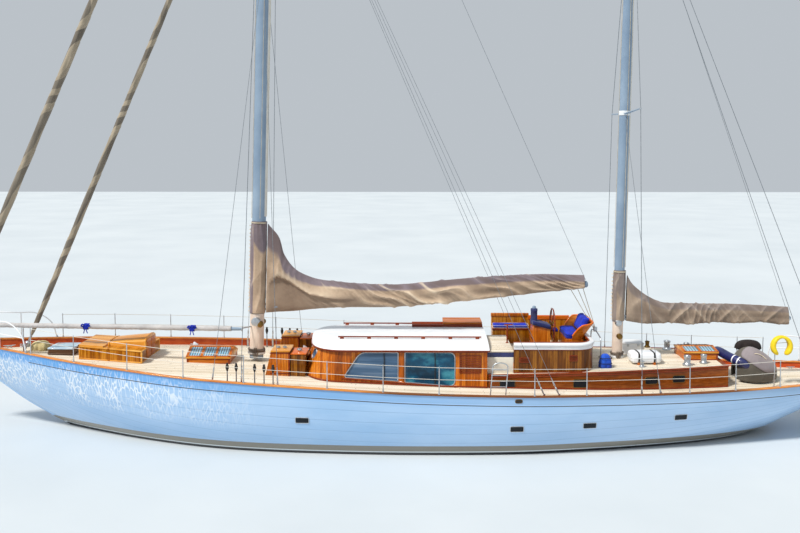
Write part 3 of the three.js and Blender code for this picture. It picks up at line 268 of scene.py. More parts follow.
def rounded(half_a, half_b, radius, steps=5):
    """Rounded rectangle round the origin: quarter circles of one radius at its four corners."""
    quarter = np.arange(4)[:, None]
    angle = (quarter + np.linspace(0, 1, steps)) * np.pi / 2
    sign_a = np.array([1, -1, -1, 1])[:, None]
    sign_b = np.array([1, 1, -1, -1])[:, None]
    a = sign_a * (half_a - radius) + radius * np.cos(angle)
    b = sign_b * (half_b - radius) + radius * np.sin(angle)
    return np.stack([a, b], -1).reshape(-1, 2)


def inset(outline, depth):
    """Outline pulled in by a depth, each point along the mean of its two edges' normals."""
    along = unit(np.roll(outline, -1, 0) - outline)
    normal = np.stack([along[:, 1], -along[:, 0]], -1)
    turn = np.sum(outline[:, 0] * np.roll(outline[:, 1], -1) - np.roll(outline[:, 0], -1) * outline[:, 1])
    mean = normal + np.roll(normal, 1, 0)
    mean = mean / np.maximum(np.sum(mean**2, -1, keepdims=True) / 2, 0.6)
    return outline - np.sign(turn) * mean * depth


def prism(outline, axis, low, high, edge=0.006, steps=4):
    """Outline pushed along an axis, its two rims rounded by quarter circles of radius edge."""
    outline = np.asarray(outline, float)
    angle = np.linspace(0, np.pi / 2, steps)
    depths = np.r_[edge * (1 - np.sin(angle)), edge * (1 - np.sin(angle[::-1]))]
    levels = np.r_[low + edge * (1 - np.cos(angle)), high - edge * (1 - np.cos(angle[::-1]))]
    rings = [np.insert(inset(outline, d), "xyz".index(axis), level, axis=1)
             for d, level in zip(depths, levels)]
    return grid(np.array(rings), closed=True, capped=True)


def block(x, y, z, corner=0.015, edge=0.006):
    """Box between the pairs x, y and z with rounded corners and rims."""
    half_x, half_y = (x[1] - x[0]) / 2, (y[1] - y[0]) / 2
    corner = min(corner, half_x * 0.98, half_y * 0.98)
    outline = rounded(half_x, half_y, corner) + [(x[0] + x[1]) / 2, (y[0] + y[1]) / 2]
    return prism(outline, "z", z[0], z[1], min(edge, corner * 0.9, (z[1] - z[0]) * 0.45))


def moved(shape, offset=(0, 0, 0), mirrored=False):
    """A shape shifted by an offset; mirrored changes port for starboard after that."""
    points = shape[0] + np.asarray(offset, float)
    return (points * [1, -1, 1] if mirrored else points), shape[1]


def both_sides(*shapes):
    """Each shape, followed by its mirror image on the other side."""
    return [side for shape in shapes for side in (shape, moved(shape, mirrored=True))]


def turned_about(shape, pivot, axis, degrees):
    """A shape turned about the x, y or z direction through a pivot."""
    a, b = {"x": (1, 2), "y": (2, 0), "z": (0, 1)}[axis]
    angle = math.radians(degrees)
    points = shape[0] - np.asarray(pivot, float)
    first = points[:, a] * math.cos(angle) - points[:, b] * math.sin(angle)
    points[:, b] = points[:, a] * math.sin(angle) + points[:, b] * math.cos(angle)
    points[:, a] = first
    return points + np.asarray(pivot, float), shape[1]


def settle(thing, body, replaces):
    """Says which body a piece rides on and the node that it stands in for."""
    if body:
        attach(thing, body)
    if replaces:
        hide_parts(replaces)


def piece(name, shapes, finish, body="hull", slot=None, replaces=None, smooth=40, attributes=None):
    """One object from shapes: seams and poles merged, faces turned outwards, smooth below an angle."""
    points, faces, start = [], [], 0
    for shape_points, shape_faces in shapes:
        points.append(shape_points)
        faces.extend([[i + start for i in face] for face in shape_faces])
        start += len(shape_points)
    mesh = bpy.data.meshes.new(name)
    mesh.from_pydata(np.concatenate(points).tolist(), [], faces)
    for key, values in (attributes or {}).items():
        layer = mesh.attributes.new(key, "FLOAT", "POINT")
        layer.data.foreach_set("value", np.ravel(values).astype(np.float32))
    work = bmesh.new()
    work.from_mesh(mesh)
    bmesh.ops.remove_doubles(work, verts=work.verts, dist=2e-6)
    bmesh.ops.recalc_face_normals(work, faces=work.faces)
    work.to_mesh(mesh)
    work.free()
    mesh.shade_smooth()
    mesh.set_sharp_from_angle(angle=math.radians(smooth))
    thing = bpy.data.objects.new(name, mesh)
    bpy.context.scene.collection.objects.link(thing)
    mesh.materials.append(finish.material)
    settle(thing, body, replaces)
    return thing


def apply_modifier(thing, kind, **settings):
    """Adds one modifier, applies it and leaves none on the object."""
    modifier = thing.modifiers.new(kind.lower(), kind)
    for key, value in settings.items():
        setattr(modifier, key, value)
    with bpy.context.temp_override(object=thing, active_object=thing, selected_objects=[thing]):
        bpy.ops.object.modifier_apply(modifier=modifier.name)


def carve(thing, shapes):
    """Cuts closed shapes out of an object, one after another."""
    for shape in shapes:
        tool = piece(thing.name + "_tool", [shape], VARNISH, body=None)
        apply_modifier(thing, "BOOLEAN", operation="DIFFERENCE", solver="EXACT", object=tool)
        bpy.data.objects.remove(tool)


def cloth(name, surface, finish, thick=0.004, body="hull",
          replaces=None, closed=False, attributes=None):
    """Sheet of cloth over a (rows, columns, 3) array, given its thickness."""
    thing = piece(name, [grid(surface, closed=closed)], finish, body=None, smooth=70, attributes=attributes)
    apply_modifier(thing, "SOLIDIFY", thickness=thick, offset=-1, use_even_offset=False)
    settle(thing, body, replaces)
    return thing


# Finishes


def hull_paint():
    """Pale blue-white enamel with faint strakes, a bluer band under the forward rail, a net of painted glints
    of light reflected from the water near the bow, a dark cove line, a taupe boot stripe over a white line,
    and dark paint below. below_rail and strake are the hull's own attributes."""
    f = Finish("hull_paint", rough=0.22, coat=0.5, coat_rough=0.08)
    drop = f.attribute("below_rail")
    strakes = f.seams(f.attribute("strake"), STRAKE, STRAKE * 0.07)
    cloud = f.noise(0.6, (0.35, 1, 1.4), 5)
    base = f.ramp(cloud, [(0.3, tone(144, 186, 226)), (0.7, tone(184, 213, 244))])
    base = f.mix(f.times(strakes, 0.35), base, tone(128, 164, 200))
    forward = f.step(f.x, 5.0, -9.0)
    upper = f.step(drop, 0.36, 0.2)
    base = f.mix(f.times(f.times(upper, forward), 0.85), base, tone(74, 156, 226))
    # Painted reflection: a net of pale glints of light thrown up from the water, near the bow under the rail.
    ripple = f.node("ShaderNodeTexVoronoi",
                    {"Vector": f.scaled((2.3, 1, 0.62)), "Scale": 5.4, "Randomness": 1.0},
                    feature="DISTANCE_TO_EDGE").outputs["Distance"]
    painted_glints = f.times(f.step(ripple, 0.11, 0.015), f.step(f.noise(1.6, (1.0, 1, 0.5), 3), 0.36, 0.56))
    near_bow = f.times(f.step(f.x, -3.2, -6.8), f.step(drop, 1.3, 0.95))
    near_bow = f.times(near_bow, f.step(drop, 0.0, 0.42))
    base = f.mix(f.times(f.times(painted_glints, near_bow), 0.95), base, tone(246, 250, 255))
    cove = f.times(f.band(drop, 0.248, 0.268), f.band(f.x, *COVE))
    base = f.mix(cove, base, tone(60, 48, 40))
    for level, colour in zip(BOOT, (tone(132, 128, 118), tone(214, 222, 226), tone(16, 18, 26))):
        base = f.mix(f.step(f.z, level, level - 0.006), base, colour)
    f.paint(base).bump(f.minus(f.noise(9, (0.2, 1, 1)), f.times(strakes, 0.6)), 0.0035)
    return f


def bottom_paint():
    f = Finish("bottom_paint", rough=0.65)
    f.paint(f.ramp(f.noise(2.2, detail=6), [(0.35, tone(14, 16, 24)), (0.75, tone(30, 34, 46))]))
    f.bump(f.noise(30), 0.002)
    return f


def laid_teak():
    """Bleached planks fore and aft, each of its own shade and with its own butts, dark caulked seams
    between."""
    f = Finish("laid_teak", rough=0.75)
    plank = 0.056
    number = f.cells(f.y, plank)
    butt = f.seams(f.plus(f.x, f.times(number, 7.0)), 2.6, 0.012)
    lines = f.math("MAXIMUM", f.seams(f.plus(f.y, plank / 2), plank, 0.006), butt)
    grain = f.noise(14, (0.12, 3, 3), 6)
    shade = f.plus(f.times(number, 0.45), f.times(grain, 0.55))
    wood = f.ramp(shade,
                  [(0.2, tone(206, 190, 164)), (0.5, tone(232, 220, 200)), (0.85, tone(248, 241, 228))])
    stain = f.step(f.noise(0.55, (1, 1, 1), 5), 0.55, 0.78)
    wood = f.mix(f.times(stain, 0.35), wood, tone(176, 160, 138))
    f.paint(f.mix(f.times(lines, 0.8), wood, tone(70, 62, 54)))
    f.bump(f.minus(f.times(grain, 0.3), lines), 0.002)
    return f


def varnished(name, along, across, board=0.0, dark=tone(112, 50, 6), mid=tone(186, 96, 16),
              light=tone(238, 156, 56), aged=None):
    """Glossy wood with its grain stretched along one axis; boards of the given width lie side by side across
    it. Between the two aged places along the hull it is dark brown."""
    f = Finish(name, rough=0.3, specular=0.2, coat=0.22, coat_rough=0.06)
    stretch = [9.0, 9.0, 9.0]
    stretch[along] = 0.9
    grain = f.noise(2.4, stretch, 8, 0.62)
    broad = f.noise(1.1, [value / 4 for value in stretch], 3)
    shade = f.plus(f.times(grain, 0.6), f.times(broad, 0.4))
    height = f.times(grain, 0.25)
    if board:
        place = (f.x, f.y, f.z)[across]
        shade = f.plus(shade, f.times(f.minus(f.cells(place, board), 0.5), 0.26))
        lines = f.seams(f.plus(place, board / 2), board, 0.005)
        shade = f.minus(shade, f.times(lines, 0.4))
        height = f.minus(height, lines)
    colour = f.ramp(shade, [(0.22, dark), (0.48, mid), (0.78, light)])
    if aged:
        after_first = f.step(f.x, aged[0] - 0.4, aged[0] + 0.4)
        before_last = f.step(f.x, aged[1] + 0.4, aged[1] - 0.4)
        colour = f.mix(f.times(f.times(after_first, before_last), 0.8), colour, tone(84, 44, 26))
    f.paint(colour)
    f.bump(height, 0.0015)
    return f


def woven(name, dark, light, pitch=0.012, patch=0.8, shade_tones=None, sheen=0.2):
    """Canvas: crossed threads, a broad mottle and fine soiling. Given shade tones, it takes those as painted
    shade where its shade-marking attribute is under 1; painted shade lies in the hollows and a painted
    highlight on the ridges of the folds that its fold attribute gives in metres."""
    f = Finish(name, rough=0.9, sheen=sheen)
    threads = f.plus(f.seams(f.x, pitch, pitch * 0.5), f.seams(f.z, pitch, pitch * 0.5))
    mottle = f.noise(patch, (1, 1, 1), 6)
    shade = f.plus(f.times(mottle, 0.85), f.times(f.noise(14, detail=3), 0.15))
    colour = f.ramp(shade, [(0.3, dark), (0.7, light)])
    if shade_tones:
        # Painted shade: the cloth under a cover's top edge and beside a collar's lacing takes the darker
        # shade tones.
        shaded_crest = f.plus(f.attribute("shaded_crest"), f.times(f.noise(2.2, detail=5), 0.5))
        colour = f.mix(f.step(shaded_crest, 1.42, 1.12), colour, f.ramp(shade, [(0.3, shade_tones[0]), (0.7, shade_tones[1])]))
        # Painted shade in the hollows of the folds, and a painted highlight along their ridges.
        fold = f.attribute("fold")
        colour = f.mix(f.times(f.step(fold, 0.012, -0.02), 0.5), colour, tone(92, 74, 62))
        colour = f.mix(f.times(f.step(fold, 0.03, 0.075), 0.6), colour, tone(238, 218, 190))
    f.paint(colour)
    f.bump(f.plus(f.times(threads, 0.3), f.noise(5, detail=5)), 0.004, 0.6)
    return f


def plain(name, dark, light, scale=3.0, depth=0.001, **sockets):
    """One colour with a slight mottle and a fine surface."""
    f = Finish(name, **sockets)
    f.paint(f.ramp(f.noise(scale, detail=5), [(0.3, dark), (0.7, light)]))
    f.roughen(f.step(f.noise(scale * 4, detail=3), -1.2 + 2 * (0.5 - sockets["rough"]), 2.2))
    f.bump(f.noise(scale * 12, detail=3), depth)
    return f


def tinted_glass():
    """Tinted safety glass whose colour carries painted reflections: grey-blue with level streaks forward,
    deep blue-green with soft pale patches aft."""
    f = Finish("tinted_glass", rough=0.05, specular=0.25, coat=0.3, coat_rough=0.02)
    patch = f.noise(1.7, (1, 1, 1.6), 4)
    streak = f.noise(2.0, (0.3, 1, 5), 4)
    after = f.ramp(patch, [(0.35, tone(4, 44, 66)), (0.52, tone(10, 76, 108)), (0.72, tone(72, 158, 176))])
    forward = f.ramp(streak,
                     [(0.3, tone(48, 78, 108)), (0.5, tone(74, 104, 136)), (0.7, tone(118, 140, 164))])
    f.paint(f.mix(f.step(f.x, -0.06, 0.06), forward, after))
    f.roughen(f.step(f.noise(1.2), -6.0, 12.0))
    return f


def rolled_sail():
    """Rolled headsail: turns of a pale sun strip and darker cloth wind round it; its turn attribute is a
    triangle wave, 1 at the strip's middle."""
    f = Finish("rolled_sail", rough=0.85, sheen=0.2)
    strip = f.step(f.attribute("turn"), 0.5, 0.56)
    cloth_shade = f.ramp(f.noise(2.5, (1, 1, 0.5), 5), [(0.3, tone(92, 84, 74)), (0.7, tone(128, 118, 104))])
    pale = f.ramp(f.noise(2.0, (1, 1, 0.5), 5), [(0.3, tone(138, 126, 108)), (0.7, tone(170, 156, 134))])
    f.paint(f.mix(strip, cloth_shade, pale)).bump(f.plus(strip, f.noise(8)), 0.004)
    return f


STRAKE = 1 / 17
# Ends of the cove line along the hull, and the tops of the boot stripe, its white line and the dark paint
COVE = (-9.8, 11.9)
BOOT = (0.26, 0.105, 0.075)
HULL_PAINT = hull_paint()
BOTTOM = bottom_paint()
TEAK = laid_teak()
VARNISH = varnished("varnish", 0, 1)
UPRIGHT = varnished("varnish_upright", 2, 0, 0.075)
ATHWART = varnished("varnish_athwart", 1, 0)
LIPS = varnished("varnish_red", 0, 1, 0, tone(78, 24, 8), tone(126, 48, 16), tone(170, 82, 36))
BROWN = varnished("varnish_brown", 0, 1, 0, tone(66, 28, 2), tone(126, 62, 10), tone(184, 106, 42))
# Darker copy of the upright varnish, used as painted shade on the cockpit walls and the locker shelves, whose
# faces lie in shade.
SHADED_VARNISH = varnished("varnish_shaded", 2, 0, 0.075, tone(60, 28, 0), tone(116, 64, 2), tone(190, 128, 40))
ORANGE = varnished("varnish_orange", 0, 1, 0, tone(150, 62, 6), tone(214, 100, 14), tone(240, 150, 60))
RAIL_WOOD = varnished("rail_wood", 0, 1, 0, tone(140, 66, 22), tone(204, 124, 54), tone(236, 170, 96),
                      aged=(-0.8, 8.6))
BULWARK_INSIDE = varnished("bulwark_inside", 0, 2, 0, tone(140, 44, 16), tone(190, 76, 28),
                           tone(216, 110, 52))
WHITE = plain("white_gloss", tone(226, 230, 236), tone(244, 246, 248), rough=0.25, coat=0.4)
MATT_WHITE = plain("white_matt", tone(214, 218, 222), tone(238, 240, 241), rough=0.5)
SPAR = plain("spar_paint", tone(114, 136, 160), tone(142, 162, 182), 1.2, rough=0.35, coat=0.3)
TRACK = plain("track_cream", tone(206, 200, 188), tone(226, 222, 212), rough=0.45)
STEEL = plain("stainless", tone(176, 182, 188), tone(214, 218, 222), 6, 0.0002, rough=0.2, metal=1.0)
WIRE = plain("wire", tone(120, 126, 132), tone(156, 162, 168), 20, 0.0004, rough=0.35, metal=0.85)
BRONZE = plain("bronze", tone(110, 84, 44), tone(150, 118, 66), 5, 0.0006, rough=0.38, metal=1.0)
BLACK = plain("black_rubber", tone(20, 20, 22), tone(38, 38, 40), 5, 0.0006, rough=0.6)
ROPE = woven("rope", tone(160, 148, 126), tone(206, 196, 174), 0.009, 6)
LACING = woven("lacing", tone(214, 196, 170), tone(246, 234, 212), 0.009, 6)
DARK_ROPE = woven("dark_rope", tone(84, 74, 66), tone(128, 112, 98), 0.009, 6)
# Cover canvases; the second pair of tones of each is painted shade.
CANVAS = woven("canvas_tan", tone(142, 118, 98), tone(214, 188, 160),
               shade_tones=(tone(104, 92, 98), tone(138, 124, 130)))
MIZZEN_CANVAS = woven("canvas_taupe", tone(128, 112, 98), tone(192, 170, 148),
                      shade_tones=(tone(118, 106, 102), tone(156, 142, 134)))
SLEEVE = woven("sleeve_cloth", tone(170, 166, 166), tone(208, 204, 202), 0.01, 2.5)
TENDER_CLOTH = woven("tender_cloth", tone(70, 66, 58), tone(110, 104, 94))
PANEL_CLOTH = woven("tender_panel", tone(124, 116, 120), tone(164, 154, 158))
DARK_CLOTH = woven("dark_cloth", tone(14, 10, 12), tone(40, 30, 28), sheen=0.04)
BLUE_CLOTH = woven("blue_cloth", tone(2, 18, 124), tone(16, 56, 210), 0.008, 3, sheen=0.04)
YELLOW = plain("yellow_foam", tone(222, 190, 10), tone(246, 220, 40), 5, 0.001, rough=0.55)
GLASS = tinted_glass()
DARK_GLASS = plain("dark_glass", tone(6, 10, 16), tone(20, 30, 40), 2.5, 0.0002, rough=0.12, specular=0.3)
SAIL = rolled_sail()

# Hull lines in metres: x, half beam at the rail, rail top, bottom of the canoe body, round and flare of the
# section

LINES = np.array([
    (-12.4, 0.045, 2.356, 2.19, 1.1, 0.95), (-11.75, 0.27, 2.313, 1.72, 1.15, 0.92),
    (-11.03, 0.52, 2.268, 1.21, 1.2, 0.9), (-10.3, 0.81, 2.222, 0.69, 1.3, 0.88),
    (-9.56, 1.105, 2.174, 0.262, 1.4, 0.86), (-8.4, 1.54, 2.098, -0.33, 1.55, 0.84),
    (-6.9, 1.955, 1.998, -0.87, 1.8, 0.76), (-5.43, 2.29, 1.905, -1.19, 2.0, 0.68),
    (-3.94, 2.475, 1.828, -1.39, 2.2, 0.63), (-1.9, 2.575, 1.722, -1.5, 2.35, 0.6),
    (0.2, 2.61, 1.618, -1.5, 2.4, 0.6), (2.75, 2.55, 1.55, -1.33, 2.35, 0.6),
    (4.7, 2.33, 1.512, -1.06, 2.25, 0.6), (6.5, 2.055, 1.486, -0.72, 2.15, 0.58),
    (7.9, 1.785, 1.48, -0.39, 2.1, 0.56), (9.2, 1.5, 1.496, 0.0, 2.0, 0.54),
    (9.9, 1.35, 1.517, 0.34, 2.0, 0.52), (10.6, 1.18, 1.542, 0.668, 2.0, 0.52),
    (11.4, 0.95, 1.574, 0.965, 2.0, 0.5), (12.15, 0.69, 1.606, 1.19, 2.0, 0.5),
])
# Keel: x, its bottom, its half thickness
KEEL = np.array([
    (-12.4, 2.16, 0.022), (-9.56, 0.225, 0.026), (-7.6, -0.73, 0.04), (-6.2, -1.29, 0.085),
    (-4.8, -1.96, 0.15), (-3.4, -2.47, 0.22), (-2.2, -2.69, 0.27), (0.0, -2.78, 0.3), (3.0, -2.87, 0.26),
    (5.0, -2.925, 0.17), (6.5, -2.965, 0.092), (8.76, -0.235, 0.084), (9.3, 0.01, 0.04), (12.15, 1.16, 0.024),
])
BOW, STERN = LINES[0, 0], LINES[-1, 0]
RAIL_CAP = 0.045
BULWARK = (0.235, 0.165)
WALL = 0.048
DECK_ENDS = (LINES[1, 0], STERN - WALL - 0.01)
WATERWAY = 0.15
CAMBER = (0.155, 2.3)
DECK_THICK = 0.0253
BEDDING = 0.0006  # gap between the deck and the foot of what stands on it


def smooth_column(x, column):
    """One column of the lines at x: a cubic through the rows with the mean slope of each row's neighbours."""
    x = np.asarray(x, float)
    rows = LINES
    last = len(rows) - 1
    k = np.clip(np.searchsorted(rows[:, 0], x, "right") - 1, 0, last - 1)
    before = np.clip(np.arange(last + 1) - 1, 0, last)
    after = np.clip(np.arange(last + 1) + 1, 0, last)
    slope = (rows[after, column] - rows[before, column]) / (rows[after, 0] - rows[before, 0])
    span = rows[k + 1, 0] - rows[k, 0]
    t = (x - rows[k, 0]) / span
    return ((2 * t**3 - 3 * t**2 + 1) * rows[k, column] + (t**3 - 2 * t**2 + t) * slope[k] * span
            + (3 * t**2 - 2 * t**3) * rows[k + 1, column] + (t**3 - t**2) * slope[k + 1] * span)


def rail_top(x):
    return smooth_column(x, 2)


def body_bottom(x):
    return smooth_column(x, 3)


def keel_half(x):
    return np.interp(x, KEEL[:, 0], KEEL[:, 2])


def keel_bottom(x):
    return np.minimum(np.interp(x, KEEL[:, 0], KEEL[:, 1]), body_bottom(x) - 0.02)


def sheer(x):
    share = np.clip((x - BOW) / -BOW, 0, 1)
    return rail_top(x) - RAIL_CAP - BULWARK[0] - share * (BULWARK[1] - BULWARK[0])


def half_breadth(x, z):
    """Half breadth of the hull: beam * (1 - (1 - u)^round)^flare for the height share u, blended with the
    keel."""
    low = body_bottom(x)
    u = np.clip((z - low) / (rail_top(x) - low), 0, 1)
    body = smooth_column(x, 1) * (1 - (1 - u) ** smooth_column(x, 4)) ** smooth_column(x, 5)
    return np.cbrt(body**3 + keel_half(x) ** 3)


def camber_half(x):
    edge = half_breadth(x, sheer(x))
    return np.maximum(edge - WATERWAY, edge * 0.55)


def deck_base(x, y):
    """Height of the bare deck: the sheer plus a camber that fades towards both ends and out over the
    waterway."""
    half = camber_half(x)
    t = np.minimum(np.abs(y) / half, 1)
    fade = np.minimum(np.minimum((x - DECK_ENDS[0]) / CAMBER[1], (DECK_ENDS[1] - x) / CAMBER[1]),
                      half / CAMBER[1])
    rise = CAMBER[0] * np.clip(fade, 0, 1)
    return sheer(x) + rise * np.where(t < 0.5, 1 - 0.5 * t, 1.5 * (1 - t))


def deck_top(x, y):
    return deck_base(x, y) + DECK_THICK


# Hull, deck, bulwark and rail


def hull_skin():
    """Surface of the hull from sheer to keel over x and girth: levels crowd where the section turns."""
    x = np.linspace(BOW, STERN, 260)[:, None]
    top, low = sheer(x), body_bottom(x)
    level = np.linspace(1, 0, 26)[None] ** 1.7
    z_body = low + level * (top - low)
    y_body = half_breadth(x, z_body)
    share = np.linspace(0, 1, 7)[None, 1:]
    z_keel = low + share * (keel_bottom(x) - low)
    y_keel = keel_half(x) * (1 - 0.2 * share)
    y = np.concatenate([y_body, y_keel], 1)
    z = np.concatenate([z_body, z_keel], 1)
    side = xyz(x, y, z)
    port = side[:, ::-1] * [1, -1, 1]
    across = np.linspace(-1, 1, 21)[None, 1:-1] * camber_half(x)
    deck = xyz(x, across, deck_base(x, across))
    points = np.concatenate([side, port, deck], 1)
    strake = np.concatenate([np.linspace(0, 1, 26), np.ones(6)])
    strake = np.concatenate([strake, strake[::-1], np.zeros(19)])
    return points, np.broadcast_to(strake, points.shape[:2])


points, strake = hull_skin()
shape = grid(points, closed=True, capped=True)
hull = piece("hull_planking", [shape], HULL_PAINT, slot="topsides", replaces="hull", smooth=50, attributes={
    "below_rail": rail_top(points[..., 0]) - points[..., 2], "strake": strake})

# Openings of the deadwood: the propeller's aperture, the rudder's sweep, the shaft's and the stock's bores
HEEL, HEAD = np.array([6.65, 0, -2.9]), np.array([9.04, 0, -0.01])
STOCK = unit(HEAD - HEEL)
PROP = np.array([7.12, 0, -1.56])
APERTURE = [(6.96, -1.95), (7.7, -1.95), (8.3, -1.18), (7.04, -1.18)]
back = 0.075
slope = STOCK[0] / STOCK[2]
SWEEP = [
    (HEEL[0] - back - slope * 0.3, HEEL[2] - 0.3), (HEEL[0] + 2.5, HEEL[2] - 0.3), (HEEL[0] + 2.5, -0.165),
    (HEEL[0] - back + slope * (-0.165 - HEEL[2]), -0.165),
]
carve(hull, [
    prism(APERTURE, "y", -0.4, 0.4, 0.0001),
    prism(SWEEP, "y", -0.3, 0.3, 0.0001),
    bar(PROP - [0.7, 0, 0], PROP, 0.0252, sides=32),
    bar(HEEL + STOCK * 3.35, HEEL + STOCK * 4.37, 0.0532, sides=32),
])

BALLAST = (-3.3, 4.5)
ballast_rows = np.linspace(*BALLAST, 60)[:, None]
share = np.linspace(0, 1, 12)[None]
low = keel_bottom(ballast_rows)
z = np.minimum(-2.2803, low + 0.7) * (1 - share) + low * share
y = keel_half(ballast_rows) * (1 - 0.2 * (body_bottom(ballast_rows) - z) / (body_bottom(ballast_rows) - low))
side = xyz(ballast_rows, y, z)
piece("ballast", [grid(np.concatenate([side, side[:, ::-1] * [1, -1, 1]], 1), closed=True, capped=True)],
      BOTTOM, slot="antifouling", replaces="ballast_keel")

# Deck
x = np.linspace(*DECK_ENDS, 220)[:, None]
edge = half_breadth(x, sheer(x)) - WALL - 0.004
y = np.linspace(-1, 1, 41)[None] * edge
top = xyz(x, y, deck_top(x, y))
under = top[:, ::-1] - [0, 0, DECK_THICK - 0.0003]
piece("laid_deck", [grid(np.concatenate([top, under], 1), closed=True, capped=True)], TEAK, slot="teak",
      replaces="deck")


def edge_stations():
    """x along the whole rail, doubled where the solid ends of the bulwark begin."""
    x = np.linspace(BOW, STERN, 260)
    return np.sort(np.r_[x, DECK_ENDS[0], DECK_ENDS[0] + 0.001, DECK_ENDS[1] - 0.001, DECK_ENDS[1]])[:, None]


def rail_strip(outer, thick, low, high, profile):
    """Strip along the starboard rail: profile is (outer share, height share) pairs of the section; the
    section's inner side is a thickness inside the outer one, or the centreline at the solid ends."""
    x = edge_stations()
    profile = np.asarray(profile, float)
    z = low(x) + profile[None, :, 1] * (high(x) - low(x))
    y_out = half_breadth(x, z) + outer
    open_deck = (x > DECK_ENDS[0] + 0.0005) & (x < DECK_ENDS[1] - 0.0005)
    y_in = np.where(open_deck, y_out - thick, 0.0)
    y = y_in + profile[None, :, 0] * (y_out - y_in)
    return xyz(x, y, z)


square = [(1, 0), (1, 0.5), (1, 1), (0, 1), (0, 0)]
strip = rail_strip(0.0, WALL, lambda x: sheer(x) + 0.0003, lambda x: rail_top(x) - RAIL_CAP, square)
strips = [strip, strip * [1, -1, 1]]
piece("bulwark_planking", [grid(s, closed=True, capped=True) for s in strips], HULL_PAINT, slot="topsides",
      replaces="bulwark", attributes={
          "below_rail": np.concatenate([(rail_top(s[..., 0]) - s[..., 2]).ravel() for s in strips]),
          "strake": np.zeros(strip.shape[0] * strip.shape[1] * 2)})
lining = rail_strip(-WALL, 0.004, lambda x: sheer(x) + 0.02, lambda x: rail_top(x) - RAIL_CAP, square)
lining = lining[(lining[:, 0, 0] > DECK_ENDS[0] + 0.0005) & (lining[:, 0, 0] < DECK_ENDS[1] - 0.0005)]
piece("bulwark_lining", both_sides(grid(lining, closed=True, capped=True)), BULWARK_INSIDE, slot="varnish")
cap_profile = rounded(0.5, 0.5, 0.34, 6) + 0.5
cap = rail_strip(0.0272, 0.1152, lambda x: rail_top(x) - RAIL_CAP + 0.0003, rail_top, cap_profile)
piece("rail_capping", both_sides(grid(cap, closed=True, capped=True)), RAIL_WOOD, slot="varnish",
      replaces="cap_rail")

# Outlines and surfaces shared by the deckhouses


def softened(corners, radius, steps=6):
    """Polygon with each corner replaced by a quadratic curve between points a radius away from it."""
    corners = np.asarray(corners, float)
    radius = np.broadcast_to(np.asarray(radius, float), len(corners))[:, None]
    start = corners + radius * unit(np.roll(corners, 1, 0) - corners)
    end = corners + radius * unit(np.roll(corners, -1, 0) - corners)
    t = np.linspace(0, 1, steps)[None, :, None]
    bend = (1 - t) ** 2 * start[:, None] + 2 * t * (1 - t) * corners[:, None] + t**2 * end[:, None]
    return bend.reshape(-1, 2)


def oval(half_a, half_b, steps=28):
    angle = np.arange(steps) * 2 * np.pi / steps
    return np.stack([half_a * np.cos(angle), half_b * np.sin(angle)], -1)


def on_side(outline, depth_of, offset):
    """An outline of x and z laid on a side wall: y = -(wall half breadth at (x, z) + offset)."""
    x, z = outline[:, 0], outline[:, 1]
    return xyz(x, -(depth_of(x, z) + offset), z)


def pane(outline, depth_of, outer, thick=0.008):
    """Glass of an outline between two depths of a side wall."""
    return grid(np.stack([on_side(outline, depth_of, outer), on_side(outline, depth_of, outer - thick)]),
                closed=True, capped=True)


def side_port(centre, half_x, half_z, depth_of, radius=0.05, rim=0.014):
    """Small window: a raised rim round a rounded rectangle and the glass inside it. Returns (rim, glass)."""
    outline = rounded(half_x, half_z, radius) + np.asarray(centre, float)
    frame_line = on_side(outline, depth_of, 0.004)
    return tube(frame_line, rim, 8, looped=True), pane(outline, depth_of, 0.006, 0.012)


def louvres(x0, x1, z0, z1, depth_of, count, out=0.004):
    """Framed panel of slats on a side wall: a square frame and count slats tilted outwards at the foot."""
    middle = (x0 + x1) / 2, (z0 + z1) / 2
    outline = rounded((x1 - x0) / 2, (z1 - z0) / 2, 0.012) + middle
    shapes = [sweep(on_side(outline, depth_of, out), rounded(0.012, 0.012, 0.004, 3), looped=True)]
    levels = np.linspace(z0, z1, count + 2)[1:-1]
    for z in levels:
        ends = np.array([(x0 + 0.015, z), (x1 - 0.015, z)])
        shapes.append(sweep(on_side(ends, depth_of, out), rounded(0.006, 0.019, 0.004, 3)))
    return shapes


# Pilothouse

HOUSE = {"front": -2.74, "aft": 2.05, "half": 1.56, "nose": 1.15, "eave": 2.395, "wall": 0.045,
         "rake": 0.3, "lean": 0.045, "bend": 0.72, "foot": 1.4}


def house_share(z):
    return (z - HOUSE["foot"]) / (HOUSE["eave"] - HOUSE["foot"])


def house_plan(z, inset=0.0, over=0.0):
    """Closed plan at heights z: a nose x = front + nose (1 - cos(a)^bend), y = half sin(a)^bend, straight
    sides and a straight after wall. Returns (points, heights, 2)."""
    z = np.atleast_1d(np.asarray(z, float))[None]
    share = house_share(z)
    front = HOUSE["front"] + HOUSE["rake"] * share + inset - over
    half = HOUSE["half"] - HOUSE["lean"] * share - inset + over
    aft = HOUSE["aft"] - inset + over
    nose = HOUSE["nose"] - inset * 0.5
    angle = np.linspace(0, np.pi / 2, 30)[:, None]
    x_nose = front + nose * (1 - np.cos(angle) ** HOUSE["bend"])
    y_nose = half * np.sin(angle) ** HOUSE["bend"]
    side = np.linspace(0, 1, 9)[1:, None]
    x_side = front + nose + side * (aft - front - nose)
    x = np.concatenate([x_nose, x_side])
    y = np.concatenate([y_nose, np.broadcast_to(half, x_side.shape)])
    starboard = np.stack([x, y], -1)
    back_y = np.linspace(1, -1, 10)[1:-1, None] * half
    after = np.stack([np.broadcast_to(aft, back_y.shape), back_y], -1)
    return np.concatenate([starboard, after, starboard[:0:-1] * [1, -1]])


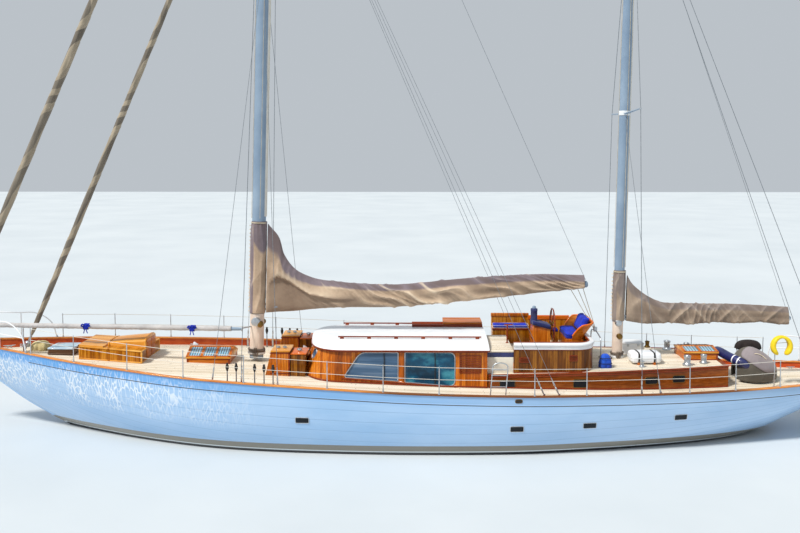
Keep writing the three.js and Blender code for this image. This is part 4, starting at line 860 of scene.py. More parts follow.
def house_wall(x, z):
    """Half breadth of the house at x and z."""
    front = HOUSE["front"] + HOUSE["rake"] * house_share(z)
    half = HOUSE["half"] - HOUSE["lean"] * house_share(z)
    reach = np.clip(1 - (x - front) / HOUSE["nose"], 0, 1)
    angle = np.arccos(reach ** (1 / HOUSE["bend"]))
    return half * np.sin(angle) ** HOUSE["bend"]


WINDOWS = [
    (softened([(-1.56, 1.725), (-0.19, 1.635), (-0.19, 2.355), (-1.14, 2.355)], [0.1, 0.03, 0.03, 0.16]),
     -0.54),
    (softened([(-0.015, 1.61), (1.24, 1.51), (1.24, 2.36), (-0.015, 2.36)], [0.03, 0.16, 0.16, 0.03]), 0.74),
]
DOORWAY = (0.56, 1.18, 1.855)
FRONT_PORTS = ((0.4, 0.13), (1.02, 0.11))
PORT_HEIGHT = 2.2


def house_walls():
    outer = house_plan([HOUSE["foot"], HOUSE["eave"]])
    inner = house_plan([HOUSE["foot"], HOUSE["eave"]], HOUSE["wall"])
    foot = deck_top(outer[:, 0, 0], outer[:, 0, 1]) + BEDDING
    low = house_plan(1.4)[:, 0]
    ring = np.stack([
        np.column_stack([low, foot]),
        np.column_stack([outer[:, 1], np.full(len(low), HOUSE["eave"])]),
        np.column_stack([inner[:, 1], np.full(len(low), HOUSE["eave"])]),
        np.column_stack([inner[:, 0], foot]),
    ], 1)
    return grid(ring, closed=True, looped=True)


walls = piece("house_walls", [house_walls()], UPRIGHT, slot="varnish", replaces="pilothouse")
front_ports = [prism(oval(width, 0.125) + (side * y, PORT_HEIGHT), "x", -3.2, -1.6, 0.0001)
               for y, width in FRONT_PORTS for side in (-1, 1)]
doorway = block((1.9, 2.2), DOORWAY[:2], (DOORWAY[2], 2.6), 0.002, 0.001)
carve(walls, [prism(outline, "y", -2, 2, 0.0001) for outline, _ in WINDOWS] + front_ports + [doorway])

glass, trims, bars = [], [], []
for outline, post in WINDOWS:
    glass.append(pane(outline, house_wall, -0.012))
    trims.append(tube(on_side(outline, house_wall, 0.001), 0.013, 8, looped=True))
    heights = np.array([(post, outline[:, 1].min() + 0.01), (post, outline[:, 1].max())])
    bars.append(sweep(on_side(heights, house_wall, -0.006), rounded(0.016, 0.01, 0.004, 3)))
glass, trims, bars = (both_sides(*shapes) for shapes in (glass, trims, bars))
for y, width in FRONT_PORTS:
    outline = oval(width + 0.01, 0.135)
    share = house_share(PORT_HEIGHT + outline[:, 1])
    reach = np.clip((y + outline[:, 0]) / (HOUSE["half"] - HOUSE["lean"] * share), 0, 0.999)
    angle = np.arcsin(reach ** (1 / HOUSE["bend"]))
    x = HOUSE["front"] + HOUSE["rake"] * share + HOUSE["nose"] * (1 - np.cos(angle) ** HOUSE["bend"])
    rim = xyz(x - 0.002, y + outline[:, 0], PORT_HEIGHT + outline[:, 1])
    trims += both_sides(tube(rim, 0.016, 8, looped=True))
    glass += both_sides(grid(np.stack([rim + [0.014, 0, 0], rim + [0.024, 0, 0]]), closed=True, capped=True))
piece("house_glass", glass, GLASS)
piece("window_rims", trims, STEEL)
piece("window_posts", bars, BLACK)
foot_line = house_plan(1.4)[:, 0]
foot_rail = np.column_stack([foot_line, deck_top(foot_line[:, 0], foot_line[:, 1]) + 0.022])
eave_line = house_plan(2.375, over=0.004)[:, 0]
eave_rail = np.column_stack([eave_line, np.full(len(eave_line), 2.375)])
sill = sweep(on_side(np.array([(-1.62, 1.7), (1.3, 1.49)]), house_wall, 0.008),
             rounded(0.012, 0.02, 0.005, 3))
piece("house_mouldings", [
    sweep(foot_rail, rounded(0.014, 0.02, 0.008, 4), looped=True),
    sweep(eave_rail, rounded(0.014, 0.018, 0.006, 4), looped=True),
] + both_sides(sill), LIPS, slot="varnish")
piece("house_louvres", both_sides(*louvres(1.36, 1.89, 1.85, 2.28, house_wall, 8)), LIPS,
      slot="varnish")

# Roof
ROOF = {"over": 0.055, "edge": 0.075, "crown": 0.15, "low": 2.3953}
ROOF_HALF = HOUSE["half"] - HOUSE["lean"] + ROOF["over"]


def roof_height(y):
    return ROOF["low"] + ROOF["edge"] + ROOF["crown"] * (1 - (y / ROOF_HALF) ** 2)


def roof_skin():
    """Crowned roof: z = low + edge (1 - |f|^8)^0.5 + crown (1 - f^2) over the plan's half breadth w,
    f = y / w."""
    plan = house_plan(HOUSE["eave"], over=ROOF["over"])[:, 0]
    half_plan = plan[1:38]
    x, w = half_plan[:, :1], half_plan[:, 1:]
    f = np.sin(np.linspace(-1, 1, 41)[None] * np.pi / 2)
    crown = ROOF["crown"] * np.minimum(1, np.sqrt(w / ROOF_HALF))
    top = ROOF["low"] + ROOF["edge"] * np.sqrt(np.maximum(1 - np.abs(f) ** 8, 0)) + crown * (1 - f**2)
    upper = xyz(x, f * w, top)
    f_low = np.array([[0.97, 0.0, -0.97]])
    lower = xyz(x, f_low * w, np.full((len(x), 3), ROOF["low"]))
    return grid(np.concatenate([upper, lower], 1), closed=True, capped=True)


roof = piece("house_roof", [roof_skin()], WHITE, slot="white_paint", replaces="pilothouse_roof")
carve(roof, [block((1.08, 2.3), (0.59, 1.15), (2.3, 2.9), 0.02)])
piece("roof_edge", [sweep(
    np.column_stack([house_plan(HOUSE["eave"], over=ROOF["over"] + 0.004)[:, 0],
                     np.full(len(eave_line), ROOF["low"] + 0.012)]),
    rounded(0.01, 0.014, 0.005, 4), looped=True)], LIPS, slot="varnish")


def grab_rail(y, x0, x1, feet):
    """Wooden rail over the roof on small feet."""
    z = roof_height(y) + 0.05
    shapes = [sweep(np.array([(x, y, z) for x in np.linspace(x0, x1, 30)]), rounded(0.018, 0.014, 0.012, 5))]
    for x in np.linspace(x0 + 0.1, x1 - 0.1, feet):
        shapes.append(block((x - 0.05, x + 0.05), (y - 0.014, y + 0.014), (roof_height(y) - 0.01, z), 0.01))
    return shapes


piece("grab_rails", both_sides(*grab_rail(-0.9, -1.75, 1.95, 6)), LIPS, slot="varnish")

# Sliding hatch, its runners, and the companion door
HATCH = {"x": (1.02, 2.085), "y": (0.5, 1.24)}
hatch_low = roof_height(0.56) + 0.006
f = np.linspace(-1, 1, 25)[None]
x = np.linspace(*HATCH["x"], 2)[:, None]
y_hatch = 0.87 + 0.37 * f
top = hatch_low + 0.12 - 0.03 * np.abs(f) ** 2.5
under = np.maximum(roof_height(y_hatch) + 0.004, hatch_low - 0.03)
upper = xyz(x, y_hatch, top)
lower = xyz(x, y_hatch, under)[:, ::-1]
battens = [block((HATCH["x"][0], HATCH["x"][1]), (y - 0.02, y + 0.02), (hatch_low + 0.08, hatch_low + 0.118),
                 0.006)
           for y in (0.53, 1.21)]
piece("sliding_hatch", [grid(np.concatenate([upper, lower], 1), closed=True, capped=True), *battens], VARNISH,
      body="companion_hatch", slot="varnish", replaces="companion_hatch")
runner_y = (0.472, 1.268)
piece("hatch_runners",
      [block((0.16, 2.09), (y - 0.018, y + 0.018), (roof_height(y) - 0.01, roof_height(y) + 0.07), 0.01)
                        for y in runner_y], LIPS, slot="varnish")
door = [block((1.9768, 1.998), (0.552, 1.188), (1.849, 2.387), 0.004, 0.004)]
door += [block((1.996, 2.0044), (y0, y1), (z0, z1), 0.003, 0.002) for y0, y1, z0, z1 in (
    (0.556, 0.63, 1.853, 2.384), (1.11, 1.184, 1.853, 2.384), (0.62, 1.12, 1.853, 1.93),
    (0.62, 1.12, 2.31, 2.384), (0.62, 1.12, 2.09, 2.14))]
piece("cabin_door", door, ATHWART, body="companion_door", slot="varnish", replaces="companion_door")

# Aft trunk
TRUNK_PLAN = np.array([(2.08, 1.545), (3.6, 1.51), (5.2, 1.41), (6.8, 1.21), (8.29, 0.96)])
TRUNK_TOP = (1.79, 1.9, 0.04)


def trunk_half(x, z=None):
    """Half breadth of the trunk, the same at every height."""
    return np.interp(x, TRUNK_PLAN[:, 0], TRUNK_PLAN[:, 1])


def trunk_edge(x):
    return np.interp(x, TRUNK_PLAN[[0, -1], 0], TRUNK_TOP[:2])


def trunk_top(x, y):
    return trunk_edge(x) + TRUNK_TOP[2] * (1 - np.abs(y) / trunk_half(x))


x = np.sort(np.r_[np.linspace(2.08, 8.29, 50), TRUNK_PLAN[1:-1, 0]])[:, None]
half = trunk_half(x)
f = np.linspace(1, -1, 21)[None]
top = xyz(x, f * half, trunk_edge(x) + 0.04 * (1 - np.abs(f)))
foot = xyz(x, -half, deck_top(x, half) + BEDDING), xyz(x, half, deck_top(x, half) + BEDDING)
piece("trunk_cabin", [grid(np.concatenate([top, *foot], 1), closed=True, capped=True)], BROWN, slot="varnish",
      replaces="aft_trunk")
f = f * 0.955
laid = xyz(x, f * half, trunk_edge(x) + 0.04 * (1 - np.abs(f)) + 0.006)
laid = laid[1:-1]
piece("trunk_deck",
      [grid(np.concatenate([laid, laid[:, ::-1] - [0, 0, 0.008]], 1), closed=True, capped=True)], TEAK,
      slot="teak")


def trunk_line(x0, x1, drop, count=40, out=0.004):
    """Line along the port side of the trunk, a drop below its top edge."""
    x = np.linspace(x0, x1, count)
    return xyz(x, -(trunk_half(x) + out), trunk_edge(x) - drop)


mould = rounded(0.01, 0.016, 0.006, 4)
mouldings = [sweep(trunk_line(2.09, 8.285, 0.0), rounded(0.016, 0.02, 0.009, 4)),
             sweep(trunk_line(2.09, 8.285, 0.055), mould)]
x = np.linspace(2.09, 8.285, 40)
mouldings.append(sweep(xyz(x, -(trunk_half(x) + 0.004), deck_top(x, trunk_half(x)) + 0.02),
                       rounded(0.012, 0.018, 0.008, 4)))
across = np.array([(8.292, y, trunk_top(8.29, abs(y)) - 0.004) for y in np.linspace(-0.96, 0.96, 9)])
piece("trunk_mouldings", both_sides(*mouldings) + [sweep(across, mould)], LIPS, slot="varnish")
rims, panes = [], []
for x0, x1, z0, z1 in ((2.365, 2.75, 1.46, 1.665), (4.22, 4.57, 1.465, 1.675), (6.07, 6.4, 1.51, 1.69),
                       (6.79, 7.12, 1.53, 1.71)):
    rim, glass = side_port(((x0 + x1) / 2, (z0 + z1) / 2), (x1 - x0) / 2, (z1 - z0) / 2, trunk_half, 0.04,
                           0.008)
    rims += both_sides(rim)
    panes += both_sides(glass)
piece("trunk_port_rims", rims, BRONZE, slot="bronze")
piece("trunk_port_glass", panes, DARK_GLASS)

# Cockpit
COCKPIT = {"x": (2.73, 4.8), "half": 1.4, "sole": 2.08, "top": 2.49, "wall": 0.06, "corner": 0.48}


def cockpit_plan(depth, steps=14, forward=0.0):
    """Starboard bow end, side, rounded after corner, across and back: a U inside the outer wall by a
    depth."""
    half, radius = COCKPIT["half"] - depth, COCKPIT["corner"] - depth
    aft = COCKPIT["x"][1] - depth
    angle = np.linspace(0, np.pi / 2, steps)
    bend = np.stack([aft - radius + radius * np.sin(angle), half - radius + radius * np.cos(angle)], -1)
    start = np.array([(COCKPIT["x"][0] + forward, half)])
    starboard = np.concatenate([start, bend])
    return np.concatenate([starboard, starboard[::-1] * [1, -1]])


def lifted(outline, z):
    return np.column_stack([outline, np.full(len(outline), z)])


outer, inner = cockpit_plan(0), cockpit_plan(COCKPIT["wall"])
low = xyz(outer[:, 0], outer[:, 1],
          trunk_top(outer[:, 0], np.minimum(np.abs(outer[:, 1]), COCKPIT["half"])) + 0.002)
wall = np.stack([low, lifted(outer, COCKPIT["top"]), lifted(inner, COCKPIT["top"]), lifted(inner, 1.9)], 1)
# Painted shade: the walls take the darker copy of the varnish.
piece("cockpit_walls", [grid(wall, closed=True, capped=True)], SHADED_VARNISH, slot="varnish",
      replaces="cockpit_coaming")
piece("cockpit_sole", [prism(cockpit_plan(0.05), "z", 1.84, COCKPIT["sole"], 0.001)], TEAK, slot="teak")
step_face = [block((2.722, 2.735), (-1.395, 1.395), (1.85, 2.078), 0.004, 0.002)]
piece("cockpit_step", step_face, ATHWART, slot="varnish")
rim_path = lifted(cockpit_plan(0.03, 20, 0.004), 2.5328)
piece("cockpit_capping", [sweep(rim_path, rounded(0.075, 0.0422, 0.036, 6))], WHITE, slot="white_paint",
      replaces="cockpit_rim")
piece("cockpit_rim_apron", [sweep(lifted(cockpit_plan(-0.006), 2.462), rounded(0.008, 0.05, 0.007, 4))],
      WHITE, slot="white_paint")
piece("cockpit_inner_lip",
      [sweep(lifted(cockpit_plan(0.1, 20, 0.004), 2.556), rounded(0.022, 0.034, 0.014, 4))], LIPS,
      slot="varnish")


def coaming_wall(x, z):
    """Half breadth of the coaming, the same everywhere."""
    return np.full_like(x, COCKPIT["half"])


vents = louvres(2.88, 3.12, 2.09, 2.2, coaming_wall, 3) + louvres(4.14, 4.32, 2.13, 2.26, coaming_wall, 3)
piece("cockpit_vents", both_sides(*vents), LIPS, slot="varnish")
band = np.column_stack([outer, trunk_top(outer[:, 0], np.abs(outer[:, 1])) + 0.015])
piece("cockpit_mouldings", [sweep(band, rounded(0.012, 0.016, 0.007, 4)),
                            sweep(lifted(cockpit_plan(-0.006), 2.405), rounded(0.008, 0.01, 0.006, 4))],
                            LIPS, slot="varnish")

# Foredeck box with its hood and lid
DARK_WOOD = varnished("dark_wood", 0, 1, 0, tone(44, 30, 22), tone(86, 62, 44), tone(130, 102, 76))
PALE_BLUE = plain("pale_blue_paint", tone(150, 186, 214), tone(200, 222, 238), 2.0, rough=0.3, coat=0.4)
GOLD = varnished("varnish_golden", 0, 1, 0.11, tone(170, 96, 16), tone(222, 150, 48), tone(248, 200, 112))
GOLD_UPRIGHT = varnished("varnish_golden_upright", 2, 0, 0.055, tone(118, 60, 2), tone(182, 110, 12),
                         tone(226, 162, 58))
SKY_GLASS = plain("pale_glass", tone(120, 176, 208), tone(186, 220, 236), 2.0, 0.0002, rough=0.08, coat=1.0)
FOREBOX = np.array([(-8.6, 0.625, 2.3), (-6.9, 0.785, 2.2)])
HOOD = np.array([(-7.9, 0.42, 2.372, 0.05), (-6.895, 0.43, 2.488, 0.12)])


def box_half(x):
    return np.interp(x, FOREBOX[:, 0], FOREBOX[:, 1])


def box_top(x):
    slope = (FOREBOX[1, 2] - FOREBOX[0, 2]) / (FOREBOX[1, 0] - FOREBOX[0, 0])
    return FOREBOX[0, 2] + slope * (np.asarray(x, float) - FOREBOX[0, 0])


def box_walls():
    x = np.linspace(FOREBOX[0, 0], FOREBOX[1, 0], 12)
    half, top = box_half(x), box_top(x)
    foot = deck_top(x, half) + BEDDING
    y = np.stack([half, half, -half, -half], 1)
    z = np.stack([foot, top, top, foot], 1)
    return grid(xyz(x[:, None], y, z), closed=True, capped=True)


def hood_ring(x, grow=0.0, steps=17):
    """Arch over the box at x: y = half cos(a), z = crown - rise + rise sin(a), with feet in the box."""
    share = (x - HOOD[0, 0]) / (HOOD[1, 0] - HOOD[0, 0])
    half, crown, rise = (HOOD[0, k] + share**(0.8 if k == 2 else 1) * (HOOD[1, k] - HOOD[0, k])
                         for k in (1, 2, 3))
    angle = np.linspace(0, np.pi, steps)
    arch = xyz(np.full(steps, x), (half + grow) * np.cos(angle), crown - rise + (rise + grow) * np.sin(angle))
    foot = box_top(x) - 0.05
    return np.concatenate([[(x, half + grow, foot)], arch, [(x, -half - grow, foot)]])


piece("foredeck_box_walls", [box_walls()], GOLD_UPRIGHT, slot="varnish", replaces="foredeck_box")
piece("foredeck_hood",
      [grid(np.array([hood_ring(x) for x in np.linspace(-7.9, -6.896, 14)]), closed=True, capped=True)],
      GOLD, slot="varnish")
x_box = np.linspace(FOREBOX[0, 0], FOREBOX[1, 0], 20)
box_lines = [xyz(x_box, -box_half(x_box) - 0.003, level(x_box)) for level in (
    lambda x: deck_top(x, box_half(x)) + 0.02, lambda x: box_top(x) - 0.014)]
box_trim = both_sides(*[sweep(line, rounded(0.011, 0.018, 0.006, 4)) for line in box_lines])
for x_end in (FOREBOX[0, 0] + 0.004, FOREBOX[1, 0] - 0.004):
    half = box_half(x_end)
    for level in (deck_top(x_end, half) + 0.02, box_top(x_end) - 0.014):
        box_trim.append(bar((x_end, -half, level), (x_end, half, level), 0.016, sides=6))
    box_trim += both_sides(block((x_end - 0.018, x_end + 0.018), (half - 0.03, half + 0.006),
                                 (deck_top(x_end, half), box_top(x_end)), 0.01))
box_trim += [sweep(hood_ring(x_end, 0.006), rounded(0.013, 0.02, 0.006, 4)) for x_end in (-7.885, -6.915)]
piece("foredeck_box_trim", box_trim, GOLD, slot="varnish")
doors = []
for side in (-1, 1):
    near, far = sorted((side * 0.012, side * 0.37))
    doors.append(block((-6.9, -6.886), (near, far), (1.93, 2.4), 0.004, 0.003))
    doors += [block((-6.888, -6.878), (near + 0.03, far - 0.03), (z, z + 0.022), 0.004, 0.003)
              for z in np.linspace(2.0, 2.32, 9)]
piece("hood_doors", doors, ATHWART, slot="varnish")


def sloping_lid(x0, x1, half, thick):
    """Lid on the box's top: its under side lies flat on it, its upper side a thickness above, falling at the
    edges."""
    x = np.array([x0, x0 + 0.006, x1 - 0.006, x1])[:, None]
    f = np.array([-1, -0.99, -0.7, -0.35, 0, 0.35, 0.7, 0.99, 1])[None]
    fall = np.array([0.01, 0, 0, 0.01])[:, None] + np.where(np.abs(f) == 1, 0.01, 0)
    upper = box_top(x) + 0.0003 + thick - fall
    top = xyz(x, f * half, upper)
    low = xyz(x, f * half, box_top(x) + 0.0003)
    return grid(np.concatenate([top, low[:, ::-1]], 1), closed=True, capped=True)


piece("foredeck_lid_boards", [sloping_lid(-8.625, -7.935, 0.645, 0.0317)], GOLD, body="foredeck_lid",
      slot="varnish", replaces="foredeck_lid")
piece("foredeck_lid_edge",
      [bar((x, -0.645, box_top(x) + 0.016), (x, 0.645, box_top(x) + 0.016), 0.017, sides=6)
                            for x in (-8.61, -7.95)], LIPS, body="foredeck_lid", slot="varnish")

# Forward hatch
hatch_frame = [block((-9.56, -8.89), (-0.33, 0.33), (1.85, 2.13), 0.02, 0.006)]
hatch_frame += [block((-9.575, -8.875), (-0.345, 0.345), (2.0, 2.03), 0.025, 0.008)]
piece("fore_hatch_coaming", hatch_frame, DARK_WOOD, slot="varnish", replaces="fore_hatch_frame")
piece("fore_hatch_cover", [block((-9.575, -8.875), (-0.345, 0.345), (2.1303, 2.172), 0.04, 0.014)], PALE_BLUE,
      body="fore_hatch_lid", slot="white_paint", replaces="fore_hatch_lid")
piece("fore_hatch_pane", [block((-9.5, -8.95), (-0.27, 0.27), (2.165, 2.1748), 0.04, 0.003)], SKY_GLASS,
      body="fore_hatch_lid")
piece("fore_hatch_hinges",
      [block((-8.905, -8.865), (y - 0.03, y + 0.03), (2.12, 2.15), 0.006) for y in (-0.2, 0.2)], STEEL,
      slot="stainless")

# Skylights


def on_slope(shape, half, low, rise, side):
    """Shape of (x, way up the slope, height above it) laid on one side of a gable."""
    run, height = half + 0.025, rise - 0.04
    length = math.hypot(run, height)
    x, u, w = shape[0].T
    y = side * (run - u * run / length + w * height / length)
    z = low + 0.04 + u * height / length + w * run / length
    return xyz(x, y, z), shape[1]


def skylight(name, x0, x1, half, top, rise, foot, panes):
    """Low box with a gabled lid: each slope has framed panes with bars over them."""
    low = top + 0.0003
    piece(f"{name}_box", [block((x0, x1), (-half, half), (foot, top), 0.012, 0.004)], VARNISH, slot="varnish",
          replaces=name)
    trim = []
    for x in (x0 + 0.02, x1 - 0.02):
        trim += both_sides(block((x - 0.025, x + 0.025), (half - 0.03, half + 0.008), (foot, top), 0.008))
    for z in (top - 0.018, foot + 0.07):
        trim += both_sides(block((x0, x1), (half - 0.01, half + 0.01), (z - 0.014, z + 0.014), 0.006))
    piece(f"{name}_trim", trim, LIPS, slot="varnish")
    body = f"{name}_lid"
    eave = half + 0.025
    gable = [(eave, low), (eave, low + 0.036), (0, low + rise - 0.012), (-eave, low + 0.036), (-eave, low)]
    piece(f"{name}_gable", [prism(gable, "x", x0 - 0.02, x1 + 0.02, 0.005)], GOLD, body=body, slot="varnish",
          replaces=body)
    length = math.hypot(eave, rise - 0.04)
    posts = np.linspace(x0 + 0.01, x1 - 0.01, panes + 1)
    frames, glass, bars = [], [], []
    for side in (-1, 1):
        for a, b in zip(posts[:-1], posts[1:]):
            glass.append(on_slope(block((a + 0.04, b - 0.04), (0.07, length - 0.07), (-0.012, -0.004), 0.01,
                                        0.002),
                                  half, low, rise, side))
            bars += [on_slope(bar((x, 0.05, 0.006), (x, length - 0.05, 0.006), 0.006, sides=6), half, low,
                              rise, side)
                     for x in np.linspace(a + 0.06, b - 0.06, 5)]
        frames += [on_slope(block((x - 0.035, x + 0.035), (0.0, length - 0.01), (-0.014, 0.0), 0.008, 0.003),
                            half, low, rise, side) for x in posts]
        frames += [on_slope(block((x0 - 0.015, x1 + 0.015), pair, (-0.014, 0.0), 0.008, 0.003), half, low,
                            rise, side)
                   for pair in ((0.0, 0.065), (length - 0.075, length - 0.01))]
    piece(f"{name}_frames", frames, VARNISH, body=body, slot="varnish")
    piece(f"{name}_panes", glass, SKY_GLASS, body=body)
    piece(f"{name}_bars", bars, BRONZE, body=body, slot="bronze")


skylight("fore_skylight", -5.8, -4.66, 0.48, 1.94, 0.24, 1.72, 3)
skylight("aft_skylight", 7.33, 8.2, 0.43, 2.11, 0.12, 1.87, 2)

# Lockers abaft the main mast
LOCKER = {"x": (-3.65, -2.96), "y": (0.56, 1.29), "top": 2.3, "slope": 0.22}
for name, side in SIDES:
    y0, y1 = sorted(side * value for value in LOCKER["y"])
    foot = 1.6
    lean = LOCKER["slope"] * (foot - 1.3)
    profile = [(LOCKER["x"][0] + lean, foot), (LOCKER["x"][1], foot), (LOCKER["x"][1], LOCKER["top"]),
               (LOCKER["x"][0] + LOCKER["slope"], LOCKER["top"])]
    piece(f"locker_{name}_box", [prism(profile, "y", y0, y1, 0.005)], UPRIGHT, slot="varnish",
          replaces=f"locker_{name}")
    front = [(x - 0.008, z) for x, z in (profile[0], profile[3])]
    boards = np.array([(front[0][0], y, front[0][1] + 0.05) for y in (y0, y1)])
    tops = np.array([(front[1][0], y, front[1][1] - 0.01) for y in (y0, y1)])
    panel = np.stack([boards, tops])
    panel = np.concatenate([panel, panel[:, ::-1] + [0.012, 0, 0]], 1)
    x = LOCKER["x"][1] - 0.012
    posts = [block((x - 0.02, x + 0.02), (y - 0.02, y + 0.02), (foot, LOCKER["top"]), 0.008)
             for y in (y0 + 0.012, y1 - 0.012)]
    ledges = [block((LOCKER["x"][0] + 0.19, LOCKER["x"][1] + 0.004), (y - 0.008, y + 0.008), (z, z + 0.03),
                    0.005)
              for y in (y0, y1) for z in (2.262, 1.74)]
    piece(f"locker_{name}_front", [grid(panel, closed=True, capped=True)], GOLD, slot="varnish")
    piece(f"locker_{name}_trim", posts + ledges, LIPS, slot="varnish")
    lid_x = (LOCKER["x"][0] + LOCKER["slope"] - 0.015, LOCKER["x"][1] + 0.015)
    piece(f"locker_{name}_top", [block(lid_x, (y0 - 0.015, y1 + 0.015), (2.3003, 2.332), 0.02, 0.01)], GOLD,
          body=f"locker_lid_{name}", slot="varnish", replaces=f"locker_lid_{name}")
    vent = [(0, 0), (0.03, 0), (0.03, 0.018), (0.055, 0.026), (0.05, 0.046), (0.02, 0.06), (0, 0.062)]
    vents = [turned(vent, (lid_x[0] + 0.15 + 0.17 * k, side * 0.95, 2.33)) for k in range(2)]
    piece(f"locker_{name}_vents", vents, STEEL, body=f"locker_lid_{name}", slot="stainless")


shelves, shelf_tops, shelf_vents = [], [], []
for side in (-1, 1):
    y0, y1 = sorted((side * 0.58, side * 1.27))
    shelves.append(block((-2.943, -2.56), (y0, y1), (1.6, 2.235), 0.01, 0.004))
    shelf_tops.append(block((-2.943, -2.53), (y0 - 0.012, y1 + 0.012), (2.232, 2.262), 0.015, 0.008))
    shelf_vents.append(turned([(0.001, 0), (0.04, 0), (0.04, 0.03), (0.07, 0.04), (0.06, 0.07),
                               (0.001, 0.085)],
                              (-2.74, side * 0.98, 2.26), sides=28))
# Painted shade: the shelves take the darker copy of the varnish.
piece("locker_shelves", shelves, SHADED_VARNISH, slot="varnish")
piece("locker_shelf_tops", shelf_tops, ORANGE, slot="varnish")
piece("locker_shelf_vents", shelf_vents, STEEL, slot="stainless")


def dome(centre, half_x, half_y, low, high, rows=22, columns=64, square=3.2, wrinkle=0.012, folds=9):
    """Cloth pulled over a lump: r(s) = sin(s pi / 2) to a superellipse of power square, z falls as cos(s
    pi / 2)^0.7, with folds that deepen towards the hem."""
    s = np.linspace(0.04, 1, rows)[:, None]
    angle = round_angles(columns)[None]
    reach = (np.abs(np.cos(angle)) ** square + np.abs(np.sin(angle)) ** square) ** (-1 / square)
    spread = np.sin(s * np.pi / 2) ** 0.8 * reach
    crease = wrinkle * s**2 * (np.sin(folds * angle + 2 * s) + 0.5 * np.sin((folds * 2 + 1) * angle))
    x = centre[0] + (half_x * spread + crease) * np.cos(angle)
    y = centre[1] + (half_y * spread + crease) * np.sin(angle)
    z = low + (high - low) * np.cos(s * np.pi / 2) ** 0.7 + 0.4 * crease * (1 - s)
    return xyz(x, y, z)


BAG_CLOTH = woven("bag_cloth", tone(168, 150, 96), tone(222, 208, 158), 0.01, 3)
cloth("windlass_cover", dome((-9.99, 0.22), 0.25, 0.21, 2.0, 2.25, wrinkle=0.03, folds=6), BAG_CLOTH,
      replaces="windlass", closed=True)
turn = round_angles(60)
lashing = xyz(-9.96 + 0.245 * np.cos(turn), 0.33 + 0.19 * np.sin(turn), 2.09 + 0.01 * np.sin(3 * turn))
piece("windlass_lashing", [tube(lashing, 0.008, 8, looped=True)], ROPE)

# Bridge deck between the house and the cockpit
CREAM = plain("cream_paint", tone(214, 206, 188), tone(238, 232, 218), 2.0, rough=0.45, coat=0.2)
NAVY = plain("navy_paint", tone(18, 24, 70), tone(34, 44, 108), 3.0, 0.0004, rough=0.3, coat=0.5)
bridge_y = (-1.385, 0.48)
piece("bridge_face", [block((2.0503, 2.732), bridge_y, (1.78, 2.21), 0.02, 0.01)], CREAM, slot="white_paint")
# Painted shadow: a recessed navy strip under the boards stands for the shadow of their overhang.
piece("bridge_shadow_band", [block((2.0503, 2.732), (-1.375, 0.47), (2.2, 2.345), 0.01, 0.004)], NAVY)
piece("bridge_boards", [block((2.0503, 2.733), bridge_y, (2.335, 2.385), 0.02, 0.012)], TEAK, slot="teak")

# Steering console with its covered instruments, and the binnacle
profile = [(3.39, 2.0803), (3.83, 2.0803), (3.83, 2.79), (3.41, 2.83), (3.33, 2.5)]
piece("console_body", [prism(profile, "y", -0.26, 0.26, 0.012)], UPRIGHT, slot="varnish", replaces="console")
console_trim = [block((3.825, 3.838), (-0.22, 0.22), (z, z + 0.02), 0.005, 0.003) for z in (2.16, 2.72)]
console_trim += both_sides(block((3.825, 3.838), (0.2, 0.22), (2.16, 2.74), 0.005, 0.003))
console_trim += both_sides(block((3.4, 3.84), (0.25, 0.268), (2.75, 2.785), 0.006, 0.004))
console_trim += both_sides(prism([(3.385, 2.1), (3.41, 2.1), (3.35, 2.5), (3.325, 2.5)], "y", 0.235, 0.265,
                                 0.004))
piece("console_trim", console_trim, LIPS, slot="varnish")
COVER_BLUE = woven("cover_blue", tone(16, 24, 74), tone(34, 50, 124), 0.008, 3)
lid_rows = [(1, 2.75), (1, 2.82), (0.98, 2.842), (0.93, 2.853), (0.6, 2.86), (0.3, 2.862), (0.02, 2.862)]
lid_cover = np.array([lifted(rounded(0.245 * k, 0.29 * k, 0.05 * k, 6) + [3.605, 0], z) for k, z in lid_rows])
ripples = 0.012 * np.sin(9 * lid_cover[..., 1] + 14 * lid_cover[..., 0])
lid_cover[..., 2] -= 0.24 * (lid_cover[..., 0] - 3.605) - ripples
cloth("console_cover", lid_cover, COVER_BLUE, closed=True)
binnacle = [(0.001, 2.8), (0.094, 2.8), (0.094, 2.9), (0.088, 2.92), (0.088, 3.13), (0.094, 3.15),
            (0.094, 3.195), (0.086, 3.21), (0.05, 3.218), (0.001, 3.22)]
hood = [(0.001, 3.21), (0.048, 3.21), (0.05, 3.225), (0.046, 3.262), (0.03, 3.28), (0.001, 3.284)]
piece("binnacle_stand", [turned([(r, z - 3) for r, z in binnacle], (3.43, 0, 3), sides=40)], NAVY)
piece("binnacle_hood", [turned([(r, z - 3) for r, z in hood], (3.43, 0, 3), sides=32)], SPAR)

# Wheel: rim, turned spokes that end in handles, hub and shaft
WHEEL = np.array([3.925, 0, 2.802])
spoke_rows = np.array([(0.03, 0.016), (0.12, 0.011), (0.16, 0.016), (0.2, 0.011), (0.33, 0.012),
                       (0.372, 0.018), (0.405, 0.018), (0.412, 0.01), (0.42, 0.013), (0.436, 0.012),
                       (0.447, 0.004)])
spokes = []
for k in range(6):
    out = np.array([0, math.cos(k * math.pi / 3), math.sin(k * math.pi / 3)])
    spokes.append(tube(WHEEL + spoke_rows[:, :1] * out, spoke_rows[:, 1], 12))
rim_profile = rounded(0.0165, 0.0165, 0.012, 4)
angle = np.arange(72) * 2 * np.pi / 72
wheel_rim = xyz(0 * angle, 0.398 * np.cos(angle), 0.398 * np.sin(angle)) + WHEEL
piece("wheel_wood", [sweep(wheel_rim, rim_profile, looped=True), *spokes], LIPS, body="steering_wheel",
      slot="varnish", replaces="steering_wheel")
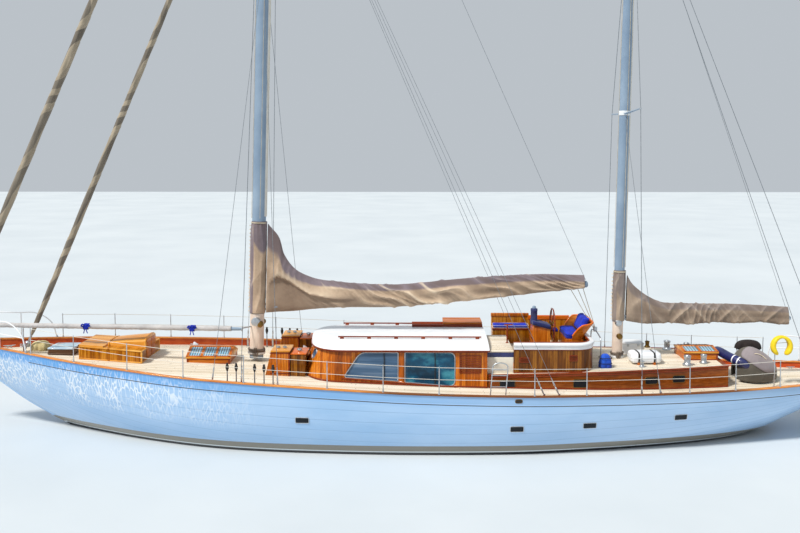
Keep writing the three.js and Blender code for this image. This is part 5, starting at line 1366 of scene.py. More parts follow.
piece("wheel_hub", [turned([(0.001, -0.035), (0.05, -0.035), (0.06, -0.028), (0.06, 0.028), (0.045, 0.035),
                            (0.02, 0.042), (0.001, 0.044)], WHEEL, "x", 32),
                    bar(WHEEL, (3.56, 0, WHEEL[2]), 0.0198, sides=20)], BRONZE, body="steering_wheel",
                    slot="bronze")


def seat_back(depth, columns=73, rows=12):
    """Tub round the helm seat: across the back, round a corner and along an arm. The plan's length, width
    and corner grow with height, and the top edge falls from the back to the arms' ends. depth goes
    inwards."""
    t = np.linspace(-1, 1, columns)[:, None]
    u = np.abs(t)
    top = np.interp(u, [0, 0.42, 0.66, 0.8, 0.93, 1], [2.93, 2.93, 2.895, 2.85, 2.8, 2.6])
    z = 2.42 + np.linspace(0, 1, rows)[None] * (top - 2.42)
    levels = [2.4, 2.59, 2.93]
    aft = np.interp(z, levels, [4.68, 4.7, 4.93]) - depth
    half = np.interp(z, levels, [0.625, 0.655, 0.76]) - depth
    radius = np.interp(z, levels, [0.25, 0.26, 0.33]) - depth
    front = np.interp(z, [2.5, 2.64, 2.84, 2.93], [4.33, 4.36, 4.5, 4.7])
    turn = np.clip((u - 0.42) / 0.28, 0, 1) * np.pi / 2
    along = np.clip((u - 0.7) / 0.3, 0, 1)
    x = aft - radius + radius * np.cos(turn) + along * (np.minimum(front, aft - radius) - (aft - radius))
    y = np.clip(u / 0.42, 0, 1) * (half - radius) + radius * np.sin(turn)
    return xyz(x, np.sign(t) * y, z)


def stuffed(name, shape, finish, low, fill=0.7, voxel=0.014, swell=0.014, channels=(), **place):
    """Cushion: the shape is remeshed and swollen as cloth under pressure, no point moving further than swell
    or below the flat underside at low; then channels press grooves at the given x or y: depth
    exp(-(d / width)^2)."""
    thing = piece(name, [shape], finish, smooth=80, **place)
    apply_modifier(thing, "REMESH", mode="VOXEL", voxel_size=voxel)
    count = len(thing.data.vertices)
    start = np.empty(count * 3)
    thing.data.vertices.foreach_get("co", start)
    start = start.reshape(-1, 3)
    points = start.copy()
    scene = bpy.context.scene
    modifier = thing.modifiers.new("swell", "CLOTH")
    modifier.settings.use_pressure = True
    modifier.settings.uniform_pressure_force = 4.0
    modifier.settings.effector_weights.gravity = 0.0
    for step in range(1, 21):
        scene.frame_set(step)
    swollen = thing.evaluated_get(bpy.context.evaluated_depsgraph_get()).data
    points = np.empty(count * 3)
    swollen.vertices.foreach_get("co", points)
    points = points.reshape(-1, 3)
    thing.modifiers.remove(modifier)
    scene.frame_set(1)
    move = points - start
    reach = np.linalg.norm(move, axis=1, keepdims=True)
    points = start + move * np.minimum(1, swell / np.maximum(reach, 1e-9))
    high = points[:, 2].max()
    upper = np.clip((points[:, 2] - low) / (high - low), 0, 1) ** 2
    for axis, at, depth, width in channels:
        points[:, 2] -= depth * upper * np.exp(-((points[:, axis] - at) / width) ** 2)
    points[:, 2] = np.maximum(points[:, 2], low)
    thing.data.vertices.foreach_set("co", points.ravel())
    thing.data.update()
    apply_modifier(thing, "SUBSURF", levels=1, render_levels=1)
    thing.data.shade_smooth()
    return thing


# Helm seat
outer, inner = seat_back(0), seat_back(0.04)
shell = grid(np.concatenate([outer, inner[:, ::-1]], 1), closed=True, capped=True)
piece("helm_tub", [shell], VARNISH, slot="varnish", replaces="helm_seat")
piece("helm_tub_edge", [tube((outer[:, -1] + inner[:, -1]) / 2, 0.026, 10)], ORANGE, slot="varnish")
piece("helm_base", [block((4.2, 4.64), (-0.6, 0.6), (2.0803, 2.5), 0.02, 0.01)], UPRIGHT, slot="varnish")
seat_pad = rounded(0.2, 0.555, 0.12, 7) + [4.39, 0]
stuffed("helm_cushion_pad", prism(seat_pad, "z", 2.5005, 2.64, 0.036, 6), BLUE_CLOTH, 2.5005, slot="cushion",
        replaces="helm_cushion", channels=[(1, -0.19, 0.009, 0.014), (1, 0.19, 0.009, 0.014)])
piece("helm_cushion_piping",
      [tube(lifted(rounded(0.208, 0.563, 0.125, 9) + [4.39, 0], z), 0.005, 6, looped=True)
                              for z in (2.518, 2.62)], COVER_BLUE)
back_pad = prism(rounded(0.075, 0.43, 0.06, 7) + [4.62, 0], "z", 2.645, 3.03, 0.05, 6)
back_pad = back_pad[0] + (back_pad[0][:, 2:] - 2.645) * [0.42, 0, 0], back_pad[1]
stuffed("helm_back_pad", back_pad, BLUE_CLOTH, 2.645, swell=0.02, slot="cushion",
        channels=[(1, -0.15, 0.02, 0.02), (1, 0.15, 0.02, 0.02)])
piece("stool_box", [block((4.0, 4.15), (0.36, 0.64), (2.0803, 2.5), 0.015, 0.008)], GOLD_UPRIGHT,
      slot="varnish")
stuffed("stool_pad", prism(rounded(0.072, 0.138, 0.03, 6) + [4.075, 0.5], "z", 2.5005, 2.575, 0.02, 6),
        BLUE_CLOTH, 2.5005, slot="cushion")

# Starboard bench, its back and its cushion
bench = [block((2.4, 2.7295), (0.8, 1.285), (1.79, 2.5), 0.015, 0.008),
         block((2.7, 3.42), (0.8, 1.285), (2.0803, 2.5), 0.015, 0.008)]
piece("bench_front", bench, GOLD_UPRIGHT, slot="varnish", replaces="cockpit_bench")
side_board = (3.42, 4.6)
back = [block((2.4, 3.45), (1.235, 1.285), (2.0803, 2.84), 0.02, 0.012),
        block((2.4, 2.73), (1.235, 1.285), (1.79, 2.2)),
        block(side_board, (1.235, 1.285), (2.0803, 2.76), 0.02, 0.012)]
piece("bench_back", back, GOLD_UPRIGHT, slot="varnish")
piece("bench_back_cap", [block((2.39, 3.46), (1.222, 1.29), (2.75, 2.852), 0.02, 0.012)], UPRIGHT,
      slot="varnish")
piece("side_board_cap", [block(side_board, (1.222, 1.29), (2.67, 2.79), 0.02, 0.012)], ORANGE, slot="varnish")
piece("bench_trim", [block((2.39, 3.44), (0.786, 0.81), (2.455, 2.51), 0.01, 0.008)], LIPS, slot="varnish")
bench_pad = rounded(0.485, 0.2, 0.05, 6) + [2.91, 1.018]
stuffed("bench_cushion", prism(bench_pad, "z", 2.5005, 2.582, 0.022, 6), BLUE_CLOTH, 2.5005, slot="cushion",
        channels=[(0, 2.91, 0.007, 0.012)])
piece("bench_piping", [tube(lifted(rounded(0.492, 0.207, 0.055, 9) + [2.91, 1.018], z), 0.005, 6, looped=True)
                       for z in (2.514, 2.574)], MATT_WHITE)

# Masts: x, base, top, rake in degrees, half sizes fore-and-aft and athwart; spreaders: height, half span,
# sweep, lift
MASTS = {"main": (-4.04, 1.78, 22.35, 1.7, 0.185, 0.135), "mizzen": (5.655, 1.83, 15.25, 0.9, 0.135, 0.105)}
SPREADERS = {"main": [(10.7, 1.5, 0.06, 0.07), (15.5, 1.18, 0.05, 0.06)], "mizzen": [(6.56, 1.5, 0.02, 0.06)]}
OFF_WHITE = plain("foot_paint", tone(214, 192, 176), tone(240, 224, 208), 2.0, rough=0.45)


def from_mast(name, points):
    """Points given fore-and-aft, athwart and up the mast turned into the yacht's own frame."""
    x0, base, top, rake = MASTS[name][:4]
    angle = math.radians(rake)
    x, y, z = np.moveaxis(np.asarray(points, float), -1, 0)
    return xyz(x0 + x * math.cos(angle) + z * math.sin(angle), y,
               base - x * math.sin(angle) + z * math.cos(angle))


def raked(name, shape):
    return from_mast(name, shape[0]), shape[1]


def mast_size(name, z):
    """Share of the full section left at a height: whole to 0.62 of the length, then tapering."""
    x0, base, top = MASTS[name][:3]
    return np.interp(z / (top - base), [0, 0.62, 0.82, 1], [1, 1, 0.82, 0.58])


def mast_column(name, low, high, grow=0.0, count=60):
    along, across = MASTS[name][4:]
    z = np.linspace(low, high, count)[:, None]
    angle = round_angles(36)[None]
    size = mast_size(name, z)
    x = (along * size + grow) * np.cos(angle)
    y = (across * size + grow) * np.sin(angle)
    return raked(name, grid(xyz(x, y, z), closed=True, capped=True))


def mast_band(name, z, height, grow):
    """Collar round a mast with rounded edges."""
    along, across = MASTS[name][4:]
    size = float(mast_size(name, z))
    path = oval(along * size + grow * 0.4, across * size + grow * 0.4, 40)
    return raked(name, sweep(lifted(path, z), rounded(grow * 0.6, height / 2, grow * 0.3, 4), looped=True))


# Foot of the mast where it meets the deck or the trunk, in the mast's own height
FEET = {"main": 0.17, "mizzen": 0.04}
for name, (x0, base, top, rake, along, across) in MASTS.items():
    length = top - base
    piece(f"{name}_mast_column", [mast_column(name, FEET[name] - 0.1, length)], SPAR, slot="spar_paint",
          replaces=f"{name}_mast")
    track = [(along - 0.012, 0.021), (along + 0.02, 0.021), (along + 0.02, -0.021), (along - 0.012, -0.021)]
    heights = np.linspace(3.9 if name == "main" else 2.5, length - 0.4, 50)[:, None]
    size = mast_size(name, heights)
    rows = np.stack([np.array([p[0] for p in track]) - along * (1 - size),
                     np.broadcast_to([p[1] for p in track], (50, 4)), np.broadcast_to(heights, (50, 4))], -1)
    wide = 0.075 if name == "main" else 0.045
    strip_x = np.sqrt(np.clip(1 - (np.linspace(-wide, wide, 9) / across) ** 2, 0, 1))[None]
    strip_y = np.broadcast_to(np.linspace(-wide, wide, 9)[None], (50, 9))
    strip = xyz(along * size * strip_x + 0.006, strip_y, heights)
    under = strip[:, ::-1] - [0.02, 0, 0]
    piece(f"{name}_mast_track",
          [raked(name, grid(np.concatenate([strip, under], 1), closed=True, capped=True)),
                                 raked(name, grid(rows, closed=True, capped=True))], TRACK, slot="spar_paint")
    foot_top = 1.28 if name == "main" else 1.04
    piece(f"{name}_mast_foot", [mast_column(name, FEET[name], foot_top, 0.004, 12)], OFF_WHITE,
          slot="white_paint")
    bands = [mast_band(name, FEET[name] + 0.05, 0.06, 0.05), mast_band(name, FEET[name] + 0.11, 0.03, 0.03)]
    bands += [mast_band(name, row[0] + 0.02, 0.12, 0.012) for row in SPREADERS[name]]
    bands += [mast_band(name, length - 0.05, 0.09, 0.014)]
    piece(f"{name}_mast_bands", bands, MATT_WHITE, slot="white_paint")
    blades, ends = [], []
    for z, span, sweep_aft, lift in SPREADERS[name]:
        f = np.linspace(0, 1, 12)[:, None]
        axis = np.concatenate([sweep_aft * f, 0.06 + (span - 0.0103 - 0.06) * f, z + lift * f], 1)
        angle = round_angles(16)[None]
        wide, thick = 0.052 - 0.026 * f, 0.026 - 0.008 * f
        blade = xyz(axis[:, :1] + wide * np.cos(angle), axis[:, 1:2], axis[:, 2:] + thick * np.sin(angle))
        blades += [raked(name, s) for s in both_sides(grid(blade, closed=True, capped=True))]
        tip = axis[-1]
        ends += [raked(name, s) for s in both_sides(
            turned([(0.001, -0.035), (0.024, -0.03), (0.03, 0), (0.024, 0.03), (0.001, 0.035)], tip, "y",
                   16))]
    piece(f"{name}_spreaders", blades, SPAR, slot="spar_paint")
    piece(f"{name}_spreader_ends", ends, STEEL, slot="stainless")

# Masthead fittings
for name in MASTS:
    length = MASTS[name][2] - MASTS[name][1]
    cap = [raked(name, block((-0.14, 0.16), (-0.05, 0.05), (length - 0.03, length - 0.001), 0.02, 0.01))]
    piece(f"{name}_masthead", cap, STEEL, slot="stainless")


# Booms: round, tapering, with goosenecks on the masts
BOOMS = {  # gooseneck height and distance abaft the mast's axis, far end, radii, pin
    "main": (1.472, 0.235, (4.85, 3.87), 0.105, 0.088, 0.018),
    "mizzen": (1.15, 0.185, (10.255, 2.968), 0.072, 0.062, 0.015),
}
for name, (z0, axis, end, radius, tip, pin) in BOOMS.items():
    root = from_mast(name, (axis, 0, z0))
    end = np.array([end[0], 0, end[1]])
    along = unit(end - root)
    length = np.linalg.norm(end - root)
    stations = np.array([0.009 * length, 0.03 + 0.009 * length, 0.3 * length, 0.7 * length, length - 0.03,
                         length])
    sizes = np.array([radius * 0.7, radius, radius * 0.99, (radius + tip) / 2, tip, tip * 0.7])
    piece(f"{name}_boom_spar", [tube(root + stations[:, None] * along, sizes, 28)], SPAR, body=f"{name}_boom",
          slot="spar_paint", replaces=f"{name}_boom")
    cheeks = []
    for side in (-1, 1):
        z = z0 + side * radius * 0.58
        cheeks.append(raked(name, block((axis - pin - 0.012, axis + radius * 1.3), (-0.026, 0.026),
                                        (z - 0.015, z + 0.015), 0.02, 0.004)))
    for share in (0.35, 0.62, 0.985):
        at = root + along * length * share
        cheeks.append(tube(np.array([at - along * 0.03, at + along * 0.03]), (radius + tip) / 2 + 0.006, 28))
    piece(f"{name}_boom_fittings", cheeks, STEEL, body=f"{name}_boom", slot="stainless")
    bracket = [raked(name, block((MASTS[name][4] - 0.04, axis + pin + 0.004), (-0.024, 0.024),
                                 (z0 - radius * 0.4, z0 + radius * 0.4), 0.012, 0.004)),
               raked(name, bar((axis, 0, z0 - radius * 0.9), (axis, 0, z0 + radius * 0.9), pin, sides=20))]
    piece(f"{name}_gooseneck", bracket, STEEL, slot="stainless")


def ridged(q):
    """Sharp creases with round bellies between: (1 - |sin(pi q)|)^1.6."""
    return (1 - np.abs(np.sin(np.pi * q))) ** 1.6


def main_folds(x, t):
    """Diagonal folds of the main cover: they start at the top and run down and aft."""
    warp = 0.3 * np.sin(1.9 * x + 2.2 * t) + 0.2 * np.sin(4.3 * x - 3.1 * t)
    calm = np.clip((x + 2.9) / 0.9, 0.1, 1)
    long_folds = ridged(1.05 * x + 1.9 * t + warp) * (0.65 + 0.35 * np.sin(0.8 * x + 1.1))
    patches = np.clip(0.45 + 0.8 * np.sin(1.7 * x + 3 * t), 0, 1)
    short_folds = ridged(2.9 * x + 3.1 * t + 0.5 * np.sin(2.7 * x + 5 * t)) * patches
    fine = ridged(6.1 * x + 4.6 * t + 0.4 * np.sin(5 * x)) * np.clip(np.sin(1.1 * x + 4 * t + 1), 0, 1)
    return calm * (0.078 * long_folds + 0.044 * short_folds + 0.018 * fine)


def mizzen_folds(x, t):
    """Swags between the ties of the mizzen cover: folds fan down from each tie like the sides of a V."""
    swing = np.abs(((x - 5.9) / 1.22 + 0.1) % 1 - 0.5) * 2
    fans = ridged(1.5 * swing + 1.3 * t + 0.15 * np.sin(5 * x)) * (0.7 + 0.3 * np.sin(1.9 * x))
    fine = ridged(3.9 * swing - 1.6 * t + 0.3 * np.sin(3.1 * x + 4 * t)) * (0.5 + 0.5 * np.sin(2.3 * x + 2))
    return 0.062 * fans + 0.03 * fine


# Line along which the main cover is hitched up near the mast: x and height; the cloth above it stands out
HITCH = np.array([(-3.75, 3.62), (-3.6, 3.93), (-3.42, 4.08), (-3.09, 3.92), (-2.82, 3.74), (-2.56, 3.6),
                  (-2.0, 3.5), (-1.2, 3.46)])


def main_hitch(x, z):
    """Step along the hitch: full just above the line, fading over half a metre upwards, and small upright
    pleats."""
    above = z - np.interp(x, HITCH[:, 0], HITCH[:, 1])
    fade = np.clip((-1.3 - x) / 0.8, 0, 1)
    ledge = np.clip(above / 0.05 + 0.5, 0, 1) * np.exp(-np.maximum(above, 0) / 0.45)
    pleats = ridged(6.5 * x + 0.3 * np.sin(5 * z)) * np.clip(above * 4, 0, 1) * np.clip(1 - above / 0.9, 0, 1)
    return fade * (0.12 * ledge - 0.03 + 0.035 * pleats * np.clip((-2.5 - x) * 2, 0, 1))


def boom_cover(name, rows, folds, hitch, scallop, neck, shaded_crest, count=300, around=84):
    """Cover over boom and sail: each section is full at the boom and drawn in towards its top, open along the
    bottom; its lower edge hangs in scallops and the folds stand out along the section's own normal. Its front
    edge follows the mast. The shade-marking attribute is the depth below the top edge over the given depth of
    the painted shade there."""
    rows = np.asarray(rows, float)
    knots = curve(rows, count * 4)
    x = np.linspace(rows[0, 0], rows[-1, 0], count)
    low, high, half = (np.interp(x, knots[:, 0], knots[:, k])[:, None] for k in (1, 2, 3))
    shade_depth = np.interp(x, *np.transpose(shaded_crest))[:, None]
    angle = np.linspace(-np.pi / 2 + 0.05, 1.5 * np.pi - 0.05, around)[None]
    t = (1 + np.sin(angle)) / 2
    x = np.broadcast_to(x[:, None], (count, around))
    low = low - scallop * np.abs(np.sin(np.pi * ((x - 5.9) / 1.22 + 0.1))) * (1 - t) ** 3
    narrow = 1 - 0.35 * np.maximum(np.sin(angle), 0)
    room = neck + 0.035 * np.clip((x - rows[0, 0]) / 0.25, 0, 1)
    wide = half + (np.maximum(half, room) - half) * np.clip(1.5 - 5 * t, 0, 1)
    power = np.where(np.sin(angle) < 0, 0.42 + 0.58 * np.clip(t * 2, 0, 1) ** 2, 1.0)
    y = wide * narrow * np.sign(np.cos(angle)) * np.abs(np.cos(angle)) ** power
    z = low + t * (high - low)
    ends = np.clip(np.minimum(x - rows[0, 0], rows[-1, 0] - x) / 0.25, 0, 1)
    side = np.clip(np.abs(np.cos(angle)) * 4, 0.25, 1)
    out = (folds(x, t + 0.17 * np.sign(y)) - 0.02 + hitch(x, z)) * ends * side
    y = y + np.sign(np.cos(angle)) * out * (0.35 + 0.65 * np.abs(np.cos(angle)))
    z = z + out * np.sin(angle) * 0.6
    mast_line = from_mast(name, xyz(0 * z + COVER_GAP[name], 0 * z, z - MASTS[name][1]))[..., 0]
    x = x + (mast_line - rows[0, 0]) * np.clip(1 - (x - rows[0, 0]) / 0.6, 0, 1) ** 2
    return xyz(x, y, z), {"shaded_crest": (1 - t) * (high - low) / shade_depth, "fold": out}


def no_hitch(x, z):
    return 0 * x


COVER_GAP = {"main": 0.243, "mizzen": 0.205}  # front edge abaft the mast's axis
MAIN_COVER = [
    (-3.695, 3.085, 5.48, 0.088), (-3.4, 3.105, 5.13, 0.135), (-3.25, 3.112, 4.64, 0.155),
    (-2.95, 3.13, 4.25, 0.175), (-2.55, 3.175, 4.05, 0.19), (-1.7, 3.232, 3.915, 0.2),
    (-0.59, 3.24, 3.85, 0.205), (1.65, 3.425, 4.025, 0.195), (3.69, 3.655, 4.138, 0.175),
    (4.75, 3.768, 4.113, 0.14), ]
MIZZEN_COVER = [
    (5.922, 2.905, 4.12, 0.068), (6.04, 2.895, 3.905, 0.095), (6.25, 2.875, 3.7, 0.115),
    (6.48, 2.86, 3.54, 0.125), (6.79, 2.852, 3.405, 0.135), (7.4, 2.855, 3.368, 0.138),
    (8.9, 2.88, 3.345, 0.128), (10.18, 2.85, 3.27, 0.105), ]
# Painted shade: how deep the band of painted shade reaches under each cover's top edge.
SHADED_CRESTS = {  # x and depth of the greyed cloth under the top edge
    "main": [(-3.6, 0.62), (-3.2, 0.42), (-2.95, 0.27), (-2.65, 0.19), (-2.2, 0.15), (4.8, 0.17)],
    "mizzen": [(5.9, 0.3), (6.5, 0.16), (10.3, 0.14)],
}
for name, rows, folds, hitch, scallop, neck, finish in (
        ("main", MAIN_COVER, main_folds, main_hitch, 0.0, 0.15, CANVAS),
        ("mizzen", MIZZEN_COVER, mizzen_folds, no_hitch, 0.05, 0.108, MIZZEN_CANVAS)):
    surface, values = boom_cover(name, rows, folds, hitch, scallop, neck, SHADED_CRESTS[name])
    cloth(f"{name}_sail_cover", surface, finish,
          body=f"{name}_boom", replaces=f"{name}_cover", attributes=values)


def collar(name, low, high, grow):
    """Cloth wrapped round a mast, open abaft: long upright folds, gathers under the tie at its top and small
    puckers at the lacing in front. Its shade-marking attribute is under 1 beside the lacing and near the top,
    where painted shade lies on the cloth."""
    along, across = MASTS[name][4:]
    z = np.linspace(low, high, 110)[:, None]
    slot = np.interp(z, [low + 0.38, low + 0.45], [0.1, 0.02]) * np.pi
    angle = np.linspace(-1, 1, 96)[None] * (np.pi - slot) + np.pi
    round_half = angle / np.pi
    upright = ridged(3.1 * round_half + 0.3 * np.sin(1.7 * z) + 0.12 * np.sin(4.3 * z + 3 * angle)) * 0.015
    slant = ridged(0.8 * z - 1.3 * round_half + 0.2 * np.sin(3 * z)) * 0.012
    gathers = ridged(7 * round_half + 0.5 * z) * 0.014 * np.exp(-(high - z) / 0.35)
    front = np.exp(-((angle - np.pi) / 0.2) ** 2)
    puckers = 0.006 * np.sin(2 * np.pi * z / 0.11) * front
    ends = np.clip(np.minimum(z - low, high - z) * 8, 0.2, 1)
    out = grow * np.interp(z, [low, high - 0.3, high],
                           [1, 1, 0.4]) + (upright + slant + gathers + puckers) * ends
    behind = np.clip(np.abs(angle - np.pi) / np.pi * 10 - 8, 0, 1)
    out = np.clip(out, 0.009 + 0.024 * behind, 0.044)
    x, y = (along + out) * np.cos(angle), (across + out) * np.sin(angle)
    off_front = np.abs(angle - np.pi)
    shaded_crest = 0.7 + 3 * np.maximum(np.maximum(0.4 - off_front, off_front - 0.95), 0)
    shaded_crest = np.minimum(shaded_crest, 0.8 + np.maximum((high - 0.62 - z + 0.15 * np.sin(2 * angle)) * 3, 0))
    return from_mast(name, xyz(x, y, z)), {"shaded_crest": shaded_crest, "fold": 2 * (out - grow)}


for name, low, high, finish in (("main", 1.29, 3.765, CANVAS), ("mizzen", 1.06, 2.415, MIZZEN_CANVAS)):
    surface, values = collar(name, low, high, 0.02)
    cloth(f"{name}_collar", surface, finish,
          replaces=f"{name}_cover_collar", attributes=values)
    along = MASTS[name][4]
    lacing = []
    for z in np.arange(low + 0.06, high - 0.05, 0.1):
        front = from_mast(name, [(-along - 0.048, s, z) for s in (-0.045, 0.045)])
        lacing.append(tube(curve([front[0], front.mean(0) - [0.012, 0, 0.012], front[1]], 7), 0.011, 6))
    piece(f"{name}_collar_lacing", lacing, LACING)
    throat = mast_band(name, high - 0.04, 0.03, 0.032)
    piece(f"{name}_collar_tie", [throat], ROPE)

# Standing rigging: wires on tensioning screws and plates
WIRE_R = 0.008


def rigging_screw(foot, toward):
    """Fork, bottle-shaped screw and terminal between a plate and its wire."""
    along = unit(np.asarray(toward, float) - foot)
    rows = np.array([(0, 0.014), (0.05, 0.014), (0.06, 0.02), (0.2, 0.022), (0.21, 0.013), (0.25, 0.013),
                     (0.26, 0.02), (0.34, 0.02), (0.37, 0.01), (0.46, 0.01)])
    return tube(np.asarray(foot) + rows[:, :1] * along, rows[:, 1], 12)


def chainplate(x, y, height=0.2):
    """Upright strap on the side deck with a pin through its head."""
    level = float(deck_top(x, abs(y)))
    strap = block((x - 0.027, x + 0.027), (y - 0.009, y + 0.009), (level - 0.03, level + height), 0.008,
                  0.003)
    return [strap, bar((x, y - 0.022, level + height - 0.02), (x, y + 0.022, level + height - 0.02), 0.012,
                       sides=12),
            block((x - 0.06, x + 0.06), (y - 0.04, y + 0.04), (level - 0.004, level + 0.008), 0.02, 0.003)]


CAPS = {"main": ((-3.98, 2.335), 20.3), "mizzen": ((5.79, 2.035), 12.9)}
for name, ((x, y), top) in CAPS.items():
    for side_name, side in SIDES:
        level = float(deck_top(x, y))
        tips = [from_mast(name, (aft, side * span, z + lift)) for z, span, aft, lift in SPREADERS[name]]
        head = from_mast(name, (0, side * MASTS[name][5] * 0.3, top))
        path = np.array([(x, side * y, level + 0.5), *tips, head])
        piece(f"{name}_{side_name}_shroud", [tube(path, WIRE_R, 8)], WIRE, slot="stainless",
              replaces=f"{name}_shroud_{side_name}")
        piece(f"{name}_{side_name}_shroud_screw", [rigging_screw((x, side * y, level + 0.13), path[1]),
                                                   *chainplate(x, side * y)], STEEL, slot="stainless")

# Lower shrouds, two a side on the main mast and one on the mizzen
LOWERS = [("main", -4.71, 2.26, 10.55), ("main", -3.09, 2.38, 10.55), ("mizzen", 6.28, 1.93, 6.45)]
wires, screws = [], []
for name, x, y, top in LOWERS:
    level = float(deck_top(x, y))
    head = from_mast(name, (0, MASTS[name][5] * 0.9, top))
    for side in (-1, 1):
        foot = np.array([x, side * y, level + 0.13])
        end = head * [1, side, 1]
        wires.append(bar(foot + unit(end - foot) * 0.45, end, 0.006, sides=8))
        screws += [rigging_screw(foot, end), *chainplate(x, side * y)]
piece("lower_shrouds", wires, WIRE, slot="stainless")
piece("lower_shroud_screws", screws, STEEL, slot="stainless")

# Mizzen backstays to the stern quarters
for side_name, side in SIDES:
    level = float(deck_top(11.15, 0.78))
    head = from_mast("mizzen", (0.1, side * 0.05, 13.0))
    foot = np.array([11.15, side * 0.78, level + 0.14])
    piece(f"mizzen_{side_name}_backstay", [bar(foot + unit(head - foot) * 0.45, head, WIRE_R, sides=8)], WIRE,
          slot="stainless", replaces=f"mizzen_backstay_{side_name}")
    piece(f"mizzen_{side_name}_backstay_screw", [rigging_screw(foot, head), *chainplate(11.15, side * 0.78)],
          STEEL, slot="stainless")

# Running backstays from the main mast to the side decks
runners, blocks = [], []
for x, y, z_mast in ((3.38, 2.2, 15.4), (3.75, 2.16, 15.4)):
    level = float(deck_top(x, y))
    for side in (-1, 1):
        foot = np.array([x, side * y, level + 0.1])
        head = from_mast("main", (0.12, side * 0.06, z_mast))
        runners.append(bar(foot + unit(head - foot) * 0.3, head, 0.005, sides=6))
        blocks += [rigging_screw(foot, head), *chainplate(x, side * y, 0.14)]
piece("running_backstays", runners, WIRE, slot="stainless")
piece("running_backstay_ends", blocks, STEEL, slot="stainless")


# Furled headsails


def furled(name, foot, head_z, radius, drum, pitch):
    """Headsail rolled round its stay from a foot to a height on the main mast: the roll's radius rises by
    about a tenth over each turn of the given pitch, and the stay carries a drum below and a swivel above."""
    base = np.array([foot[0], 0, foot[1]])
    head = from_mast("main", (-MASTS["main"][4] * 0.4, 0, head_z))
    along = unit(head - base)
    length = float(np.linalg.norm(head - base))
    side = np.array([0, 1.0, 0])
    up = np.cross(along, side)
    h = np.linspace(0.55, length - 0.75, 560)[:, None]
    angle = round_angles(28)[None]
    knots = [0.5, 0.9, length * 0.2, length * 0.55, length * 0.9, length - 0.7]
    sizes = [0.03, radius * 0.75, radius, radius * 0.92, radius * 0.5, 0.02]
    lead = pitch * (1 + 0.08 * np.sin(1.3 * h) + 0.05 * np.sin(3.1 * h))
    turn = h / lead - angle / (2 * np.pi)
    wave = np.abs(turn % 1 - 0.5) * 2
    size = np.interp(h, knots, sizes)
    size = size * (0.93 + 0.09 * (turn % 1)) + 0.004 * np.sin(6 * angle + 5 * h) * (size > 0.04)
    points = base + h[..., None] * along + size[..., None] * (
        np.cos(angle)[..., None] * side + np.sin(angle)[..., None] * up)
    roll = piece(f"{name}_roll", [grid(points, closed=True, capped=True)], SAIL, slot="furled_sail",
                 replaces=f"{name}_furled", attributes={"turn": np.broadcast_to(wave, points.shape[:2])},
                 smooth=30)
    stay = np.array([0, 0.04, 0.19, 0.2, 0.215, 0.22, 0.31, 0.315, 0.33, 0.34, 0.52, 0.56])
    stay_r = np.array([0.012, 0.014, 0.014, 0.06, drum, drum * 0.82, drum * 0.82, drum, drum * 0.9, 0.028,
                       0.028, 0.02])
    swivel = np.array([length - 0.78, length - 0.74, length - 0.62, length - 0.58, length - 0.5, length])
    swivel_r = np.array([0.016, 0.026, 0.026, 0.016, 0.01, 0.01])
    piece(f"{name}_stay", [tube(base + stay[:, None] * along, stay_r, 24),
                           tube(base + swivel[:, None] * along, swivel_r, 16),
                           bar(base + 0.5 * along, base + (length - 0.7) * along, 0.012, sides=8)], STEEL,
          slot="stainless")


furled("jib", (-12.31, 2.33), 20.15, 0.112, 0.09, 1.15)
furled("staysail", (-10.35, 1.96), 15.5, 0.088, 0.08, 0.9)

# Rudder and propeller


def rudder_blade():
    """Blade between its leading and trailing edges: across the chord it is a thin streamlined section."""
    s = np.linspace(0, 1, 40)[:, None]
    lead = np.stack([np.interp(s, [0, 0.86, 0.94, 1], [6.69, 8.865, 9.18, 9.5]),
                     np.interp(s, [0, 0.86, 0.94, 1], [-2.87, -0.228, -0.098, -0.004])], -1)
    stops = [0, 0.3, 0.6, 0.8, 0.94, 1]
    trail = np.stack([np.interp(s, stops, [7.56, 8.42, 9.11, 9.48, 9.6, 9.57]),
                      np.interp(s, stops, [-2.8, -2.05, -1.15, -0.52, -0.07, 0.012])], -1)
    share = np.r_[np.linspace(0, 1, 15), np.linspace(1, 0, 15)][None, :, None]
    side = np.r_[np.ones(15), -np.ones(15)]
    chord = lead + share * (trail - lead)
    half = np.interp(share[..., 0], [0, 0.1, 0.3, 0.95, 1], [0.03, 0.064, 0.06, 0.022, 0.006]) * side
    half = half * np.interp(s, [0, 0.04, 0.96, 1], [0.5, 1, 1, 0.4])
    return xyz(chord[..., 0], half, chord[..., 1])


stock_top = HEEL + STOCK * (np.linalg.norm(HEAD - HEEL) + 0.56)
piece("rudder_blade", [grid(rudder_blade(), closed=True, capped=True)], BOTTOM, body="rudder",
      slot="antifouling", replaces="rudder")
piece("rudder_stock", [bar(HEEL - STOCK * 0.02, stock_top, 0.0519, sides=28)], BOTTOM, body="rudder",
      slot="antifouling")
straps = []
for share in (0.25, 0.55, 0.8):
    at = HEEL + STOCK * share * np.linalg.norm(HEAD - HEEL)
    straps.append(moved(block((0.0, 0.3), (-0.069, 0.069), (-0.03, 0.03), 0.01, 0.004), at + [0.03, 0, 0]))
piece("rudder_straps", straps, BRONZE, body="rudder", slot="bronze")


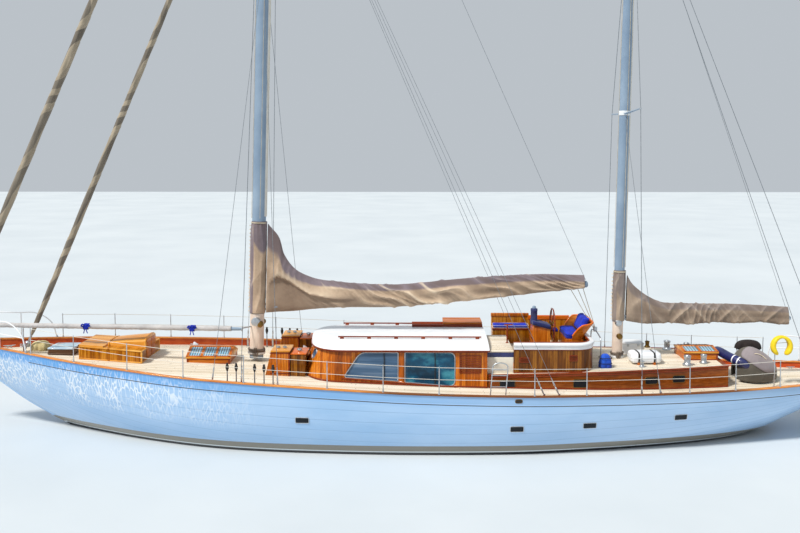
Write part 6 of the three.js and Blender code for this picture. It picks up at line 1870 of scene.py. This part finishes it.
def screw_blade(turn):
    """Blade of the propeller: its half chord is an ellipse of the radius, twisted more towards the hub."""
    radius = np.linspace(0.03, 0.297, 22)[:, None]
    around = round_angles(20)[None]
    half = 0.076 * np.sqrt(np.clip(1 - ((radius - 0.158) / 0.142) ** 2, 0.02, 1))
    twist = 0.45 + 1.6 * (0.158 - radius)
    chord, thick = half * np.cos(around), 0.0085 * np.sin(around)
    across = chord * np.cos(twist) - thick * np.sin(twist)
    along = chord * np.sin(twist) + thick * np.cos(twist)
    y = across * math.cos(turn) - radius * math.sin(turn)
    z = across * math.sin(turn) + radius * math.cos(turn)
    return grid(xyz(along, y, z) + PROP, closed=True, capped=True)


hub = [(0.001, -0.075), (0.05, -0.075), (0.06, -0.06), (0.06, 0.02), (0.05, 0.06), (0.034, 0.09),
       (0.015, 0.102), (0.001, 0.105)]
piece("screw_blades", [screw_blade(k * 2 * math.pi / 3) for k in range(3)], BRONZE, body="propeller",
      slot="bronze", replaces="propeller", smooth=60)
piece("screw_hub", [turned(hub, PROP, "x", 32), bar(PROP - [0.6, 0, 0], PROP, 0.0239, sides=24)], BRONZE,
      body="propeller", slot="bronze")

# Lifelines on posts along the rail
STANCHIONS = [-9.7, -8.39, -6.9, -5.415, -3.9, -1.875, -0.53, 0.81, 3.105, 4.38, 6.985, 8.2, 9.41, 10.08]


def rail_point(x, height, inboard=0.0):
    """Point above the port cap rail, a little inside its middle."""
    return np.array([x, -(float(half_breadth(x, rail_top(x))) - 0.02 - inboard), float(rail_top(x)) + height])


posts, sockets, wires = [], [], []
for x in STANCHIONS:
    foot, head = rail_point(x, -0.012), rail_point(x, 0.665, 0.012)
    posts.append(tube(np.array([foot, head - [0, 0, 0.02], head]), [0.0125, 0.0125, 0.009], 12))
    sockets.append(tube(np.array([foot, foot + [0, 0, 0.02], foot + [0, 0, 0.022], foot + [0, 0, 0.075]]),
                        [0.032, 0.03, 0.018, 0.017], 14))
    for height in (0.35, 0.64):
        at = rail_point(x, height, 0.012 * height / 0.665)
        sockets.append(ring(at, 0.015, 0.004, "z", 6, 14))
for height in (0.35, 0.64):
    line = np.array([rail_point(x, height, 0.012 * height / 0.665) for x in STANCHIONS])
    wires.append(tube(line, 0.006, 8))
for side_name, mirrored in (("port", False), ("starboard", True)):
    piece(f"{side_name}_stanchions", [moved(s, mirrored=mirrored) for s in posts], STEEL, slot="stainless",
          replaces=f"lifelines_{side_name}")
    piece(f"{side_name}_guard_wires", [moved(s, mirrored=mirrored) for s in wires], TRACK, slot="stainless")
    piece(f"{side_name}_stanchion_sockets", [moved(s, mirrored=mirrored) for s in sockets], STEEL,
          slot="stainless")


def end_rail(name, stops, height, bend):
    """Rails round one end of the deck: the top one bends down to the cap rail at its inboard ends."""
    direction = 1 if stops[-1] > stops[0] else -1
    side = [rail_point(stops[0], 0.0), rail_point(stops[0] + direction * bend * 0.25, height * 0.62),
            rail_point(stops[0] + direction * bend, height)]
    side += [rail_point(x, height) for x in stops[1:]]
    side = np.array(side)
    beyond = side[-1] + [direction * 0.03, 0, 0]
    top = np.concatenate([side, [beyond * [1, 0.6, 1]], [beyond * [1, -0.6, 1]], side[::-1] * [1, -1, 1]])
    top = curve(top, 160)
    top[:, 0] = np.clip(top[:, 0], *sorted((stops[0] - direction, stops[-1] + direction * 0.05)))
    shapes = [tube(top, 0.0158, 12)]
    middle = np.array([rail_point(x, height * 0.52) for x in stops])
    middle[0] = rail_point(stops[0] + direction * bend * 0.2, height * 0.52)
    middle = np.concatenate([middle, middle[::-1] * [1, -1, 1]])
    middle = curve(middle, 120)
    middle[:, 0] = np.clip(middle[:, 0], *sorted((stops[0] - direction, stops[-1] + direction * 0.05)))
    shapes.append(tube(middle, 0.0118, 10))
    feet = []
    for x in stops[1:]:
        shapes += both_sides(bar(rail_point(x, -0.012), rail_point(x, height), 0.0138, sides=12))
    for x in stops:
        foot = rail_point(x, 0.0)
        feet += both_sides(tube(np.array([foot, foot + [0, 0, 0.014], foot + [0, 0, 0.016],
                                          foot + [0, 0, 0.05]]),
                                [0.036, 0.034, 0.02, 0.018], 14))
    piece(f"{name}_rails", shapes, WHITE, slot="white_paint", replaces=name)
    piece(f"{name}_feet", feet, STEEL, slot="stainless")


end_rail("pulpit", [-9.85, -10.7, -11.65], 0.7, 0.55)
end_rail("pushpit", [10.2, 11.0, 12.04], 0.68, 0.35)

# Pole stowed in its sleeve, its post, and its fitting on the mast
pole_ends = np.array([(-11.3, -0.45, 2.82), (-4.33, -0.45, 2.722)])
pole_axis = unit(pole_ends[1] - pole_ends[0])
pole_length = float(np.linalg.norm(pole_ends[1] - pole_ends[0]))
piece("pole", [tube(pole_ends[0] + np.array([0, 0.02, 0.06, 0.2, pole_length - 0.2, pole_length - 0.05,
                                             pole_length])[:, None]
                    * pole_axis, [0.02, 0.04, 0.045, 0.045, 0.045, 0.04, 0.03], 20)], SPAR, slot="spar_paint",
      replaces="foredeck_pole")
post_foot = float(deck_top(-10.15, 0.45))
piece("pole_rest", [bar((-10.15, -0.45, post_foot - 0.01), (-10.15, -0.45, 2.75), 0.018, sides=14),
                    bar((-4.42, -0.45, 2.722), (-4.09, -0.02, 2.722), 0.018, sides=12),
                    block((-10.2, -10.1), (-0.5, -0.4), (post_foot - 0.004, post_foot + 0.01), 0.02, 0.004),
                    ring((-4.33, -0.45, 2.722), 0.05, 0.012, "x", 8, 24)], STEEL, slot="stainless")
s = np.linspace(0.16, pole_length - 0.28, 230)[:, None]
angle = np.linspace(-np.pi / 2 + 0.12, 1.5 * np.pi - 0.12, 30)[None]
long_waves = 0.003 * np.sin(2 * np.pi * s / 0.37 + 1.5 * np.sin(angle))
short_waves = 0.002 * np.sin(2 * np.pi * s / 0.13 + 3 * angle)
crease = long_waves + short_waves
pinch = sum(0.008 * np.exp(-((s - at) / 0.05) ** 2) for at in (1.0, 4.2, 6.35))
size = 0.0645 + crease - pinch
ends = pole_ends[0] + s[..., None] * pole_axis
sleeve = ends + size[..., None] * xyz(0 * angle, np.cos(angle), np.sin(angle))
cloth("pole_sleeve", sleeve, SLEEVE, thick=0.003)
ties = []
for at in (2.84, 5.66):
    centre = pole_ends[0] + at * pole_axis
    for shift in (-0.05, -0.015, 0.02, 0.055):
        spot = centre + shift * pole_axis
        turn = round_angles(30)
        loop = spot + xyz(0.012 * np.sin(turn), 0.071 * np.cos(turn), 0.071 * np.sin(turn))
        ties.append(tube(loop, 0.017, 8, looped=True))
    for swing in (-1, 1):
        knot = centre + [0.02 * swing, -0.07, 0.03]
        ties.append(tube(curve([knot, knot + [0.05 * swing, -0.02, 0.045], knot + [0.09 * swing, -0.01, 0.0],
                                knot + [0.04 * swing, 0.0, -0.02]], 14), 0.019, 8))
        ties.append(tube(curve([centre + [0.01 * swing, -0.075, -0.02], centre + [0.03 * swing, -0.08, -0.1],
                                centre + [0.05 * swing, -0.07, -0.17]], 10), 0.013, 8))
piece("sleeve_ties", ties, BLUE_CLOTH)

# Liferaft in its shell, strapped to a cradle
RAFT = (6.24, -0.56)


def raft_shell():
    """Rounded box: rounded rectangles whose half sizes follow a superellipse of height."""
    u = np.linspace(-1, 1, 31)
    shrink = (1 - np.abs(u) ** 3.2) ** (1 / 3.2)
    low = float(trunk_top(RAFT[0], RAFT[1])) + 0.03
    rows = []
    for share, height in zip(shrink, low + (u + 1) / 2 * (2.19 - low)):
        half_x, half_y = 0.29 + 0.108 * share, 0.15 + 0.108 * share
        rows.append(lifted(rounded(half_x, half_y, 0.06 + 0.05 * share, 7) + RAFT, height))
    return grid(np.array(rows), closed=True, capped=True), low


shell, raft_low = raft_shell()
piece("liferaft_shell", [shell], WHITE, slot="white_paint", replaces="liferaft")
middle = (raft_low + 2.19) / 2
raft_parts = [sweep(lifted(rounded(0.4, 0.26, 0.112, 9) + RAFT, middle), rounded(0.006, 0.014, 0.004, 3),
                    looped=True)]
piece("liferaft_seam", raft_parts, MATT_WHITE, slot="white_paint")
straps, cradle = [], []
for x in (RAFT[0] - 0.2, RAFT[0] + 0.2):
    turn = round_angles(48)
    power = (np.abs(np.cos(turn)) ** 5 + np.abs(np.sin(turn)) ** 5) ** (-1 / 5)
    loop = xyz(np.full(48, x), RAFT[1] + 0.262 * power * np.cos(turn),
               middle + (2.194 - middle) * power * np.sin(turn))
    straps.append(sweep(loop, rounded(0.022, 0.003, 0.002, 3)[:, ::-1], looped=True))
    base = float(trunk_top(x, RAFT[1]))
    cradle.append(block((x - 0.03, x + 0.03), (RAFT[1] - 0.27, RAFT[1] + 0.27), (base - 0.01, base + 0.06),
                        0.01))
piece("liferaft_straps", straps, DARK_CLOTH)
piece("liferaft_cradle", cradle, VARNISH, slot="varnish")

# Chest abaft the mizzen mast
chest_foot = float(trunk_top(6.2, 0.6))
piece("deck_chest_body", [block((5.9, 6.48), (0.38, 0.86), (chest_foot - 0.02, 2.15), 0.04, 0.01)], WHITE,
      slot="white_paint", replaces="deck_chest")
piece("deck_chest_top", [block((5.89, 6.49), (0.37, 0.87), (2.145, 2.2), 0.05, 0.02),
                         block((5.98, 6.4), (0.46, 0.78), (2.19, 2.1999), 0.03, 0.004)], MATT_WHITE,
                         slot="white_paint")
piece("deck_chest_catches",
      [block((x - 0.03, x + 0.03), (0.362, 0.385), (2.1, 2.17), 0.006) for x in (6.05, 6.33)], STEEL,
      slot="stainless")


def winch(x, y, base, scale=1.0):
    """Base flange, waisted drum with a knurled look, and top plate with a socket."""
    rows = np.array([(0.001, 0), (0.095, 0), (0.095, 0.03), (0.072, 0.045), (0.058, 0.07), (0.053, 0.11),
                     (0.056, 0.14), (0.07, 0.168), (0.073, 0.19), (0.066, 0.203), (0.035, 0.206),
                     (0.03, 0.214), (0.02, 0.2145), (0.018, 0.2), (0.001, 0.2)]) * scale
    ribs = [bar((x + 0.056 * scale * math.cos(a), y + 0.056 * scale * math.sin(a), base + 0.065 * scale),
                (x + 0.056 * scale * math.cos(a), y + 0.056 * scale * math.sin(a), base + 0.145 * scale),
                0.005 * scale, sides=5) for a in np.arange(16) * math.pi / 8]
    return [turned(rows, (x, y, base), sides=36), *ribs]


for side_name, side in SIDES:
    level = float(trunk_top(7.26, 0.88))
    piece(f"{side_name}_winch", winch(7.26, side * 0.88, level - 0.001, 1.3), STEEL, slot="stainless",
          replaces=f"winch_{side_name}")
small = winch(6.07, -0.98, float(trunk_top(6.07, 0.98)) - 0.001, 0.82)
small += winch(6.07, 0.98, float(trunk_top(6.07, 0.98)) - 0.001, 0.82)
for side in (-1, 1):
    small += winch(7.74, side * 0.7, float(trunk_top(7.74, 0.7)) - 0.001, 1.15)
piece("sheet_winches", small, STEEL, slot="stainless")
post_base = float(trunk_top(6.55, 0.3))
piece("winch_post", [block((6.46, 6.64), (0.21, 0.39), (post_base - 0.02, post_base + 0.2), 0.03, 0.01)],
      CREAM, slot="white_paint")
piece("post_winch", winch(6.55, 0.3, post_base + 0.199, 0.85), BRONZE, slot="bronze")


# Tender on the after deck: a fitted cover with a pale panel, a dark tube round its bow and a bag on it


def tender_skin(x, angle, out=0.0):
    """Cover: x runs aft; each section is a half oval over the deck whose width and height come from the
    sections."""
    rows = np.array([(8.66, 0.2, 1.9), (8.8, 0.42, 2.14), (9.05, 0.54, 2.26), (9.35, 0.52, 2.16),
                     (9.62, 0.36, 1.96), (9.74, 0.18, 1.8)])
    table = curve(rows, 300)
    half = np.interp(x, table[:, 0], table[:, 1])
    top = np.interp(x, table[:, 0], table[:, 2])
    low = deck_top(x, 0.3) + 0.1
    seam = np.exp(-((np.sin(angle) - 0.3) / 0.06) ** 2)
    under = np.clip(0.3 - np.sin(angle), 0, 1)
    out = out + 0.012 * ridged(3.1 * x + 0.9 * np.abs(angle - 1.57)) * (1 - np.sin(angle)) - 0.02 * seam
    y = -0.32 + (half * (1 - 0.45 * under) + out) * np.sign(np.cos(angle)) * np.abs(np.cos(angle)) ** 0.8
    z = low + (top - low) * np.maximum(np.sin(angle), -0.1) + 0.5 * out
    return np.stack(np.broadcast_arrays(x, y, z), -1)


skin = tender_skin(np.linspace(8.67, 9.73, 60)[:, None], np.linspace(-0.1, np.pi + 0.1, 56)[None])
cloth("tender_canvas", skin, TENDER_CLOTH,
      replaces="covered_tender")
reach, turn = np.linspace(0.03, 1, 14)[:, None], round_angles(56)[None]
panel = tender_skin(9.24 + 0.46 * reach * np.cos(turn),
                    2.2 + 0.6 * reach * np.sin(turn) + 0.2 * reach * np.cos(turn),
                    0.014 + 0.022 * (1 - reach ** 5))
cloth("tender_panel", panel, PANEL_CLOTH, closed=True)
s = np.linspace(0, 1, 16)
handle = tender_skin(9.05 + 0.3 * s, 2.16 + 0.12 * s - 0.06 * np.sin(np.pi * s),
                     0.05 + 0.012 * np.sin(np.pi * s))
piece("tender_handle", [tube(handle, 0.009, 8)], LACING)
tube_path = curve([(8.98, -0.66, 1.78), (8.76, -0.6, 1.9), (8.55, -0.25, 1.98), (8.42, 0.1, 2.04),
                   (8.4, 0.3, 2.02)], 40)
tube_path[:, 2] = np.maximum(tube_path[:, 2], deck_top(tube_path[:, 0], tube_path[:, 1]) + 0.12)
taper = np.interp(np.linspace(0, 1, 40), [0, 0.06, 0.94, 1], [0.05, 0.12, 0.12, 0.05])
piece("tender_tube", [tube(tube_path, taper, 24)], NAVY)
bands = [tube(tube_path[k:k + 2], 0.123, 24) for k in (10, 14)]
piece("tender_bands", bands, WHITE)
bow_bag = dome((9.12, -0.1), 0.33, 0.17, 2.16, 2.4, rows=20, columns=60, square=2.6, wrinkle=0.022, folds=7)
cloth("tender_bow_bag", bow_bag, DARK_CLOTH, closed=True)

# Horseshoe lifebuoy on its post by the stern rail
BUOY = np.array([9.64, -0.93, 2.42])
turn = np.linspace(-0.5 * np.pi + 0.42, 1.5 * np.pi - 0.42, 60)
horseshoe = BUOY + xyz(0.215 * np.cos(turn), 0 * turn, 0.235 * np.sin(turn))
thick = np.interp(np.linspace(0, 1, 60), [0, 0.03, 0.1, 0.3, 0.5, 0.7, 0.9, 0.97, 1],
                  [0.3, 0.75, 1, 0.9, 0.62, 0.9, 1, 0.75, 0.3])
profile = rounded(0.055, 0.105, 0.05, 6)
piece("lifebuoy_horseshoe", [sweep(horseshoe, profile[None] * thick[:, None, None])], YELLOW, slot="buoy",
      replaces="lifebuoy")
buoy_foot = float(deck_top(9.475, 0.93))
piece("lifebuoy_post", [bar((9.475, -0.93, buoy_foot - 0.01), (9.475, -0.93, 2.51), 0.014, sides=14),
                        bar((9.475, -0.93, 2.49), (9.9, -0.93, 2.52), 0.007, sides=8),
                        block((9.44, 9.51), (-0.965, -0.895), (buoy_foot - 0.004, buoy_foot + 0.01), 0.02,
                              0.004)],
      STEEL, slot="stainless")

# Boarding ladder stowed upright by the port rail
LADDER_Y = -2.33
ladder = []
for x in (2.05, 2.42):
    foot = float(deck_top(x, -LADDER_Y))
    ladder.append(bar((x, LADDER_Y, foot + 0.003), (x + 0.06, LADDER_Y, 2.2), 0.0138, sides=14))
for share in (0.3, 0.5, 0.7, 0.9):
    z = 1.5 + share * 0.7
    ladder.append(bar((2.08, LADDER_Y, z), (2.45, LADDER_Y, z), 0.0118, sides=10))
ladder.append(tube(curve([(2.11, LADDER_Y, 2.2), (2.13, LADDER_Y, 2.235), (2.46, LADDER_Y, 2.235),
                          (2.48, LADDER_Y, 2.2)], 20),
                   0.0138, 14))
piece("ladder_frame", ladder, STEEL, slot="stainless", replaces="boarding_ladder")

# Ports in the hull, and fairleads through the strake under the rail
rims, panes = [], []
for x, z in ((-2.49, 0.915), (2.69, 0.716), (4.48, 0.748), (6.79, 0.857)):
    rim, glass = side_port((x, z), 0.165, 0.072, half_breadth, 0.03, 0.0095)
    rims += both_sides(rim)
    panes += both_sides(glass)
piece("hull_port_rims", rims, STEEL, slot="stainless")
piece("hull_port_glass", panes, DARK_GLASS)
FAIRLEAD_X = 2.72
fairlead = (FAIRLEAD_X, float(rail_top(FAIRLEAD_X)) - 0.13)
rim, mouth = side_port(fairlead, 0.085, 0.04, half_breadth, 0.038, 0.0095)
piece("fairlead_lips", both_sides(rim), BRONZE, slot="bronze")
# Painted shade: a black pane fills each fairlead's opening and stands for the shade inside it.
piece("fairlead_mouths", both_sides(mouth), BLACK)


def deck_point(x, y):
    """Point on the deck."""
    return np.array([x, y, float(deck_top(x, abs(y)))])


# Belaying posts along the main rigging: a pale post with a turned black head
posts, heads = [], []
head_rows = [(0.001, 0.4), (0.02, 0.4), (0.026, 0.43), (0.04, 0.46), (0.042, 0.52), (0.026, 0.55),
             (0.03, 0.575), (0.02, 0.595), (0.001, 0.6)]
for x in (-4.35, -4.13, -3.68, -3.45, -3.23):
    for side in (-1, 1):
        foot = deck_point(x, side * 2.2)
        posts.append(tube(foot + np.array([(0, 0, -0.01), (0, 0, 0.012), (0, 0, 0.016), (0, 0, 0.41)]),
                          [0.03, 0.03, 0.016, 0.015], 12))
        heads.append(turned(head_rows, foot, sides=16))
piece("belaying_posts", posts, WIRE, slot="stainless")
piece("belaying_heads", heads, BLACK)

# Winches on the masts: drums that stand out to the side
drum = np.array([(0.001, 0.1), (0.075, 0.1), (0.075, 0.13), (0.1, 0.14), (0.088, 0.17), (0.07, 0.2),
                 (0.07, 0.24), (0.09, 0.27), (0.098, 0.29), (0.09, 0.31), (0.05, 0.325), (0.001, 0.33)])
bright, dark = [], []
for name, along, up, size, group in (("main", 0.0, 1.09, 1.2, bright), ("main", 0.12, 1.02, 0.8, dark),
                                     ("mizzen", -0.02, 1.02, 0.85, bright),
                                     ("mizzen", 0.02, 0.66, 0.75, dark)):
    for side in (-1, 1):
        centre = from_mast(name, (along, 0, up))
        group.append(turned(drum * [size, side * (0.85 if name == "main" else 0.72)], centre, "y", 32))
piece("mast_winches", bright, STEEL, slot="stainless")
piece("mast_winches_bronze", dark, BRONZE, slot="bronze")

# Cowl ventilators and deck fittings
cowls, mouths = [], []
for x, y, height in ((-2.72, -0.42, 0.3), (-2.72, 0.42, 0.3), (-5.72, 0.35, 0.27), (5.05, 0.95, 0.3)):
    base = deck_point(x, y) if x < 3 else np.array([x, y, float(trunk_top(x, abs(y)))])
    neck = base + np.array([(0, 0, -0.01), (0, 0, 0.02), (0, 0, 0.03), (0, 0, height * 0.6),
                            (-0.01, 0, height * 0.82), (-0.045, 0, height), (-0.09, 0, height + 0.01),
                            (-0.1, 0, height + 0.01)])
    cowls.append(tube(neck, [0.075, 0.075, 0.045, 0.045, 0.05, 0.062, 0.085, 0.088], 22))
    # Painted shade: a navy disc closes the mouth of each cowl and stands for the shaded hollow inside it.
    mouths.append(bar(neck[-1] - [0.002, 0, 0], neck[-1] + [0.001, 0, 0], 0.074, sides=22))
piece("cowl_vents", cowls, WHITE, slot="white_paint")
piece("cowl_mouths", mouths, NAVY)


def horn_cleat(at, turn, size=1.0):
    """Two-horned cleat: a tapered bar that rises to its ends, on two feet."""
    x = np.linspace(-0.12, 0.12, 13) * size
    rise = 0.05 * size + 0.9 * x**2 / size
    sizes = np.interp(np.abs(x), [0, 0.06 * size, 0.12 * size], [0.016, 0.014, 0.006]) * size
    shape = tube(xyz(x, 0 * x, rise), sizes, 10)
    feet = [bar((k * 0.035 * size, 0, -0.004), (k * 0.03 * size, 0, 0.05 * size), 0.014 * size, 0.011 * size,
                10)
            for k in (-1, 1)]
    return [moved(turned_about(s, (0, 0, 0), "z", turn), at) for s in (shape, *feet)]


cleats = []
for x in (-9.3, -6.2, -0.1, 5.53, 8.05, 10.7):
    y = float(half_breadth(x, rail_top(x))) - 0.26
    for side in (-1, 1):
        cleats += horn_cleat(deck_point(x, side * y), 0)
for side in (-1, 1):
    cleats += horn_cleat(deck_point(-10.9, side * 0.32), 20 * side, 1.3)
piece("horn_cleats", cleats, STEEL, slot="stainless")
chocks = []
for x in (-10.6, -7.6, 4.75, 9.9):
    for side in (-1, 1):
        y = side * (float(half_breadth(x, rail_top(x))) - 0.24)
        at = deck_point(x, y)
        chocks.append(moved(block((-0.07, 0.07), (-0.03, 0.03), (-0.003, 0.03), 0.02, 0.006), at))
        chocks += [ring(at + [k * 0.032, 0, 0.075], 0.03, 0.011, "y", 8, 24) for k in (-1, 1)]
piece("lead_blocks", chocks, STEEL, slot="stainless")

# Rope coils hung on the masts and lines made up on deck
coils = []
for name, up, count in (("main", 0.2, 7), ("mizzen", 0.16, 3)):
    along, across = MASTS[name][4:]
    turn = round_angles(48)
    for k in range(count):
        out = 0.026 + 0.008 * (k % 3)
        loop = xyz((along + out) * np.cos(turn), (across + out) * np.sin(turn),
                   up + 0.022 * k + 0.012 * np.sin(turn + k))
        coils.append(tube(from_mast(name, loop), 0.013, 7, looped=True))
    for k in range(3):
        hang = from_mast(name, [(0.03 * k - 0.03, -across - 0.045, up + 0.022 * count + 0.02),
                                (0.03 * k - 0.06, -across - 0.07, up - 0.02),
                                (0.03 * k - 0.02, -across - 0.06, up - 0.1),
                                (0.03 * k + 0.01, -across - 0.045, up + 0.05)])
        coils.append(tube(curve(hang, 24), 0.011, 7))
piece("hung_coils", coils, DARK_ROPE)
flakes = []
for x, y in ((4.95, 1.45), (7.95, -1.4)):
    t = np.linspace(0, 1, 150)
    reach = 0.05 + 0.13 * t
    spiral = xyz(x + reach * np.cos(14 * np.pi * t), y + reach * np.sin(14 * np.pi * t), 0 * t)
    spiral[:, 2] = deck_top(spiral[:, 0], np.abs(spiral[:, 1])) + 0.011
    flakes.append(tube(spiral, 0.01, 7))
piece("flaked_lines", flakes, ROPE)

# Halyards led down the masts, topping lifts to the boom ends
halyards = []
for name, places, top in (("main", ((-0.19, 0.06), (-0.19, -0.06), (0.05, 0.16), (0.05, -0.16)), 20.2),
                          ("mizzen", ((-0.14, 0.05), (0.05, 0.125), (0.05, -0.125)), 13.0)):
    start = 3.85 if name == "main" else 2.5
    for along, across in places:
        halyards.append(bar(from_mast(name, (along, across, start)),
                            from_mast(name, (along, across * 0.7, top)), 0.006, sides=6))
piece("halyards", halyards, ROPE)
for name, end, reach in (("main", (4.8, 0, 3.97), 20.1), ("mizzen", (10.2, 0, 3.04), 12.9)):
    head = from_mast(name, (0.16, 0, reach))
    lift = piece(f"{name}_topping_lift", [bar(np.array(end), head, 0.005, sides=6)], WIRE, body=None,
                 slot="stainless")
    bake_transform(lift)

# Main sheet: from the boom's end to a block on the horse abaft the cockpit
horse_x, horse_z = 5.09, 2.56
horse = [tube(curve([(horse_x, -0.62, 1.98), (horse_x, -0.62, 2.3), (horse_x, -0.56, 2.52),
                     (horse_x, -0.4, horse_z), (horse_x, 0.4, horse_z), (horse_x, 0.56, 2.52),
                     (horse_x, 0.62, 2.3), (horse_x, 0.62, 1.98)], 60),
              0.016, 12)]
piece("sheet_horse", horse, STEEL, slot="stainless")
parts, blocks, boom_blocks = [], [], []
for along, across in ((-0.35, -0.03), (-0.15, 0.0), (0.0, 0.03)):
    head = np.array([4.72 + along, across, 3.8 + 0.072 * along])
    parts.append(bar((horse_x - 0.02 + 0.15 * along, across, horse_z + 0.13), head, 0.009, sides=7))
    boom_blocks.append(moved(block((-0.035, 0.035), (-0.014, 0.014), (-0.06, 0.05), 0.02, 0.005), head))
for across in (-0.04, 0.0, 0.04):
    blocks.append(moved(block((-0.045, 0.045), (-0.014, 0.014), (-0.05, 0.06), 0.025, 0.005),
                        (horse_x - 0.02, across, horse_z + 0.09)))
sheet = piece("main_sheet", parts, ROPE, body=None)
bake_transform(sheet)
piece("main_sheet_blocks", blocks, STEEL, slot="stainless")
piece("boom_sheet_blocks", boom_blocks, STEEL, body="main_boom", slot="stainless")

# Bag of blue cloth on the trunk and a post on the bridge deck
bag_foot = float(trunk_top(5.12, 0.95))
bag = dome((5.13, -0.97), 0.155, 0.13, bag_foot + 0.004, bag_foot + 0.36, square=3.4, wrinkle=0.014, folds=6)
BRIGHT_BLUE = woven("bright_blue_cloth", tone(8, 48, 160), tone(30, 96, 214), 0.008, 5)
cloth("blue_bag", bag, BRIGHT_BLUE, closed=True)
straps = []
for z in (0.12, 0.26):
    straps.append(tube(lifted(rounded(0.16, 0.135, 0.09, 8) + [5.13, -0.97], bag_foot + z), 0.008, 6,
                       looped=True))
piece("bag_straps", straps, DARK_CLOTH)
piece("bridge_post", [bar((2.66, -0.5, 2.384), (2.66, -0.5, 2.86), 0.02, 0.017, 14),
                      bar((2.58, -0.5, 2.86), (2.8, -0.5, 2.87), 0.018, sides=12),
                      turned([(0.001, 0), (0.04, 0), (0.04, 0.012), (0.022, 0.02), (0.001, 0.02)],
                             (2.66, -0.5, 2.384))], LIPS,
      slot="varnish")

# Camera, light and floor

EYE = (0.154, -22.6, 7.283)
YAW, PITCH = math.radians(0.8), math.atan(54.5 / 850)
LENS, SENSOR, SHIFT, FAR = 38.25, 36, -0.07, 500
SKY, SKY_STRENGTH = (0.86, 0.93, 1.0, 1.0), 0.58
SUN, SUN_STRENGTH, SUN_SPREAD = (1.0, 0.965, 0.9), 3.6, math.radians(9)
SUN_WAY = Vector((0.6, 0.42, -1.0))
FLOOR = 150


def place_camera():
    lens = bpy.data.cameras.new("camera")
    lens.sensor_width = SENSOR
    lens.lens = LENS
    lens.shift_y = SHIFT
    lens.clip_end = FAR
    camera = bpy.data.objects.new("camera", lens)
    camera.location = EYE
    camera.rotation_euler = (math.pi / 2 - PITCH, 0, YAW)
    bpy.context.scene.collection.objects.link(camera)
    bpy.context.scene.camera = camera


def place_lights():
    world = bpy.data.worlds.new("studio")
    world.use_nodes = True
    background = world.node_tree.nodes["Background"]
    background.inputs[0].default_value = SKY
    background.inputs[1].default_value = SKY_STRENGTH
    bpy.context.scene.world = world
    sun = bpy.data.lights.new("key", "SUN")
    sun.energy = SUN_STRENGTH
    sun.angle = SUN_SPREAD
    sun.color = SUN
    lamp = bpy.data.objects.new("key", sun)
    lamp.rotation_euler = SUN_WAY.to_track_quat("-Z", "Y").to_euler()
    bpy.context.scene.collection.objects.link(lamp)
    bpy.context.scene.view_settings.view_transform = "Standard"


def place_floor():
    f = Finish("floor", rough=0.6)
    f.paint(f.ramp(f.noise(0.15), [(0.3, tone(196, 204, 210)), (0.7, tone(206, 213, 218))]))
    plane = FLOOR * np.array([[[-1, -1, 0], [1, -1, 0]], [[-1, 1, 0], [1, 1, 0]]], float)
    floor = piece("floor", [grid(plane)], f, body=None)


place_camera()
place_lights()
place_floor()
bpy.context.view_layer.update()
